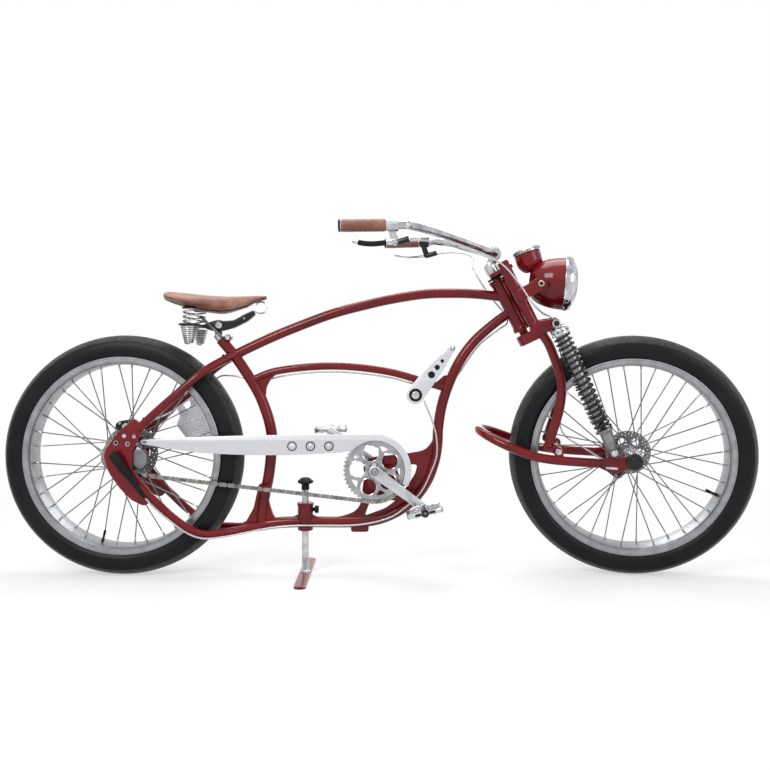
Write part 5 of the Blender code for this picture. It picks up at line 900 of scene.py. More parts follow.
# %% Brake discs
hole = np.arange(54)
for name, axle, *_, neck, disc_radius, disc_side in WHEELS:
    windows = [circle(axle, neck + 0.0003, 36)]
    windows += [circle(axle + 0.54 * disc_radius * polar(spot), 0.185 * disc_radius, 30)
                for spot in range(0, 360, 60)]
    reach, spots = disc_radius * (0.80 + hole % 3 * 0.065), hole * 360 / 54 + hole % 3 * 3.0
    windows += [circle(axle + length * polar(spot), 0.0016, 10) for length, spot in zip(reach, spots)]
    add_piece(name + "_disc", DISC_STEEL, name + "_wheel",
              plate(circle(axle, disc_radius, 120), disc_side, 0.002, windows, 0.0003),
              stands_for=name + "_rotor")
    add_piece(name + "_disc_bolts", BLACK_PAINT, name + "_wheel", *(
        cross_rod(axle + 0.0205 * polar(spot), disc_side, disc_side + 0.003, 0.0036, 16)
        for spot in range(30, 360, 60)))

# %% [markdown]
# ## The frame
# The frame is bent from round steel tubes and welded. Every tube follows a few points
# measured along its middle. The sheet webs between the tubes are flat plates with
# rounded edges, and a bead of weld runs round the places where a tube meets a plate.

# %% Tube routes of the frame
TUBES = {  # the radius at both ends, and the route
    "down": (0.0145, 0.0165, mm3(
        604, 0, 764, 555, 0, 731, 493, 0, 677, 451, 0, 622, 419, 0, 558, 396, 0, 490, 385, 0, 425, 382, 0, 372,
        373, 0, 322, 350, 0, 264, 308, 0, 210, 253, 0, 173, 190, 0, 153, 110, 0, 149, 0, 0, 150, -80, 0, 147,
        -140, 0, 139, -178, 0, 134.5)),
    "top": (0.0143, 0.0143, mm3(
        583, 0, 800, 494, 0, 810, 419, 0, 812, 340, 0, 809, 245, 0, 794, 158, 0, 774, 71, 0, 750, -45, 0, 706,
        -126, 0, 671, -205, 0, 633)),
    "seat": (0.0160, 0.0160, mm3(
        -245, 0, 679, -204, 0, 630, -167, 0, 576, -137, 0, 526, -117, 0, 479, -103, 0, 433, -97, 0, 390,
        -100, 0, 335, -107, 0, 279, -119, 0, 220, -128, 0, 150)),
    "mid": (0.0110, 0.0110, mm3(
        -158, 0, 559, -94, 0, 584, -7, 0, 597, 77, 0, 601, 155, 0, 597, 245, 0, 584, 318, 0, 564, 408, 0, 536)),
}
SEAT_STAY = mm3(-200, 4, 637, -262, 40, 600, -303, 62, 568, -350, 73, 525, -403, 78, 478, -462, 78, 424)
CHAIN_STAY = mm3(-110, 6, 144, -175, 22, 132, -225, 46, 127, -278, 66, 127, -322, 74, 145, -373, 78, 184,
                 -417, 78, 226, -462, 78, 262)
STAY_RADIUS = 0.0120
STAY_SIDE = 0.078
BRACKET = np.array([0.202, 0.306])
SEAT_CLAMP = (-0.222, 0.683)
SHIFT_PIVOT = (0.318, 0.518)


def mirrored(points, sign):
    """Points with their distance across multiplied by a sign."""
    return np.asarray(points, float) * (1, sign, 1)


surfaces = []
for radius, tip, route in TUBES.values():
    path = catmull(route)
    surfaces.append(sweep(path, np.linspace(radius, tip, len(path)), 32, soft=0.003))
surfaces += [sweep(catmull(mirrored(route, sign)), STAY_RADIUS, 28, soft=0.004)
             for sign in (-1, 1) for route in (SEAT_STAY, CHAIN_STAY)]
add_piece("frame_tubes", RED, "frame", *surfaces, stands_for="frame", smooth_deg=60)


# %% Webs and dropouts
def corners(*values):
    """Points in millimetres as an outline with softened corners."""
    return fillet(mm(*values), 0.009, True, 5)


def strap(first, first_radius, second, second_radius, across, thickness, edge, holes=()):
    """A plate whose outline runs round two circles."""
    return plate(link_outline(first, first_radius, second, second_radius), across, thickness, holes, edge)


hanger = np.vstack([arc(BRACKET, 0.034, 115, 205, 16), fillet(
    mm(165, 246, 162, 206, 146, 181, 110, 167, 60, 160, 60, 148, 190, 152, 253, 172, 308, 209, 350, 263, 373,
       321, 383, 372, 386, 425, 376, 410, 366, 380, 346, 358, 303, 350), 0.016, False, 6)])
windows = [corners(262, 316, 324, 316, 318, 290, 285, 240), corners(190, 216, 262, 212, 232, 190, 172, 168)]
foot_web = corners(-108, 262, -134, 262, -150, 190, -182, 134, -70, 146, -92, 168, -104, 205)
seat_gusset = corners(-150, 560, -64, 590, -98, 566, -112, 540, -116, 498, -134, 520)
front_gusset = corners(372, 549, 388, 562, 404, 577, 424, 570, 414, 530)
boss_web = corners(-58, 157, -36, 164, -18, 174, 18, 174, 36, 164, 58, 157, 58, 146, -58, 146)
dropout = REAR_AXLE + corners(4, 71, 50, 110, 78, 84, 60, 46, 46, 19, 44, -32, 70, -64, 96, -96, 92, -128, 76,
                              -136, 40, -118, 9, -86, -20, -45, -36, 2, -30, 24)
RIVETS = [(REAR_AXLE + place, radius) for place, radius in (
    ((0.022, 0.061), 0.0065), ((0.050, 0.059), 0.0060), ((-0.001, 0.041), 0.0075), ((0.032, 0.038), 0.0075))]
dropout_holes = [circle(place, radius) for place, radius in RIVETS] + [circle(REAR_AXLE, 0.0053)]
add_piece("frame_webs", RED, "frame", plate(hanger, 0, 0.012, windows, 0.0022), *(
    plate(outline, 0, thickness, (), edge) for outline, thickness, edge in (
        (foot_web, 0.016, 0.003), (seat_gusset, 0.010, 0.002), (front_gusset, 0.008, 0.002),
        (boss_web, 0.014, 0.003))
), *(plate(dropout, sign * STAY_SIDE, 0.006, dropout_holes, 0.0012) for sign in (-1, 1)))


def rivet(hole_radius):
    """The outline of a hollow rivet that fills a hole."""
    radius = hole_radius - 0.0003
    return np.array([(0.55, -0.0034), (1, -0.0034), (1, 0.0030), (0.92, 0.0040), (0.62, 0.0040),
                     (0.55, 0.0030)]) * (radius, 1)


add_piece("dropout_rivets", CHROME, "frame", *(
    crosswise(rivet(radius), place, sign * STAY_SIDE, sign, closed=True) for sign in (-1, 1)
    for place, radius in RIVETS))

# %% Head tube, bracket shell, stand boss and tabs
HEAD_HEIGHT = 0.164

cup = mm(15, 0, 25.5, 0, 25.5, 10, 23.8, 12.5, 22.5, 18)
head = np.vstack([cup, cup[::-1] * (1, -1) + (0, HEAD_HEIGHT)])
boss = mm(10.7, 126, 20.5, 126, 22.5, 129, 22.5, 196, 24.5, 199, 24.5, 206, 10.7, 206)
add_piece("frame_turned_parts", RED, "frame", lathe(head, on_fork(0.006, 0), STEER_AXIS, 64, 0.0008, True),
          crosswise(both_ends(mm(9.2, 37, 22.5, 37, 24, 35.5)), BRACKET, 0, 1, 56, 0.0006, True),
          lathe(boss, (0, 0, 0), UP, 56, 0.0008, True),
          cross_rod(SEAT_CLAMP, -0.017, 0.017, 0.0095, 32, 0.0012))
add_piece("frame_tabs", RED, "frame", strap((0.322, 0.561), 0.009, SHIFT_PIVOT, 0.013, -0.007, 0.006, 0.001),
          plate(corners(132, 122, 184, 122, 184, 140, 132, 140), 0, 0.022, (), 0.002))


# %% Weld beads
def weld(centre, axis, radius, bead=0.0022, ripples=40):
    """A thin ring whose thickness ripples, as the drops of a weld do."""
    turn = full_turn(160)
    path = np.asarray(centre) + radius * circling(*axis_frame(axis)[1:], turn)
    return sweep(path, bead * (1 + 0.16 * np.sin(turn * ripples)), 10, closed=True)


beads = [weld(*bead) for bead in (
    ((0.5935, 0, 0.7905), (0.98, 0, -0.10), 0.0152), ((0.5990, 0, 0.7610), (0.84, 0, 0.54), 0.0154),
    ((-0.1985, 0, 0.6355), (0.93, 0, 0.40), 0.0150), ((-0.1530, 0, 0.5615), (0.93, 0, 0.38), 0.0118),
    ((0.4020, 0, 0.5385), (0.96, 0, -0.30), 0.0118), ((0, 0, 0.166), (0, 0, 1), 0.0222))]
beads += [weld(mirrored(place, sign), mirrored(axis, sign), radius, 0.0018) for sign in (-1, 1)
          for place, axis, radius in (
              ((-0.2290, 0.0200, 0.6220), (-0.80, 0.45, -0.50), 0.0126),
              ((-0.4380, STAY_SIDE, 0.4460), (-0.74, 0, -0.67), 0.0124),
              ((-0.4360, STAY_SIDE, 0.2400), (-0.78, 0, 0.62), 0.0124))]
add_piece("frame_welds", RED, "frame", *beads, smooth_deg=80)

# %% Screws of the seat clamp and the lever's stud
add_piece("seat_clamp_bolt", CHROME, "frame",
          crosswise(mm(0, 0, 6.8, 0, 6.8, 4, 3, 4, 3, 1.5, 0, 1.5), SEAT_CLAMP, -0.0172, -1, 24, 0.0005),
          crosswise(mm(0, 0, 6.8, 0, 6.8, 4, 0, 4), SEAT_CLAMP, 0.0172, 1, 6, 0.0005))
stud = mm(0, 6, 5, 6, 5, 31.3, 11.2, 31.3, 11.5, 34.5, 9, 36.2, 4.2, 36.2, 3.6, 34, 0, 34)
add_piece("shift_stud", CHROME, "frame", crosswise(stud, SHIFT_PIVOT, 0, -1, 32, 0.0004))

# %% [markdown]
# ## Chain guard and chain
# The guard is one long blade of sheet that ends in an arc round the chain wheel. Three
# round badges sit on it: each is a rim with a plain domed middle and a ring of dots.

# %% Chain guard
CHAIN_SIDE = 0.058
GUARD_SIDE = -0.067
GUARD_THICKNESS = 0.003
PITCH = 0.0127
RING_TEETH, SPROCKET_TEETH = 44, 22
RING_PITCH_RADIUS = PITCH / (2 * np.sin(np.pi / RING_TEETH))
SPROCKET_PITCH_RADIUS = PITCH / (2 * np.sin(np.pi / SPROCKET_TEETH))

outer = RING_PITCH_RADIUS + 0.014
top_edge = np.vstack([mm(-459, 392, -288, 402, -78, 407, 100, 408.5), arc(BRACKET, outer, 88, 88, 1)])
blade = np.vstack([
    catmull(top_edge, 8)[:-1], arc(BRACKET, outer, 88, -26, 60),
    arc(BRACKET, RING_PITCH_RADIUS - 0.004, -26, 138, 70),
    catmull(mm(100, 357, -78, 350, -288, 357, -452, 381), 8),
])
add_piece("guard_blade", SILVER_PAINT, "frame", plate(blade, GUARD_SIDE, GUARD_THICKNESS, (), 0.0009),
          slot="pale_guard", stands_for="chain_guard")
add_piece("guard_posts", STEEL, "frame", cross_rod((-0.4460, 0.3875), GUARD_SIDE + 0.001, -0.0747, 0.0042),
          cross_rod((-0.0975, 0.366), GUARD_SIDE + 0.001, -0.0163, 0.0045))


def badges(outline, steps, closed=False, reach=0.0, spots=(0,)):
    """A turned part on each of the three badges, or several of them in a ring."""
    return [crosswise(outline, np.array([x, 0.3755]) + reach * polar(spot), GUARD_SIDE - GUARD_THICKNESS / 2,
                      -1, steps, closed=closed) for x in (-0.031, 0.021, 0.073) for spot in spots]


add_piece("guard_badge_rims", DARK_STEEL, "frame", *badges(
    mm(10.5, 0, 13.5, 0, 13.5, 1, 12.7, 1.8, 11.3, 1.6, 10.5, 0.8), 40, True), slot="bright_metal")
add_piece("guard_badge_faces", ALLOY, "frame", *badges(
    mm(0, 1.6, 3, 1.5, 4.5, 0.7, 5, 0.4, 10.8, 0.4, 10.8, 0, 0, 0), 40), slot="dull_steel")
add_piece("guard_badge_dots", CHROME, "frame", *badges(
    mm(0, 1.3, 1.2, 1, 1.7, 0.3, 1.7, 0, 0, 0), 12, reach=0.0078, spots=range(0, 360, 45)))

# %% [markdown]
# A chain is a loop of two kinds of link, one inside the other, on pins half an inch
# apart. One link of each kind is made once, and numpy turns and places all copies:
# every link lies on the chord between two pins of the loop.

# %% The loop of pins
def chain_loop():
    """The loop round both wheels: two arcs and the two straight runs that touch them."""
    heading, lean = heading_and_lean(REAR_AXLE, SPROCKET_PITCH_RADIUS, BRACKET, RING_PITCH_RADIUS)
    rear = arc(REAR_AXLE, SPROCKET_PITCH_RADIUS, heading + lean, heading + 360 - lean, 60)
    ahead = arc(BRACKET, RING_PITCH_RADIUS, heading - lean, heading + lean, 120)
    return np.vstack([rear, np.linspace(rear[-1], ahead[0], 60)[1:-1], ahead,
                      np.linspace(ahead[-1], rear[0], 60)[1:]])


def places_along(line, marks):
    """Points of a line at given lengths from its start."""
    length = line_length(line)
    return np.stack([np.interp(marks, length, values) for values in line.T], axis=1)


loop = chain_loop()
loop_length = line_length(loop)[-1]
pin_count = 2 * int(round(loop_length / PITCH / 2))
pins = places_along(loop, np.linspace(0, loop_length, pin_count, endpoint=False))
print("pins in the chain:", pin_count)


# %% Links, rollers and pins
def link_copies(surface, first, second):
    """A surface made along X from the origin, placed on the chord between pins."""
    x, y, z = surface[0].T[:, None]
    run = second - first
    ahead, rise = (run / np.linalg.norm(run, axis=1, keepdims=True)).T[:, :, None]
    places = [first[:, :1] + x * ahead - z * rise, y + 0 * ahead, first[:, 1:] + x * rise + z * ahead]
    return repeated(np.stack(places, axis=2), surface)


def link_plates(shape, gap):
    """Two link plates, one on each side of the chain's middle."""
    return joined(*(plate(shape, -CHAIN_SIDE + side, 0.0009, (), 0.0002) for side in (-gap, gap)))


first, second = pins, np.roll(pins, -1, axis=0)
link = np.vstack([arc((0, 0), 0.0058, 65, 295, 9), [(PITCH / 2, -0.0044)],
                  arc((PITCH, 0), 0.0058, -115, 115, 9), [(PITCH / 2, 0.0044)]])
pin = crosswise(both_ends(mm(0, 4.5, 1.7, 4.5)), (0, 0), -CHAIN_SIDE, 1, 10)
roller = crosswise(both_ends(mm(0, 2.3, 3.4, 2.3)), (0, 0), -CHAIN_SIDE, 1, 12)
add_piece("chain_outer_links", CHAIN_STEEL, "frame",
          link_copies(link_plates(link, 0.0039), first[::2], second[::2]), stands_for="chain")
# the inner links, rollers and pins are the same chain steel as the outer links, drawn dark as painted shade
# between the outer plates
add_piece("chain_inner_links", DARK_STEEL, "frame",
          link_copies(link_plates(link * 0.97, 0.0028), first[1::2], second[1::2]), slot="chain_steel")
add_piece("chain_rollers", DARK_STEEL, "frame", link_copies(roller, first, second),
          link_copies(pin, first, second), slot="chain_steel")

# %% [markdown]
# ## Chain wheels and cranks
# A tooth is a hump between two rollers. The big wheel has five round windows, with
# small three-sided ones between them, and is fixed to the right crank by its hub. The
# crank arms are forged: thick at the spindle, thinner at the pedal, and drawn in
# slightly between them.

# %% Chain wheels
WINDOW_SPOTS = range(32, 392, 72)
WINDOW_REACH = 0.0495


def toothed(centre, teeth, pitch_radius, count=8):
    """The outline of a chain wheel: the radius dips by a rounded wave at every roller."""
    turn = full_turn(teeth * count)
    wave = np.cos(turn * teeth)
    radius = pitch_radius - 0.0013 + 0.0025 * np.sign(wave) * np.abs(wave) ** 0.7
    return np.asarray(centre) + radius[:, None] * np.stack([np.cos(turn), np.sin(turn)], axis=1)


windows = [circle(BRACKET, 0.0091, 36)]
small_window = mm(56, 0, 69, 13.5, 71.5, 0, 69, -13.5)
for spot in WINDOW_SPOTS:
    windows.append(circle(BRACKET + WINDOW_REACH * polar(spot), 0.0222, 44))
    cosine, sine = polar(spot + 36)
    windows.append(fillet(small_window @ [[cosine, sine], [-sine, cosine]] + BRACKET, 0.004, True, 5))
add_piece("chainring_wheel", RING_ALLOY, "crank",
          plate(toothed(BRACKET, RING_TEETH, RING_PITCH_RADIUS), -CHAIN_SIDE, 0.002, windows, 0.0004),
          crosswise(mm(9.1, 0.5, 21.5, 0.5, 21, 8, 17.5, 14, 17, 21.7, 9.1, 21.7), BRACKET, -CHAIN_SIDE, -1,
                    48, 0.001, True),
          stands_for="chainring")
add_piece("chainring_collars", CHROME, "crank", *(
    crosswise(mm(22.2, 0.6, 25, 0.6, 24.6, 2.2, 23.2, 2.8, 22.2, 2.2), BRACKET + WINDOW_REACH * polar(spot),
              -CHAIN_SIDE, -1, 44, closed=True) for spot in WINDOW_SPOTS))
sprocket = plate(toothed(REAR_AXLE, SPROCKET_TEETH, SPROCKET_PITCH_RADIUS), -CHAIN_SIDE, 0.002,
                 [circle(REAR_AXLE, 0.0158, 36)], 0.0003)
driver = crosswise(mm(15.8, -6, 23.5, -6, 24, 2, 21.8, 4, 15.8, 4), REAR_AXLE, -CHAIN_SIDE, -1,
                   44, 0.0006, True)
cover = crosswise(mm(15.8, 1, 33, 1, 34.5, 2, 33, 3.2, 15.8, 3.6), REAR_AXLE, -CHAIN_SIDE, -1, 56, closed=True)
add_piece("sprocket_wheel", STEEL, "sprocket", sprocket, driver, cover, stands_for="rear_sprocket")

# %% Crank arms
CRANK_SIDE = 0.0865
CRANK_THICKNESS = 0.013
CRANK_LENGTH = 0.170
CRANK_REACH = CRANK_LENGTH * polar(-36.5)


def crank_arm(tip, sign):
    """A plate with round ends, drawn in a little past mid length, and the eye at its tip."""
    outline = link_outline(BRACKET, 0.0165, tip, 0.0125, 20)
    along = (outline - BRACKET) @ (tip - BRACKET) / CRANK_LENGTH ** 2
    axis_point = BRACKET + np.outer(along, tip - BRACKET)
    waist = 1 - 0.22 * np.exp(-((along - 0.62) / 0.28) ** 2)
    outline = axis_point + (outline - axis_point) * waist[:, None]
    eye = mm(0, -2, 11.8, -2, 11.8, 0.8, 10.5, 1.6, 0, 1.6)
    return (plate(outline, sign * CRANK_SIDE, CRANK_THICKNESS, (), 0.0032),
            crosswise(eye, tip, sign * (CRANK_SIDE + CRANK_THICKNESS / 2), sign))


axle_outline = mm(0, -8, 8.5, -8, 8.5, 3, 5.5, 4, 5.5, 70, 4, 74, 4, 80, 0, 80)
bolt_outline = mm(0, 0.6, 3.5, 0.6, 4.2, 2, 8, 2, 9, 0.8, 9.5, -2, 0, -2)
ring_outline = mm(9.6, -1, 11.2, -1, 10.8, 0.5, 9.8, 0.5)
for sign, name in SIDES:
    tip = BRACKET - sign * CRANK_REACH
    face = sign * (CRANK_SIDE + CRANK_THICKNESS / 2)
    add_piece("crank_arm_" + name, ALLOY, "crank", *crank_arm(tip, sign), stands_for="crank_" + name)
    add_piece("pedal_axle_" + name, STEEL, "crank", crosswise(axle_outline, tip, face, sign, 28, 0.0004))
    add_piece("crank_bolt_" + name, CHROME, "crank", crosswise(bolt_outline, BRACKET, face, sign))
    add_piece("crank_bolt_ring_" + name, BLACK_PAINT, "crank",
              crosswise(ring_outline, BRACKET, face, sign, closed=True))
add_piece("crank_spindle", STEEL, "crank",
          crosswise(mm(0, -86.5, 8.5, -86.5, 8.5, 79.7, 0, 79.7), BRACKET, 0, 1, 32, 0.0006))

# %% [markdown]
# The pedals are alloy platforms: a barrel on the axle, a flat frame round it with
# open windows, a thin dark web inside and a row of grip studs on both faces.

# %% Pedals
PEDAL_HALF, PEDAL_HALF_WIDTH, PEDAL_THICKNESS = 0.050, 0.037, 0.017


def tilted(surface, place, tilt_deg):
    """Turn a surface about the Y axis and put its origin at a place."""
    cosine, sine = polar(tilt_deg)
    turn = np.array([[cosine, 0, -sine], [0, 1, 0], [sine, 0, cosine]])
    return surface[0] @ turn.T + place, surface[1], surface[2]


def lying(surface, across=0.0, level=0.0):
    """Lay a plate that stands in the side view down flat, its outline's second value across."""
    x, y, z = surface[0].T
    return np.column_stack([x, z + across, y + level]), surface[1], surface[2]


def pedal_parts(sign):
    """The frame, barrel, studs, cap and dark parts of a pedal, flat, with its axle at the origin."""
    half, wide = PEDAL_HALF, PEDAL_HALF_WIDTH
    middle = sign * (CRANK_SIDE + CRANK_THICKNESS / 2 + 0.004 + wide)
    outline = fillet([(-half, -wide * 0.78), (-half * 0.62, -wide), (half * 0.62, -wide), (half, -wide * 0.78),
                      (half, wide * 0.78), (half * 0.62, wide), (-half * 0.62, wide), (-half, wide * 0.78)],
                     0.006)
    windows = []
    for end in (-1, 1):
        for low, high in ((-wide + 0.009, -0.0035), (0.0035, wide - 0.009)):
            near, far = end * 0.014, end * (half - 0.010)
            windows.append(fillet([(near, low), (far, low), (far, high), (near, high)][::end], 0.004))
    body = lying(plate(outline, 0, PEDAL_THICKNESS - 0.004, windows, 0.0016), middle)
    barrel = [(0.0062, wide + 0.0008), (0.0105, wide + 0.0008), (0.0115, wide - 0.002)]
    barrel = np.vstack([np.multiply(barrel, (1, -1)), [(0.0112, 0)], barrel[::-1]])
    studs = []
    for x in (-half + 0.005, -half * 0.5, half * 0.5, half - 0.005):
        for y in (-wide + 0.005, wide - 0.005):
            across = middle + y * (0.86 if abs(x) > half * 0.8 else 1.0)
            studs.append(rod((x, across, -PEDAL_THICKNESS / 2), (x, across, PEDAL_THICKNESS / 2),
                             0.0019, 12, 0.0004))
    darks = [lying(plate(fillet(outline * 0.92, 0.004), 0, 0.003, (), 0.0006), middle)]
    for end in (-1, 1):
        side = fillet((mm(10.5, -3.6, 29, -3.6, 27, 3.6, 12, 3.6) * (end, 1))[::end], 0.0022)
        darks.append(plate(side, middle + sign * (wide - 0.0001), 0.0009, (), 0.0002))
    cap = crosswise(mm(0, 0, 6, 0, 5.6, 1, 0, 1.3), (0, 0), middle + sign * (wide + 0.0006), sign, 28)
    return body, crosswise(barrel, (0, 0), middle, closed=True), joined(*studs), cap, joined(*darks)


PEDAL_FINISHES = (("plate", ALLOY), ("barrel", BLACK_PAINT), ("studs", STEEL), ("cap", BLACK_PLASTIC),
                  ("web", BLACK_PAINT))
for (sign, name), tilt in zip(SIDES, (13.0, 2.0)):
    tip = flat(BRACKET - sign * CRANK_REACH, 0)
    for (part, finish), surface in zip(PEDAL_FINISHES, pedal_parts(sign)):
        frame_plate = part == "plate"
        add_piece("pedal_" + part + "_" + name, finish, "pedal_" + name, tilted(surface, tip, tilt),
                  slot="bright_rim" if frame_plate else None,
                  stands_for="pedal_" + name if frame_plate else None)

# %% [markdown]
# ## Small parts of the rear
# Axle nut, the rubber boot where the shift cable enters the hub, the brake calipers,
# the cover plate in the corner of the stays, the stand with its knobs, and the lever.

# %% Rear axle, domed cover and cable boot
COVER_PLACE, COVER_SIDE = (-0.4700, 0.3410), -0.0700
SHIFT_CABLE = mm3(
    342.5, -28.5, 502.5, 352, -27, 478, 366, -23, 443, 378, -20.5, 400, 379, -20, 345, 363, -20, 298, 334,
    -20, 240, 285, -20, 192, 236, -20.5, 163, 153, -21.2, 145, 44, -26.2, 144, -20, -26.2, 144, -80, -22, 139,
    -129, -24, 132, -175, -39, 124.5, -225, -63.5, 119.5, -278, -83.5, 119.5, -322, -92, 137, -373, -96, 176,
    -412, -96.5, 209, -434.5, -97, 233.5)
BOOT_WIDTH = 0.0155

outside = STAY_SIDE + 0.003
add_piece("rear_axle_rod", STEEL, "frame", cross_rod(REAR_AXLE, -outside, outside + 0.016, 0.005, 24, 0.0008),
          crosswise(mm(5.2, 0.3, 11.8, 0.3, 11.8, 1.8, 5.2, 1.8), REAR_AXLE, outside, 1, 40, 0.0003, True),
          crosswise(mm(5.2, 1.8, 10, 1.8, 10.5, 3, 10.5, 8.5, 9.5, 9.2, 5.2, 9.2), REAR_AXLE, outside, 1, 6,
                    closed=True),
          stands_for="rear_axle")
dome = mm(0, -2.6, 33, -2.6, 34.5, -1.8, 33.8, -0.4, 29, 1.8, 19, 3.6, 8, 4.3, 0, 4.4)
add_piece("drive_cover_dome", STEEL, "frame", crosswise(dome, COVER_PLACE, COVER_SIDE, -1, 64),
          slot="pale_guard")
dome_rim = mm(32.5, -2, 35.2, -2.2, 35.2, 0.6, 33.8, 1.4, 32.2, 0.8)
add_piece("drive_cover_rim", DARK_STEEL, "frame",
          crosswise(dome_rim, COVER_PLACE, COVER_SIDE, -1, 64, closed=True))

boot_start = flat(REAR_AXLE + (0.001, 0.004), -(outside + 0.0003 + BOOT_WIDTH))
boot_run = SHIFT_CABLE[-1] - boot_start
long = np.linalg.norm(boot_run)
boot = np.vstack([
    mm(0, -15, 5, -14.6, 10, -12, 14.2, -6, 15.3, 4, 14.8, 8, 14.1, 8.2, 13.9, 9.5, 14.5, 10, 13.2, 22),
    [(0.0105, long * 0.42), (0.0085, long * 0.60), (0.0067, long * 0.80)],
    mm(5, -4, 4.4, -1, 0, -1) + (0, long),
])
add_piece("cable_boot_skin", BLACK_RUBBER, "frame", lathe(boot, boot_start, boot_run, 48, 0.0012),
          stands_for="cable_boot")


# %% Brake calipers
def caliper(axle, angle_deg, disc_radius, disc_side, outer_face):
    """Two cheeks and a bridge over the disc, then two bolts and a piston cap."""
    out = flat(polar(angle_deg), 0)
    along = np.array([-out[2], 0, out[0]])
    middle = flat(axle, 0) + out * (disc_radius + 0.001)
    low, gap = disc_side - 0.0130, 0.0032

    def placed(surface):
        """Turn a part, made with its own X along the disc and Z away from the axle."""
        x, y, z = surface[0].T
        return middle + np.outer(x, along) + np.outer(y, ACROSS) + np.outer(z, out), surface[1], surface[2]

    outline = fillet(mm(-30, -12, -22, -16.5, 22, -16.5, 30, -12, 30, 8, 19, 16.5, -19, 16.5, -30, 8), 0.005)
    cheeks = [plate(outline, (start + end) / 2, end - start, (), 0.0016)
              for start, end in ((low, disc_side - gap), (disc_side + gap, outer_face))]
    top = fillet(mm(-26, 8.4, 26, 8.4, 18.5, 16, -18.5, 16), 0.003)
    bolts = [cross_rod((x, 0.0100), low + 0.001, low - 0.0025, 0.0040, 20) for x in (-0.0155, 0.0155)]
    cap = crosswise(mm(0, 0, 10.5, 0, 10.5, 1.2, 8.5, 1.8, 0, 1.2), (0, -0.003), low + 0.0003, -1, 36)
    jaw = joined(*cheeks, plate(top, disc_side, 2 * gap + 0.001, (), 0.0004))
    return placed(jaw), placed(joined(*bolts, cap))


for wheel, body, angle in zip(WHEELS, ("frame", "swingarm"), (99, 232)):
    name, axle, *_, half, _, disc_radius, disc_side = wheel
    black, bright = caliper(axle, angle, disc_radius, disc_side, half)
    add_piece(name + "_caliper_body", BLACK_PAINT, body, black, stands_for=name + "_caliper")
    add_piece(name + "_caliper_bolts", CHROME, body, bright)

# %% [markdown]
# The cover plate is bright sheet metal, pressed with plain ribs that fan out towards
# its curved edge. Ribs like these keep thin sheet stiff.

# %% Cover plate with fanned ribs
cover_outline = fillet(mm(
    -356.5, 503.5, -340.5, 506.5, -320, 496, -299, 466.5, -283, 433, -273, 399, -272, 386.5, -365.5, 386.5,
    -394.5, 424.5, -384, 450, -390.5, 472.5, -374.5, 487, -362, 470, -350, 484), 0.004)
low_line = np.linspace((-0.382, 0.430), (-0.345, 0.393), 12)
high_line = np.linspace((-0.343, 0.497), (-0.280, 0.397), 12)
taper = 0.0013 * np.sin(np.linspace(0.25, np.pi - 0.25, 12)) ** 0.5
add_piece("side_plate_sheet", SILVER_PAINT, "frame", plate(cover_outline, STAY_SIDE, 0.003, (), 0.0007),
          stands_for="side_plate")
add_piece("side_plate_ribs", ALLOY, "frame", *(
    sweep(np.linspace(flat(low, side), flat(high, side), 12), taper, 12, soft=0.0005)
    for side in (STAY_SIDE - 0.0010, STAY_SIDE + 0.0010) for low, high in zip(low_line, high_line)))

# %% Stand
FOOT_LENGTH, FOOT_WIDTH, FOOT_THICKNESS = 0.340, 0.034, 0.006
KNOB_BASE = 0.2433
LOCK_HEIGHT = 0.186

half = FOOT_LENGTH / 2 - FOOT_WIDTH / 2
foot_outline = np.vstack([arc((0, half), FOOT_WIDTH / 2, 0, 180), arc((0, -half), FOOT_WIDTH / 2, 180, 360)])
add_piece("stand_foot_plate", RED, "stand",
          lying(plate(foot_outline, 0, FOOT_THICKNESS, (), 0.0016), level=FOOT_THICKNESS / 2))
post = mm(0, 3, 15, 3, 15, 8.5, 10.5, 11, 10, 12.5, 10, 243, 0, 243)
add_piece("stand_post", CHROME, "stand", lathe(post, (0, 0, 0), UP, 40, 0.0006), stands_for="stand_leg")
knob = lathe(mm(0, 0, 11, 0, 11.5, 1, 11.5, 10, 10, 14, 19, 18.5, 22.5, 20, 23, 22.5, 22.5, 25.5, 18, 29, 12,
                34, 8, 35, 0, 35) + (0, KNOB_BASE), (0, 0, 0), UP, 64, 0.001)
wave = 1 + 0.05 * np.cos(8 * np.arctan2(knob[0][:, 1], knob[0][:, 0])) * (knob[0][:, 2] > KNOB_BASE + 0.017)
knob[0][:, :2] *= np.minimum(wave, 1.0)[:, None]
add_piece("stand_knob_grip", BLACK_PLASTIC, "stand", knob, stands_for="stand_knob")
lock = lathe(mm(0, 22.8, 5.8, 22.8, 6, 26.8, 10.5, 27.6, 11, 28.5, 11, 36.8, 10, 38.2, 7.8, 38.8, 0, 38.8),
             (0, 0, 0), (1, 0, 0), 48, 0.0006)
turn = np.arctan2(lock[0][:, 2], lock[0][:, 1])
ridge = np.where(lock[0][:, 0] > 0.0272, 1 - 0.035 * (0.5 + 0.5 * np.cos(16 * turn)), 1.0)
lock[0][:, 1:] *= ridge[:, None]
lock[0][:, 2] += LOCK_HEIGHT
add_piece("stand_lock_grip", BLACK_PLASTIC, "stand_lock", lock, stands_for="stand_lock_knob")

# %% [markdown]
# The gear lever is a flat alloy blade with three round holes that grow smaller towards
# its ball, and a wide round foot on the stud.

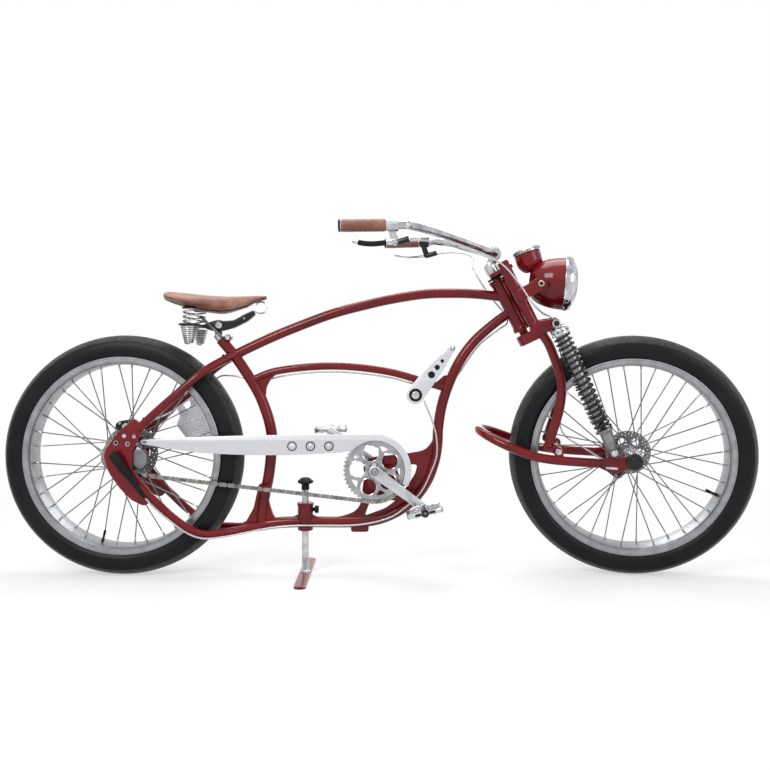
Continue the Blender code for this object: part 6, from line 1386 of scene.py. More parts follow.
# %% Shift lever
SHIFT_SIDE = -0.0285
low, tip = np.array(SHIFT_PIVOT), np.array([0.424, 0.653])
run = tip - low
heading = np.degrees(np.arctan2(run[1], run[0]))
aside = np.array([-run[1], run[0]]) / np.hypot(*run)
outline = fillet(np.vstack([
    arc(low, 0.026, heading + 95, heading + 262),
    [low + run * 0.30 - aside * 0.0222, low + run * 0.66 - aside * 0.0172],
    arc(tip, 0.0085, heading - 85, heading + 85, 14),
    [low + run * 0.66 + aside * 0.0200, low + run * 0.30 + aside * 0.0250],
]), 0.012, True, 5)
lever_holes = [(low + run * share, radius)
               for share, radius in ((0.43, 0.0098), (0.585, 0.0075), (0.72, 0.0052))]
blade = plate(outline, SHIFT_SIDE, 0.005, [circle(*hole) for hole in [(low, 0.0057)] + lever_holes], 0.0011)
turn = np.linspace(-np.pi / 2, np.pi / 2, 20)
ball = crosswise(np.column_stack([0.0076 * np.cos(turn), 0.0090 * np.sin(turn)]), tip,
                 SHIFT_SIDE - 0.002, 1, 36)
rims = [crosswise(mm(0, 2, 1.3, 2.2, 1, 3.1, 0, 2.8) + (radius, 0), place, SHIFT_SIDE, -1, closed=True)
        for place, radius in lever_holes]
add_piece("shift_blade", SILVER_PAINT, "shift_lever", blade, stands_for="shift_lever")
add_piece("shift_ball", CHROME, "shift_lever", ball, *rims)
seal = mm(10.8, 1.8, 18.8, 1.8, 18.8, 3.4, 17.6, 4.2, 12, 4.2, 10.8, 3.4)
bushes = [crosswise([(0, -0.0016), (radius + 0.0001, -0.0016), (radius + 0.0001, 0.0010),
                     (radius * 0.85, 0.0006), (0, 0.0004)], place, SHIFT_SIDE, -1)
          for place, radius in lever_holes]
add_piece("shift_seals", BLACK_RUBBER, "shift_lever", crosswise(seal, low, SHIFT_SIDE, -1, 48, closed=True),
          *bushes)

# %% [markdown]
# ## Saddle
# The saddle is tan leather over a padded shell. From the side its top is almost
# straight, with the tail a little higher, and its flank hangs lowest at mid length.
# The shape here is a row of rounded cross sections whose width, top and depth change
# along the length. The leather closes under the shell, a stitched seam follows the
# flank, and black piping runs below it.

# %% Saddle shape
SADDLE_REAR, SADDLE_LENGTH, SADDLE_TOP = -0.399, 0.287, 0.811
SADDLE_HALF_WIDTH, SADDLE_NOSE = 0.112, 0.021


def saddle_section(share):
    """Half width, top and depth at a share of the length, from the tail (0) to the nose (1)."""
    share = np.asarray(share, float)
    rear_round = np.sqrt(np.maximum(0.0, 1.0 - (1.0 - np.minimum(1.0, share / 0.10)) ** 2))
    narrow = 0.5 + 0.5 * np.cos(np.pi * np.clip((share - 0.20) / 0.62, 0, 1))
    width = (SADDLE_NOSE + (SADDLE_HALF_WIDTH - SADDLE_NOSE) * narrow ** 1.25) * rear_round
    nose_round = np.sqrt(np.maximum(0.0, 1.0 - np.maximum(0.0, (share - 0.93) / 0.07) ** 2))
    top = SADDLE_TOP + 0.003 * np.cos(2 * np.pi * share) - 0.010 * share - 0.008 * (1.0 - rear_round)
    belly = 0.031 * np.sin(np.pi * np.minimum(1.0, share ** 0.9)) + 0.017
    belly = belly * (1.0 - 0.4 * np.clip((share - 0.80) / 0.15, 0, 1))
    belly = belly + 0.0085 * np.clip(1.0 - share / 0.35, 0, 1)
    belly = belly + 0.0040 * np.exp(-((share - 0.58) / 0.12) ** 2)
    return width * nose_round, top, belly * (0.55 + 0.45 * rear_round)


def saddle_grid(shares, angles, swell=0.0):
    """Points of the skin: a rounded square section whose lower part is drawn in."""
    width, top, belly = (value[:, None] for value in saddle_section(shares))
    rise = np.sin(angles)[None, :]
    spread = np.sign(np.cos(angles)) * np.abs(np.cos(angles)) ** 0.72
    drawn_in = 1.0 - 0.16 * np.maximum(0.0, -np.sin(angles)) ** 1.5
    y = (width + swell) * (spread * drawn_in)[None, :]
    height = np.where(rise > 0, belly * 0.55, belly * 0.45)
    dip = 0.0016 * np.exp(-(y / 0.012) ** 2) * np.clip(rise, 0, 1) * np.sin(np.pi * shares)[:, None]
    z = top - belly * 0.55 + (height + swell) * rise - dip
    x = SADDLE_REAR + SADDLE_LENGTH * shares[:, None] + 0 * y
    return np.stack([x, y, z], axis=2)


shares = 0.5 - 0.5 * np.cos(np.pi * np.linspace(0, 1, 72))
skin = grid_surface(saddle_grid(shares, full_turn(96)), False, True)
saddle_skin = add_piece("saddle_leather", LEATHER, "saddle", skin, stands_for="saddle", smooth_deg=70)


# %% Stitches and piping
def along_saddle(angle_deg, start, stop, count, out):
    """A line of points on the skin at one place of every cross section."""
    return saddle_grid(np.linspace(start, stop, count), np.radians([angle_deg]), out)[:, 0]


thread = unit_lathe([(0, 0), (0.0006, 0.08), (0.0008, 0.5), (0.0006, 0.92), (0, 1)], 8)
stitches = []
for angle in (-34, 214):
    line = along_saddle(angle, 0.03, 0.97, 400, 0.0006)
    marks = np.arange(0.004, line_length(line)[-1] - 0.006, 0.0052)
    stitches.append(copies(thread, places_along(line, marks), places_along(line, marks + 0.0034)))
add_piece("saddle_stitches", THREAD, "saddle", *stitches)
add_piece("saddle_piping", BLACK_RUBBER, "saddle", *(
    sweep(along_saddle(angle, 0.02, 0.98, 160, 0.0), 0.0014, 10, soft=0.0006) for angle in (-46, 226)),
    smooth_deg=70)

# %% Saddle clamp, cradle and cross plate
SPRING_X, SPRING_SIDE, PLATE_TOP, PLATE_THICK = -0.320, 0.070, 0.721, 0.007

seat_top, seat_next = TUBES["seat"][2][:2]
seat_line = (seat_top - seat_next) / np.linalg.norm(seat_top - seat_next)
cradle = fillet(mm(
    -356, 720, -356, 715, -300, 715, -272, 703, -250, 700, -232, 704, -205, 711, -165, 731, -143, 750.5,
    -147.5, 763.5, -176, 751, -205, 734, -235, 731, -250, 735, -268, 731, -295, 720), 0.008)
cross_plate = fillet(mm(-28, -82, -14, -94, 12, -94, 26, -82, 26, 82, 12, 94, -14, 94, -28, 82),
                     0.008) + (SPRING_X, 0)
add_piece("saddle_stay_bar", STEEL, "seat_post",
          rod((-0.300, -0.0195, 0.744), (-0.2380, -0.0195, 0.6855), 0.0040, 20))
add_piece("saddle_cradle", BLACK_PAINT, "seat_post",
          rod(seat_top + seat_line * 0.008, (-0.2535, 0, 0.712), 0.0105, 32),
          plate(cradle, 0, 0.022, (), 0.0018),
          lying(plate(cross_plate, 0, PLATE_THICK, (), 0.0015), level=PLATE_TOP - PLATE_THICK / 2),
          stands_for="saddle_frame")
add_piece("seat_post_tube", CHROME, "seat_post",
          rod(seat_top - seat_line * 0.044, seat_top + seat_line * 0.018, 0.0125, 36))
big_head = mm(0, 10.5, 10, 10.5, 10, 15, 8.8, 16, 4.5, 16, 4, 14, 0, 14)
small_head = mm(0, 10.8, 3.2, 10.8, 3.2, 12.5, 2.2, 13.2, 0, 13.2)
saddle_bolts = []
for sign in (-1, 1):
    saddle_bolts.append(crosswise(big_head, (-0.249, 0.7185), 0, sign, 36, 0.0004))
    saddle_bolts.append(crosswise(small_head, (-0.176, 0.7385), 0, sign, 24, 0.0003))
add_piece("saddle_bolts", CHROME, "seat_post", *saddle_bolts)

# %% [markdown]
# Springs are tubes wound on a cone or a cylinder. A point of the middle line lies at
# the coil's radius times the cosine and sine of the turn, and moves along the axis
# with the share of the length. The end curls of the shock springs are closer together.

# %% Coil springs
def coil(start, end, radii, wire, curls, sides=12, close_ends=0.0):
    """A wire wound from start to end, with radii for its two ends."""
    start = np.asarray(start, float)
    end = np.asarray(end, float)
    main, first, second = axis_frame(end - start)
    share = np.linspace(0, 1, int(curls * 32) + 1)
    rise = share - close_ends * np.sin(2 * np.pi * share) / (2 * np.pi)
    reach = wire + rise * (np.linalg.norm(end - start) - 2 * wire)
    turn = 2 * np.pi * curls * share
    radius = radii[0] + (radii[1] - radii[0]) * rise
    outward = circling(first, second, turn)
    path = start + np.outer(reach, main) + radius[:, None] * outward
    tangent = np.gradient(path, axis=0)
    tangent /= np.linalg.norm(tangent, axis=1, keepdims=True)
    third = np.cross(tangent, outward)
    third /= np.linalg.norm(third, axis=1, keepdims=True)
    thick = np.concatenate([[0.0], np.full(len(path), wire), [0.0]])
    rows = np.concatenate([[0], np.arange(len(path)), [len(path) - 1]])
    ring = circling(outward[rows, None, :], third[rows, None, :], full_turn(sides))
    along = np.concatenate([[0.0], share, [1.0]]) * turn[-1] * max(radii)
    return grid_surface(path[rows, None, :] + ring * thick[:, None, None], False, True, along)


SPRING_TOP = 0.7137
SPRING_BASE = PLATE_TOP + 0.0003
for sign, name in SIDES:
    seat = np.array([SPRING_X, sign * SPRING_SIDE, 0.0])
    add_piece("saddle_lower_spring_wire_" + name, CHROME, "seat_post",
              coil(seat + UP * SPRING_TOP, seat + UP * (SPRING_TOP - 0.052), (0.0215, 0.0098), 0.0029, 8.5),
              stands_for="saddle_lower_spring_" + name)
    seat = seat + UP * SPRING_BASE
    spring = add_piece("saddle_upper_spring_wire_" + name, CHROME, "seat_post",
                       coil(seat, seat + UP * 0.040, (0.0165, 0.0165), 0.0024, 2.75),
                       stands_for="saddle_upper_spring_" + name)
    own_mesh(spring)
    add_piece("saddle_spring_cup_" + name, BLACK_PAINT, "saddle",
              lathe(mm(0, 0, 19.5, 0, 19.5, 3, 17.5, 6, 0, 6), seat + UP * 0.0403, UP, 40, 0.0006))
nose_turn = np.linspace(-150, 150, 80)
loop = around((-0.129, 0.7700), 0.0170, nose_turn, np.linspace(-0.010, 0.010, 80))
add_piece("saddle_nose_wire", CHROME, "seat_post", sweep(loop, 0.0024, 16, soft=0.001),
          stands_for="saddle_nose_spring")

# %% [markdown]
# ## Front end
# Everything from here on is worked out with the steering straight ahead and turned
# into its rest place at the end. The fork has two upper tubes between crowns, two
# curved legs below, and arms that carry the lamp and the upper shock bolts.

# %% Fork
STANCHION_SIDE, STANCHION_FORWARD, STANCHION_RADIUS = 0.055, 0.037, 0.0160
FORK_LEG = mm3(676, 58, 706, 700, 60, 672, 719, 62, 627, 735, 64, 576, 738, 66, 520, 729, 67, 466, 713, 68, 412,
               703, 68, 376)
LUG_SIDE, LUG_THICKNESS = 0.068, 0.011
SWING_PIVOT = (0.732, 0.366)
SHOCK_TOP, SHOCK_FOOT, SHOCK_SIDE, SHOCK_EYE_HALF = (0.721, 0.728), (0.881, 0.371), 0.0992, 0.0107
SHOCK_ARM_SIDE = STANCHION_SIDE + 0.014
SHOCK_OUTSIDE = SHOCK_SIDE + SHOCK_EYE_HALF
LAMP_RADIUS, LAMP_PIVOT, EAR_THICKNESS = 0.0755, (0.680, 0.838), 0.005


def crown(low, high, back, front, half_width, corner=0.018):
    """A crown plate that lies square to the steering axis."""
    edge = np.array([(back, half_width * 0.55), (back + 0.012, half_width * 0.78), (front - 0.030, half_width),
                     (front, half_width - 0.010)])
    outline = fillet(both_ends(edge), corner)
    points, faces, uv = plate(outline, 0, high - low, (), 0.0022)
    places = (HEAD_BASE + np.outer(points[:, 0], STEER_AHEAD) + np.outer(points[:, 2], ACROSS)
              + np.outer((low + high) / 2 + points[:, 1], STEER_AXIS))
    return places, faces, uv


def socket_head(radius, height, hole, depth):
    """The outline of a bolt head with a round hole for the key."""
    return [(0, 0), (radius, 0), (radius, height - 0.0006), (radius - 0.001, height), (hole, height),
            (hole - 0.0004, depth), (0, depth)]


parts = [rod(on_fork(-0.020, 0), on_fork(0.205, 0), 0.0127, 36),
         crown(-0.034, -0.004, -0.026, 0.060, STANCHION_SIDE + 0.020),
         crown(0.1785, 0.1900, -0.015, 0.058, STANCHION_SIDE + 0.0165, 0.014)]
bolts = []
for sign in (-1, 1):
    across = sign * STANCHION_SIDE
    ear_side = sign * (LAMP_RADIUS + 0.0008 + EAR_THICKNESS / 2)
    parts += [
        rod(on_fork(-0.010, STANCHION_FORWARD, across), on_fork(0.206, STANCHION_FORWARD, across),
            STANCHION_RADIUS, 40, 0.002),
        lathe(mm(15.5, 0, 18, 0.6, 18, 5.2, 15.5, 6), on_fork(-0.0045, STANCHION_FORWARD, across), STEER_AXIS,
              40, closed=True),
        sweep(catmull(mirrored(FORK_LEG, sign)), 0.0130, 32, soft=0.004),
        strap((0.703, 0.380), 0.0135, SWING_PIVOT, 0.0125, sign * LUG_SIDE, LUG_THICKNESS, 0.002,
              [circle(SWING_PIVOT, 0.0057)]),
        strap((0.672, 0.712), 0.021, SHOCK_TOP, 0.0125, sign * (STANCHION_SIDE + 0.0135), 0.015, 0.003),
        strap((0.626, 0.808), 0.0165, LAMP_PIVOT, 0.0190, ear_side, EAR_THICKNESS, 0.0012,
              [circle(LAMP_PIVOT, 0.0047)]),
        cross_rod((0.624, 0.826), across, ear_side, 0.0080, 28),
        cross_rod(SHOCK_TOP, sign * SHOCK_ARM_SIDE, sign * (SHOCK_SIDE - SHOCK_EYE_HALF - 0.0003), 0.009, 28),
    ]
    bolts.append(cross_rod(SHOCK_TOP, sign * SHOCK_ARM_SIDE, sign * (SHOCK_OUTSIDE + 0.001), 0.0040, 20))
    bolts.append(crosswise(socket_head(0.0078, 0.0046, 0.0036, 0.0022), SHOCK_TOP,
                           sign * (SHOCK_OUTSIDE + 0.0006), sign, 32, 0.0003))
add_piece("fork_body", RED, "steering", *parts, stands_for="fork")
add_piece("fork_shock_bolts", BLACK_PAINT, "steering", *bolts, slot="bright_metal")

# %% [markdown]
# Between the head tube and the upper crown sits a black ring with vertical grooves,
# with a thin bright ring under it. The grooves are made by letting the ring's radius
# fall and rise with the cosine of the turn.

# %% Lock ring and stem
BAR_CLAMP = (0.549, 0.926)
BAR_RADIUS = 0.0110

base = on_fork(0.1715, 0)
points, faces, uv = lathe(mm(13, 1.2, 24.6, 1.2, 25.4, 1.8, 25.4, 5.8, 24.6, 6.6, 13, 6.6), base, STEER_AXIS,
                          192, closed=True)
rise = np.outer((points - base) @ STEER_AXIS, STEER_AXIS)
sideways = points - base - rise
turn = np.arctan2(sideways @ ACROSS, sideways @ STEER_AHEAD)
groove = np.where(np.linalg.norm(sideways, axis=1) > 0.024, 1 - 0.028 * (0.5 - 0.5 * np.cos(32 * turn)), 1.0)
add_piece("lock_ring", BLACK_PLASTIC, "steering", (base + rise + sideways * groove[:, None], faces, uv),
          slot="black_metal", stands_for="headset_lock_ring")
thin = lathe(mm(13, 0.1, 25.2, 0.1, 25.5, 0.4, 25.2, 1, 13, 1), base, STEER_AXIS, 96, closed=True)
add_piece("lock_ring_seat", CHROME, "steering", thin, slot="black_metal")

clamp = flat(BAR_CLAMP, 0)
collar = np.vstack([mm(11.4, 21, 17.5, 21, 18.2, 20, 18.8, 10) * (1, -1), [(0.0190, 0)],
                    mm(18.8, 10, 18.2, 20, 17.5, 21, 11.4, 21)])
add_piece("stem_body", ALLOY, "steering",
          lathe(mm(0, 0, 18.5, 0, 19, 1, 19, 22.5, 17.8, 28.5, 12, 33.5, 0, 34.5), on_fork(0.1903, 0),
                STEER_AXIS, 48, 0.0015),
          rod(on_fork(0.212, 0), clamp, 0.0135, 36), crosswise(collar, BAR_CLAMP, 0, 1, 56, closed=True),
          *(rod(clamp + (-0.004, side, 0.0150), clamp + (-0.006, side, 0.0215), 0.0042, 20)
            for side in (-0.008, 0.008)),
          stands_for="stem")

# %% Handlebar and grips
BAR_ROUTE = mm3(549, 22.5, 926, 546, 30, 927, 532, 48, 931, 505, 76, 940, 462, 138, 954, 416, 214, 968, 374,
                275, 979, 346, 309, 984, 320, 330, 985, 170, 350, 985)
GRIP_START, GRIP_END = 0.290, 0.167

bar_line = np.vstack([mirrored(BAR_ROUTE, -1)[::-1], clamp, BAR_ROUTE])
add_piece("bar_tube", CHROME, "steering", sweep(catmull(bar_line, 14), BAR_RADIUS, 40, soft=0.001),
          stands_for="handlebar")


def bar_point(x, sign):
    """A point of the bar's straight end on one side, at a place along X."""
    first, last = BAR_ROUTE[-2:]
    return (first + (last - first) * (x - first[0]) / (last[0] - first[0])) * (1, sign, 1)


thread = unit_lathe([(0, 0), (0.00055, 0.1), (0.0007, 0.5), (0.00055, 0.9), (0, 1)], 8)
for sign, name in SIDES:
    inner, outer = bar_point(GRIP_START, sign), bar_point(GRIP_END, sign)
    run = outer - inner
    long = np.linalg.norm(run)
    heading = run / long
    far = (0, long)
    sleeve = np.vstack([mm(11.3, 3, 15.2, 3, 15.8, 4.5, 16, 12), mm(16, -14, 15.6, -8, 11.3, -8) + far])
    rings = [mm(11.3, 0.1, 15.4, 0.1, 15.9, 0.6, 15.9, 2.4, 15.4, 2.9, 11.3, 2.9),
             mm(11.3, -7.9, 15.6, -7.9, 16, -7.4, 16, -6.2, 15.6, -5.7, 11.3, -5.7) + far]
    cap = mm(0, -5.5, 15.6, -5.5, 16, -4.5, 16, -1.6, 14.8, -0.4, 0, -0.2) + far
    add_piece("grip_leather_" + name, GRIP_LEATHER, "steering", lathe(sleeve, inner, run, 56, closed=True),
              stands_for="grip_" + name)
    add_piece("grip_rings_" + name, CHROME, "steering",
              *(lathe(ring, inner, run, 48, closed=True) for ring in rings))
    add_piece("grip_cap_" + name, BLACK_RUBBER, "steering", lathe(cap, inner, run, 48))
    marks = inner + np.outer(np.linspace(0.008, long - 0.012, 24), heading) - UP * 0.0160
    add_piece("grip_stitches_" + name, THREAD, "steering",
              copies(thread, marks, marks + heading * 0.0032 + ACROSS * 0.0014 * sign))

# %% [markdown]
# The two brake levers are alike in shape, but the nearer one has a black sleeve over
# its blade. Each perch is a ring on the bar with an arm that carries the pin.

# %% Brake levers
LEVER_PIVOT, LEVER_SIDE, LEVER_THICKNESS, PERCH_THICKNESS = (0.311, 0.942), 0.3375, 0.007, 0.008
LEVER_SOCKET = (0.341, 0.3292, 0.9447)
LEVER_INSIDE = LEVER_SIDE - LEVER_THICKNESS / 2 - 0.0003

lever_outline = np.vstack([
    arc(LEVER_PIVOT, 0.0085, -60, 60, 12),
    mm(-20, 5.5, -40, 3, -60, 1.5, -80, 3, -98, 6.5) + LEVER_PIVOT,
    arc(np.add(LEVER_PIVOT, (-0.106, 0.003)), 0.0055, 90, 270, 14),
    mm(-94, -4.5, -75, -7.2, -56, -9, -36, -8.5, -18, -7.5) + LEVER_PIVOT,
])
pin = mm(0, 0, 2.5, 0, 2.5, 7.5, 4.8, 7.8, 4.8, 9.2, 4, 9.8, 0, 9.8)
middle = bar_point(GRIP_START + 0.008, 1)
for sign, name in SIDES:
    start, end = bar_point(GRIP_START + 0.0003, sign), bar_point(GRIP_START + 0.029, sign)
    wide = np.linalg.norm(end - start)
    ring = lathe([(0.0113, 0), (0.0158, 0), (0.0165, 0.0008), (0.0165, wide - 0.0008), (0.0158, wide),
                  (0.0113, wide)], start, end - start, 44, closed=True)
    arm_side = sign * (LEVER_INSIDE - PERCH_THICKNESS / 2)
    arm = strap((middle[0] + 0.001, middle[2] - 0.006), 0.0085, LEVER_PIVOT, 0.0095, arm_side,
                PERCH_THICKNESS, 0.0016)
    add_piece("lever_perch_ring_" + name, ALLOY if sign < 0 else BLACK_PAINT, "steering", ring, arm,
              slot="bright_metal", stands_for="lever_perch_" + name)
    add_piece("lever_perch_socket_" + name, BLACK_PAINT, "steering",
              rod((0.312, arm_side, 0.943), mirrored(LEVER_SOCKET, sign), 0.0040),
              rod(mirrored((0.332, 0.3300, 0.9443), sign), mirrored((0.3395, 0.3293, 0.9447), sign),
                  0.0052, 6, 0.0004),
              rod((0.311, arm_side, 0.9400), (0.346, arm_side, 0.9495), 0.0084, 28, 0.002))
    add_piece("lever_pin_" + name, CHROME, "steering",
              crosswise(pin, LEVER_PIVOT, sign * LEVER_INSIDE, sign, 24))
    add_piece("lever_blade_" + name, CHROME, "brake_lever_" + name,
              plate(lever_outline, sign * LEVER_SIDE, LEVER_THICKNESS, [circle(LEVER_PIVOT, 0.0032)], 0.0022),
              stands_for="brake_lever_" + name)
    if name == "right":
        line = mm(-22, -1.2, -40, -2.8, -60, -3.8, -80, -2.2, -96, 0.8) + LEVER_PIVOT
        line = catmull(np.insert(line, 1, sign * LEVER_SIDE, axis=1), 8)
        add_piece("lever_sleeve", BLACK_RUBBER, "brake_lever_right", sweep(line, 0.0068, 28, soft=0.002))

# %% [markdown]
# ## Headlight
# The lamp is a deep red bowl with a bright bezel and a domed ribbed lens. On its back
# stands a small red cup with the instrument. The lens is real glass of two surfaces,
# and behind it a polished bowl throws the light forward.

# %% Bowl, cup and bolts
LAMP_AXIS = flat(polar(-4.0), 0)
POD_AXIS = flat(polar(-18.0)[::-1], 0)
LAMP_BACK, LAMP_DEPTH, BEZEL_RADIUS, BEZEL_DEPTH = flat((0.644, 0.845), 0), 0.100, 0.0780, 0.022
POD_TOP, POD_RADIUS, POD_DEPTH = flat((0.6395, 0.9265), 0), 0.0385, 0.056

outside = catmull(mm(0, 0, 24, 2, 44, 11, 58, 26, 67, 45, 72.5, 68, 75.5, 99.8), 8)
inside = catmull(mm(72.5, 99.8, 69.5, 68, 64, 47, 55, 30, 41, 15, 20, 8, 0, 7), 8)
cup = np.vstack([mm(0, 0, 16, 0, 23.5, 3.5, 29.5, 10.5, 34.5, 19, 37, 27) - (0, POD_DEPTH), mm(38, -1, 0, -1)])
add_piece("lamp_bowl", RED, "headlight", lathe(np.vstack([outside, inside]), LAMP_BACK, LAMP_AXIS, 96),
          lathe(cup, POD_TOP, POD_AXIS, 72, 0.0008), stands_for="headlight_shell")
face = LAMP_RADIUS + 0.0008 + EAR_THICKNESS + 0.0003
stud_head = mm(0, 0, 4.6, 0, 4.6, 3.6, 3.8, 4, 2, 4, 1.8, 2, 0, 2)
gilt_ring = mm(4.7, 0, 8.5, 0, 8.5, 2.2, 7.8, 3, 5.5, 3, 4.7, 2.4)
studs = []
for sign in (-1, 1):
    studs.append(cross_rod(LAMP_PIVOT, sign * (LAMP_RADIUS - 0.012), sign * (face + 0.0005), 0.0040))
    studs.append(crosswise(stud_head, LAMP_PIVOT, sign * face, sign, 28))
add_piece("lamp_studs", BLACK_PAINT, "headlight", *studs)
add_piece("lamp_gilt_rings", BRASS, "headlight", *(
    crosswise(gilt_ring, LAMP_PIVOT, sign * face, sign, 40, closed=True) for sign in (-1, 1)))

# %% Bezel, lens and reflector
FLUTE_WIDTH, FLUTE_DEPTH = 0.0075, 0.00045

front = LAMP_DEPTH + 0.0003
lip = LAMP_RADIUS - 0.008
bezel = [(lip, front), (BEZEL_RADIUS - 0.0012, front), (BEZEL_RADIUS, front + 0.0012),
         (BEZEL_RADIUS, front + 0.0070), (BEZEL_RADIUS - 0.0012, front + 0.0150),
         (BEZEL_RADIUS - 0.0040, front + BEZEL_DEPTH),
         (lip + 0.0006, front + BEZEL_DEPTH), (lip, front + BEZEL_DEPTH - 0.001)]
add_piece("lamp_bezel", CHROME, "headlight", lathe(bezel, LAMP_BACK, LAMP_AXIS, 96, 0.0008, True),
          stands_for="headlight_bezel")

edge = lip - 0.0003
rows = np.linspace(0, 1, 36)
dome_radius = edge * np.sin(rows * np.pi / 2)
dome_height = front + BEZEL_DEPTH - 0.004 + 0.021 * np.cos(rows * np.pi / 2)
turns = full_turn(256)
spokes = circling(*axis_frame(LAMP_AXIS)[1:], turns)
flute = FLUTE_DEPTH * np.cos(2 * np.pi * np.outer(dome_radius, np.sin(turns)) / FLUTE_WIDTH)
flute *= np.clip((1 - rows) * 6, 0, 1)[:, None]
outer_dome = LAMP_BACK + (dome_radius[:, None, None] * spokes
                          + (dome_height[:, None] + flute)[:, :, None] * LAMP_AXIS)
inner_radius = dome_radius * (edge - 0.003) / edge
inner_dome = LAMP_BACK + (inner_radius[:, None, None] * spokes
                          + (dome_height - 0.0028)[:, None, None] * LAMP_AXIS)
add_piece("lamp_lens", GLASS, "headlight",
          grid_surface(np.concatenate([outer_dome, inner_dome[::-1]]), False, True),
          stands_for="headlight_lens", smooth_deg=60)

share = np.linspace(0.1, 1, 30)
dish = np.column_stack([np.linspace(0.0070, lip - 0.004, 30), 0.082 * share ** 2])
bulb_turn = np.linspace(-np.pi / 2, np.pi / 2, 16)
bulb = np.column_stack([0.0085 * np.cos(bulb_turn), 0.048 + 0.011 * np.sin(bulb_turn)])
add_piece("lamp_reflector", MIRROR, "headlight", *(
    lathe(outline, LAMP_BACK, LAMP_AXIS, 96) for outline in (dish + (0, 0.030), dish[::-1] + (0, 0.0285))))
add_piece("lamp_bulb", GLASS, "headlight", lathe(bulb, LAMP_BACK, LAMP_AXIS, 32))

# %% [markdown]
# The instrument has a bright case with dark ticks round its rim, and a dial under it.
# The dial carries a plain scale and a needle, and nothing else.

# %% Instrument
def on_pod(outline, steps):
    """A part turned about the middle of the instrument."""
    return lathe(outline, POD_TOP, POD_AXIS, steps)


first, second = axis_frame(POD_AXIS)[1:]
case = np.vstack([[(0, -0.0008)],
                  mm(-2, -0.8, 0, 0.4, 1.3, 2, 1.5, 8.5, 0.5, 10.5, -3, 13, -4.8, 12.6, -5.2, 10)
                  + (POD_RADIUS, 0), [(0, 0.0100)]])
add_piece("instrument_case", CHROME, "headlight", on_pod(case, 96), stands_for="speedometer")
outward = circling(first, second, np.radians(np.arange(0, 360, 12.0)))
ring_place = POD_TOP + POD_AXIS * 0.0055
ticks = copies(unit_rod(0.0017, 12), ring_place + outward * (POD_RADIUS + 0.0008),
               ring_place + outward * (POD_RADIUS + 0.0019))
add_piece("instrument_rim_ticks", BLACK_PLASTIC, "headlight", ticks)
dial = np.array([(0, 0.0100), (POD_RADIUS - 0.0054, 0.0100), (POD_RADIUS - 0.0054, 0.0106), (0, 0.0106)])
add_piece("instrument_dial", SILVER_PAINT, "headlight", on_pod(dial, 64), slot="dial")
outward = circling(first, second, np.radians(np.linspace(-210, 30, 33)))
dial_place = POD_TOP + POD_AXIS * 0.0108
inner_reach = np.where(np.arange(33) % 4 == 0, 0.0230, 0.0265)[:, None]
scale = copies(unit_rod(0.00035, 6), dial_place + outward * inner_reach, dial_place + outward * 0.0300)
needle_foot = dial_place + POD_AXIS * 0.0008
needle_tip = needle_foot + (np.cos(0.6) * first - np.sin(0.6) * second) * 0.024
needle = copies(unit_lathe([(0, 0), (0.0011, 0), (0.0003, 1), (0, 1)], 8), [needle_foot], [needle_tip])
add_piece("instrument_scale", BLACK_PLASTIC, "headlight", scale, needle,
          on_pod(mm(0, 10.4, 3.2, 10.4, 2.6, 12.4, 0, 12.6), 24), slot="dial")

# %% [markdown]
# ## Swinging arm and shocks
# The front wheel hangs in one long tube that is bent round behind the tyre. Two shocks
# hold it up: a steel tube slides over a rod inside a black spring of eighteen turns.

# %% Swinging arm
SWING_ROUTE = mm3(512, 26, 410, 534, 52, 401, 570, 71, 386, 612, 81, 370, 660, 84, 353, 710, 84, 344, 770, 84,
                  340, 846, 84, 337)
SWING_SIDE, SWING_PLATE = 0.084, 0.008
LUG_FACE = LUG_SIDE + LUG_THICKNESS / 2 + 0.0003
SWING_FACE = SWING_SIDE + SWING_PLATE / 2

loop = np.vstack([mirrored(SWING_ROUTE, -1)[::-1], [(0.505, 0, 0.413)], SWING_ROUTE])
parts = [sweep(catmull(loop), 0.0130, 36, soft=0.002)]
bolts = []
for sign in (-1, 1):
    across = sign * SWING_SIDE
    parts += [
        strap((0.842, 0.337), 0.0125, FRONT_AXLE, 0.0165, across, SWING_PLATE, 0.0016,
              [circle(FRONT_AXLE, 0.0058)]),
        strap((0.852, 0.335), 0.0130, (0.884, 0.3285), 0.0205, across, SWING_PLATE - 0.0006, 0.0014),
        strap((0.884, 0.3285), 0.0200, (0.930, 0.3420), 0.0150, across, SWING_PLATE - 0.0008, 0.0014),
        strap((0.874, 0.338), 0.0120, SHOCK_FOOT, 0.0115, across, SWING_PLATE - 0.001, 0.0014),
        strap((0.734, 0.345), 0.0125, SWING_PIVOT, 0.0125, sign * (LUG_FACE + 0.005), 0.010, 0.002),
        cross_rod(SHOCK_FOOT, across, sign * (SHOCK_SIDE - SHOCK_EYE_HALF - 0.0003), 0.009, 28),
    ]
    bolts += [
        strap((0.8630, 0.3255), 0.0032, (0.8900, 0.3245), 0.0032, sign * SWING_FACE, 0.0024, 0.0005),
        cross_rod(SWING_PIVOT, sign * 0.060, sign * (LUG_FACE + 0.0105), 0.0050),
        crosswise(socket_head(0.0088, 0.0028, 0.0040, 0.0012), SWING_PIVOT, sign * (LUG_FACE + 0.0102), sign,
                  36),
        cross_rod(SHOCK_FOOT, across, sign * (SHOCK_OUTSIDE + 0.001), 0.0040, 20),
        crosswise(socket_head(0.0078, 0.0028, 0.0036, 0.0012), SHOCK_FOOT, sign * (SHOCK_OUTSIDE + 0.0003),
                  sign),
    ]
parts.append(strap((0.884, 0.328), 0.012, (0.889, 0.296), 0.012, SWING_SIDE, SWING_PLATE - 0.0004, 0.0014))
add_piece("swingarm_body", RED, "swingarm", *parts, stands_for="swingarm")
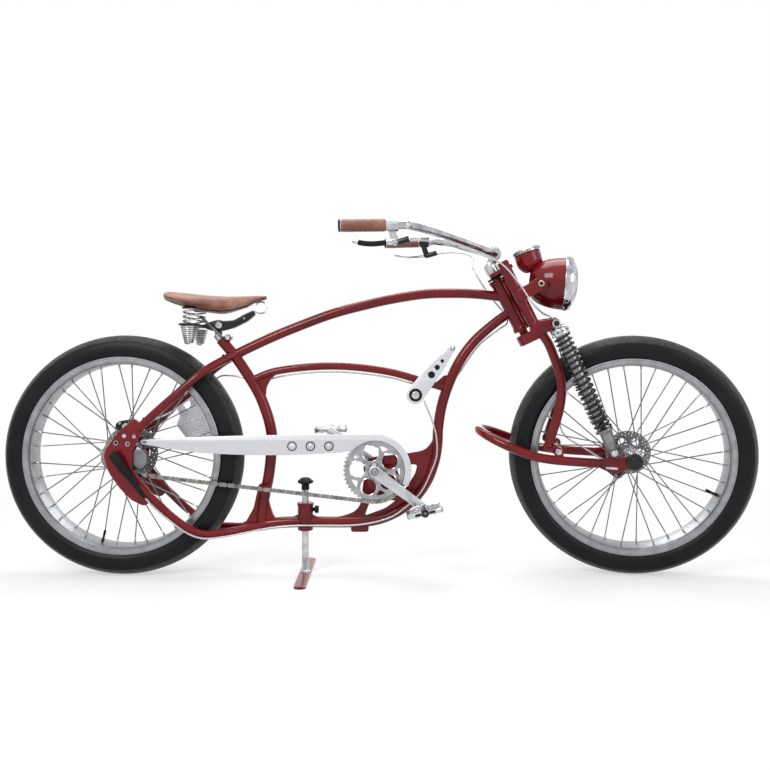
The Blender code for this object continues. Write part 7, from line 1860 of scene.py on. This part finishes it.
add_piece("swingarm_bolts", CHROME, "swingarm", *bolts)
axle_cap = mm(0, 0.3, 22.5, 0.3, 23.5, 1.4, 23.3, 3.6, 20.5, 6.2, 12, 7.8, 10.8, 9.8, 6, 10.4, 0, 10.6)
add_piece("front_axle_rod", BLACK_PAINT, "swingarm",
          cross_rod(FRONT_AXLE, -SWING_FACE - 0.0005, SWING_FACE + 0.0005, 0.0055, 28),
          *(crosswise(axle_cap, FRONT_AXLE, sign * SWING_FACE, sign, 48, 0.0004) for sign in (-1, 1)),
          stands_for="front_axle")

# %% Shocks
SPRING_SEAT = 0.034


def shock_eye(bore):
    """The outline of the eye at either end of a shock."""
    half = SHOCK_EYE_HALF
    return both_ends(np.array([(bore, half), (0.0108, half), (0.0115, half - 0.001)]))


for sign, name in SIDES:
    top, foot = flat(SHOCK_TOP, sign * SHOCK_SIDE), flat(SHOCK_FOOT, sign * SHOCK_SIDE)
    length = np.linalg.norm(foot - top)
    down = (foot - top) / length
    lower = length - 0.072
    upper_body, slider_body = "shock_upper_" + name, "shock_slider_" + name
    cap = mm(0, 6.2, 10, 6.2, 10.5, 12.5, 18, 13.8, 23.2, 15.8, 24.6, 18.2, 24.8, 20.5, 24.8, 32.5, 24.2,
             33.9, 0, 33.9)
    tube = np.vstack([mm(0, 33, 15, 33), mm(15, -27.5, 14.3, -26.5, 7.8, -26.5) + (0, lower),
                      mm(7.8, 145, 0, 145)])
    piston = np.vstack([mm(0, 170, 6.6, 170, 7, 170.6), mm(7, 2, 0, 2) + (0, lower)])
    stub = np.vstack([mm(0, 0, 24, 0, 24.8, 1, 24.8, 6.2, 23.8, 7.4, 17.5, 9, 16, 11.5) + (0, lower),
                      mm(15.8, -34, 11.2, -17, 8, -7, 0, -7) + (0, length)])
    add_piece("shock_cap_" + name, CHROME, upper_body,
              crosswise(shock_eye(0.0047), SHOCK_TOP, sign * SHOCK_SIDE, 1, 48, closed=True),
              lathe(cap, top, down, 64, 0.0004), stands_for=upper_body)
    add_piece("shock_tube_" + name, STEEL, upper_body, lathe(tube, top, down, 48, 0.0004))
    outward = circling(*axis_frame(down)[1:], np.radians(np.arange(0, 360, 36.0)))
    slot_middle = top + down * 0.0245 + outward * 0.0236
    slot_reach = np.cross(outward, down) * 0.0036
    add_piece("shock_cap_slots_" + name, BLACK_PLASTIC, upper_body,
              copies(unit_rod(0.0021, 14), slot_middle - slot_reach, slot_middle + slot_reach))
    add_piece("shock_piston_" + name, DARK_STEEL, slider_body, lathe(piston, top, down, 32, 0.0004))
    add_piece("shock_rod_" + name, STEEL, slider_body, lathe(stub, top, down, 64, 0.0004),
              crosswise(shock_eye(0.0054), SHOCK_FOOT, sign * SHOCK_SIDE, 1, 48, closed=True),
              stands_for=slider_body)
    spring = coil(top + down * (SPRING_SEAT + 0.0003), top + down * (lower - 0.0003), (0.0214, 0.0214),
                  0.0034, 18, 14, 0.10)
    item = add_piece("shock_coil_" + name, BLACK_SPRING, upper_body, spring, stands_for="shock_spring_" + name)
    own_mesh(item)

# %% [markdown]
# ## Hoses and the shift cable
# Each is a thin steel braid along a smooth curve through measured points. The part of
# the rear hose on the bars is given straight ahead and turned; the rest lies on the
# frame.

# %% Braided hoses
FRONT_HOSE = mm3(
    341.4, -329.2, 944.8, 372, -309, 947, 420, -230, 944, 470, -130, 931, 520, -94, 917, 572, -86, 892, 618,
    -87, 840, 655, -84, 785, 684, -60, 756, 704, -32, 746, 714, 0, 738, 722, 28, 716, 730, 48, 682, 741, 60,
    634, 755, 64, 578, 758, 66, 520, 749, 66, 464, 742, 62, 420, 760, 58, 385, 808, 58, 355, 860, 58, 323.4,
    873, 58, 313.2)
REAR_HOSE_ON_BARS = mm3(341.4, 329.2, 944.8, 372, 309, 947, 412, 240, 944, 456, 150, 934, 480, 90, 918)
REAR_HOSE_ON_FRAME = mm3(
    492, 56, 892, 512, 42, 850, 545, 36, 800, 571.5, 34.5, 768, 588, 26.5, 745, 585, 15, 724.5, 562, 6.5, 708,
    506.5, 4, 664, 467, 6, 612, 449, 19, 582, 424, 21, 554, 398, 19, 541, 360, 14, 539, 300, 3, 553, 245, 0,
    567.5, 155, 0, 580, 77, 0, 584, -7, 0, 580, -70, 7, 571, -118, 21.5, 561, -165, 22.5, 562, -205, 26, 571,
    -244, 36, 573, -268, 48, 564, -300, 53, 541, -350, 55, 503, -403, 58, 466, -450, 60, 444, -487.7, 58,
    432.3, -503.3, 58, 429.9)
HOSE_RADIUS = 0.0025
HOSES = (
    # name, route, and for a hose that bends its two bodies and the heights between which it does
    ("front_brake_hose", steered(FRONT_HOSE), ("steering", "swingarm", 0.470, 0.330)),
    ("rear_brake_hose", np.vstack([steered(REAR_HOSE_ON_BARS), REAR_HOSE_ON_FRAME]),
     ("steering", "frame", 0.900, 0.700)),
    ("shift_cable", SHIFT_CABLE, None),
)
for name, route, bends in HOSES:
    line = catmull(route, 12)
    item = add_piece(name + "_braid", BRAID, None if bends else "frame", sweep(line, HOSE_RADIUS, 20),
                     stands_for=name, smooth_deg=60)
    length = float(line_length(line)[-1])
    if bends:
        upper_body, lower_body, high, low = bends
        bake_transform(item)
    print(name, "is", round(length, 3), "m long")
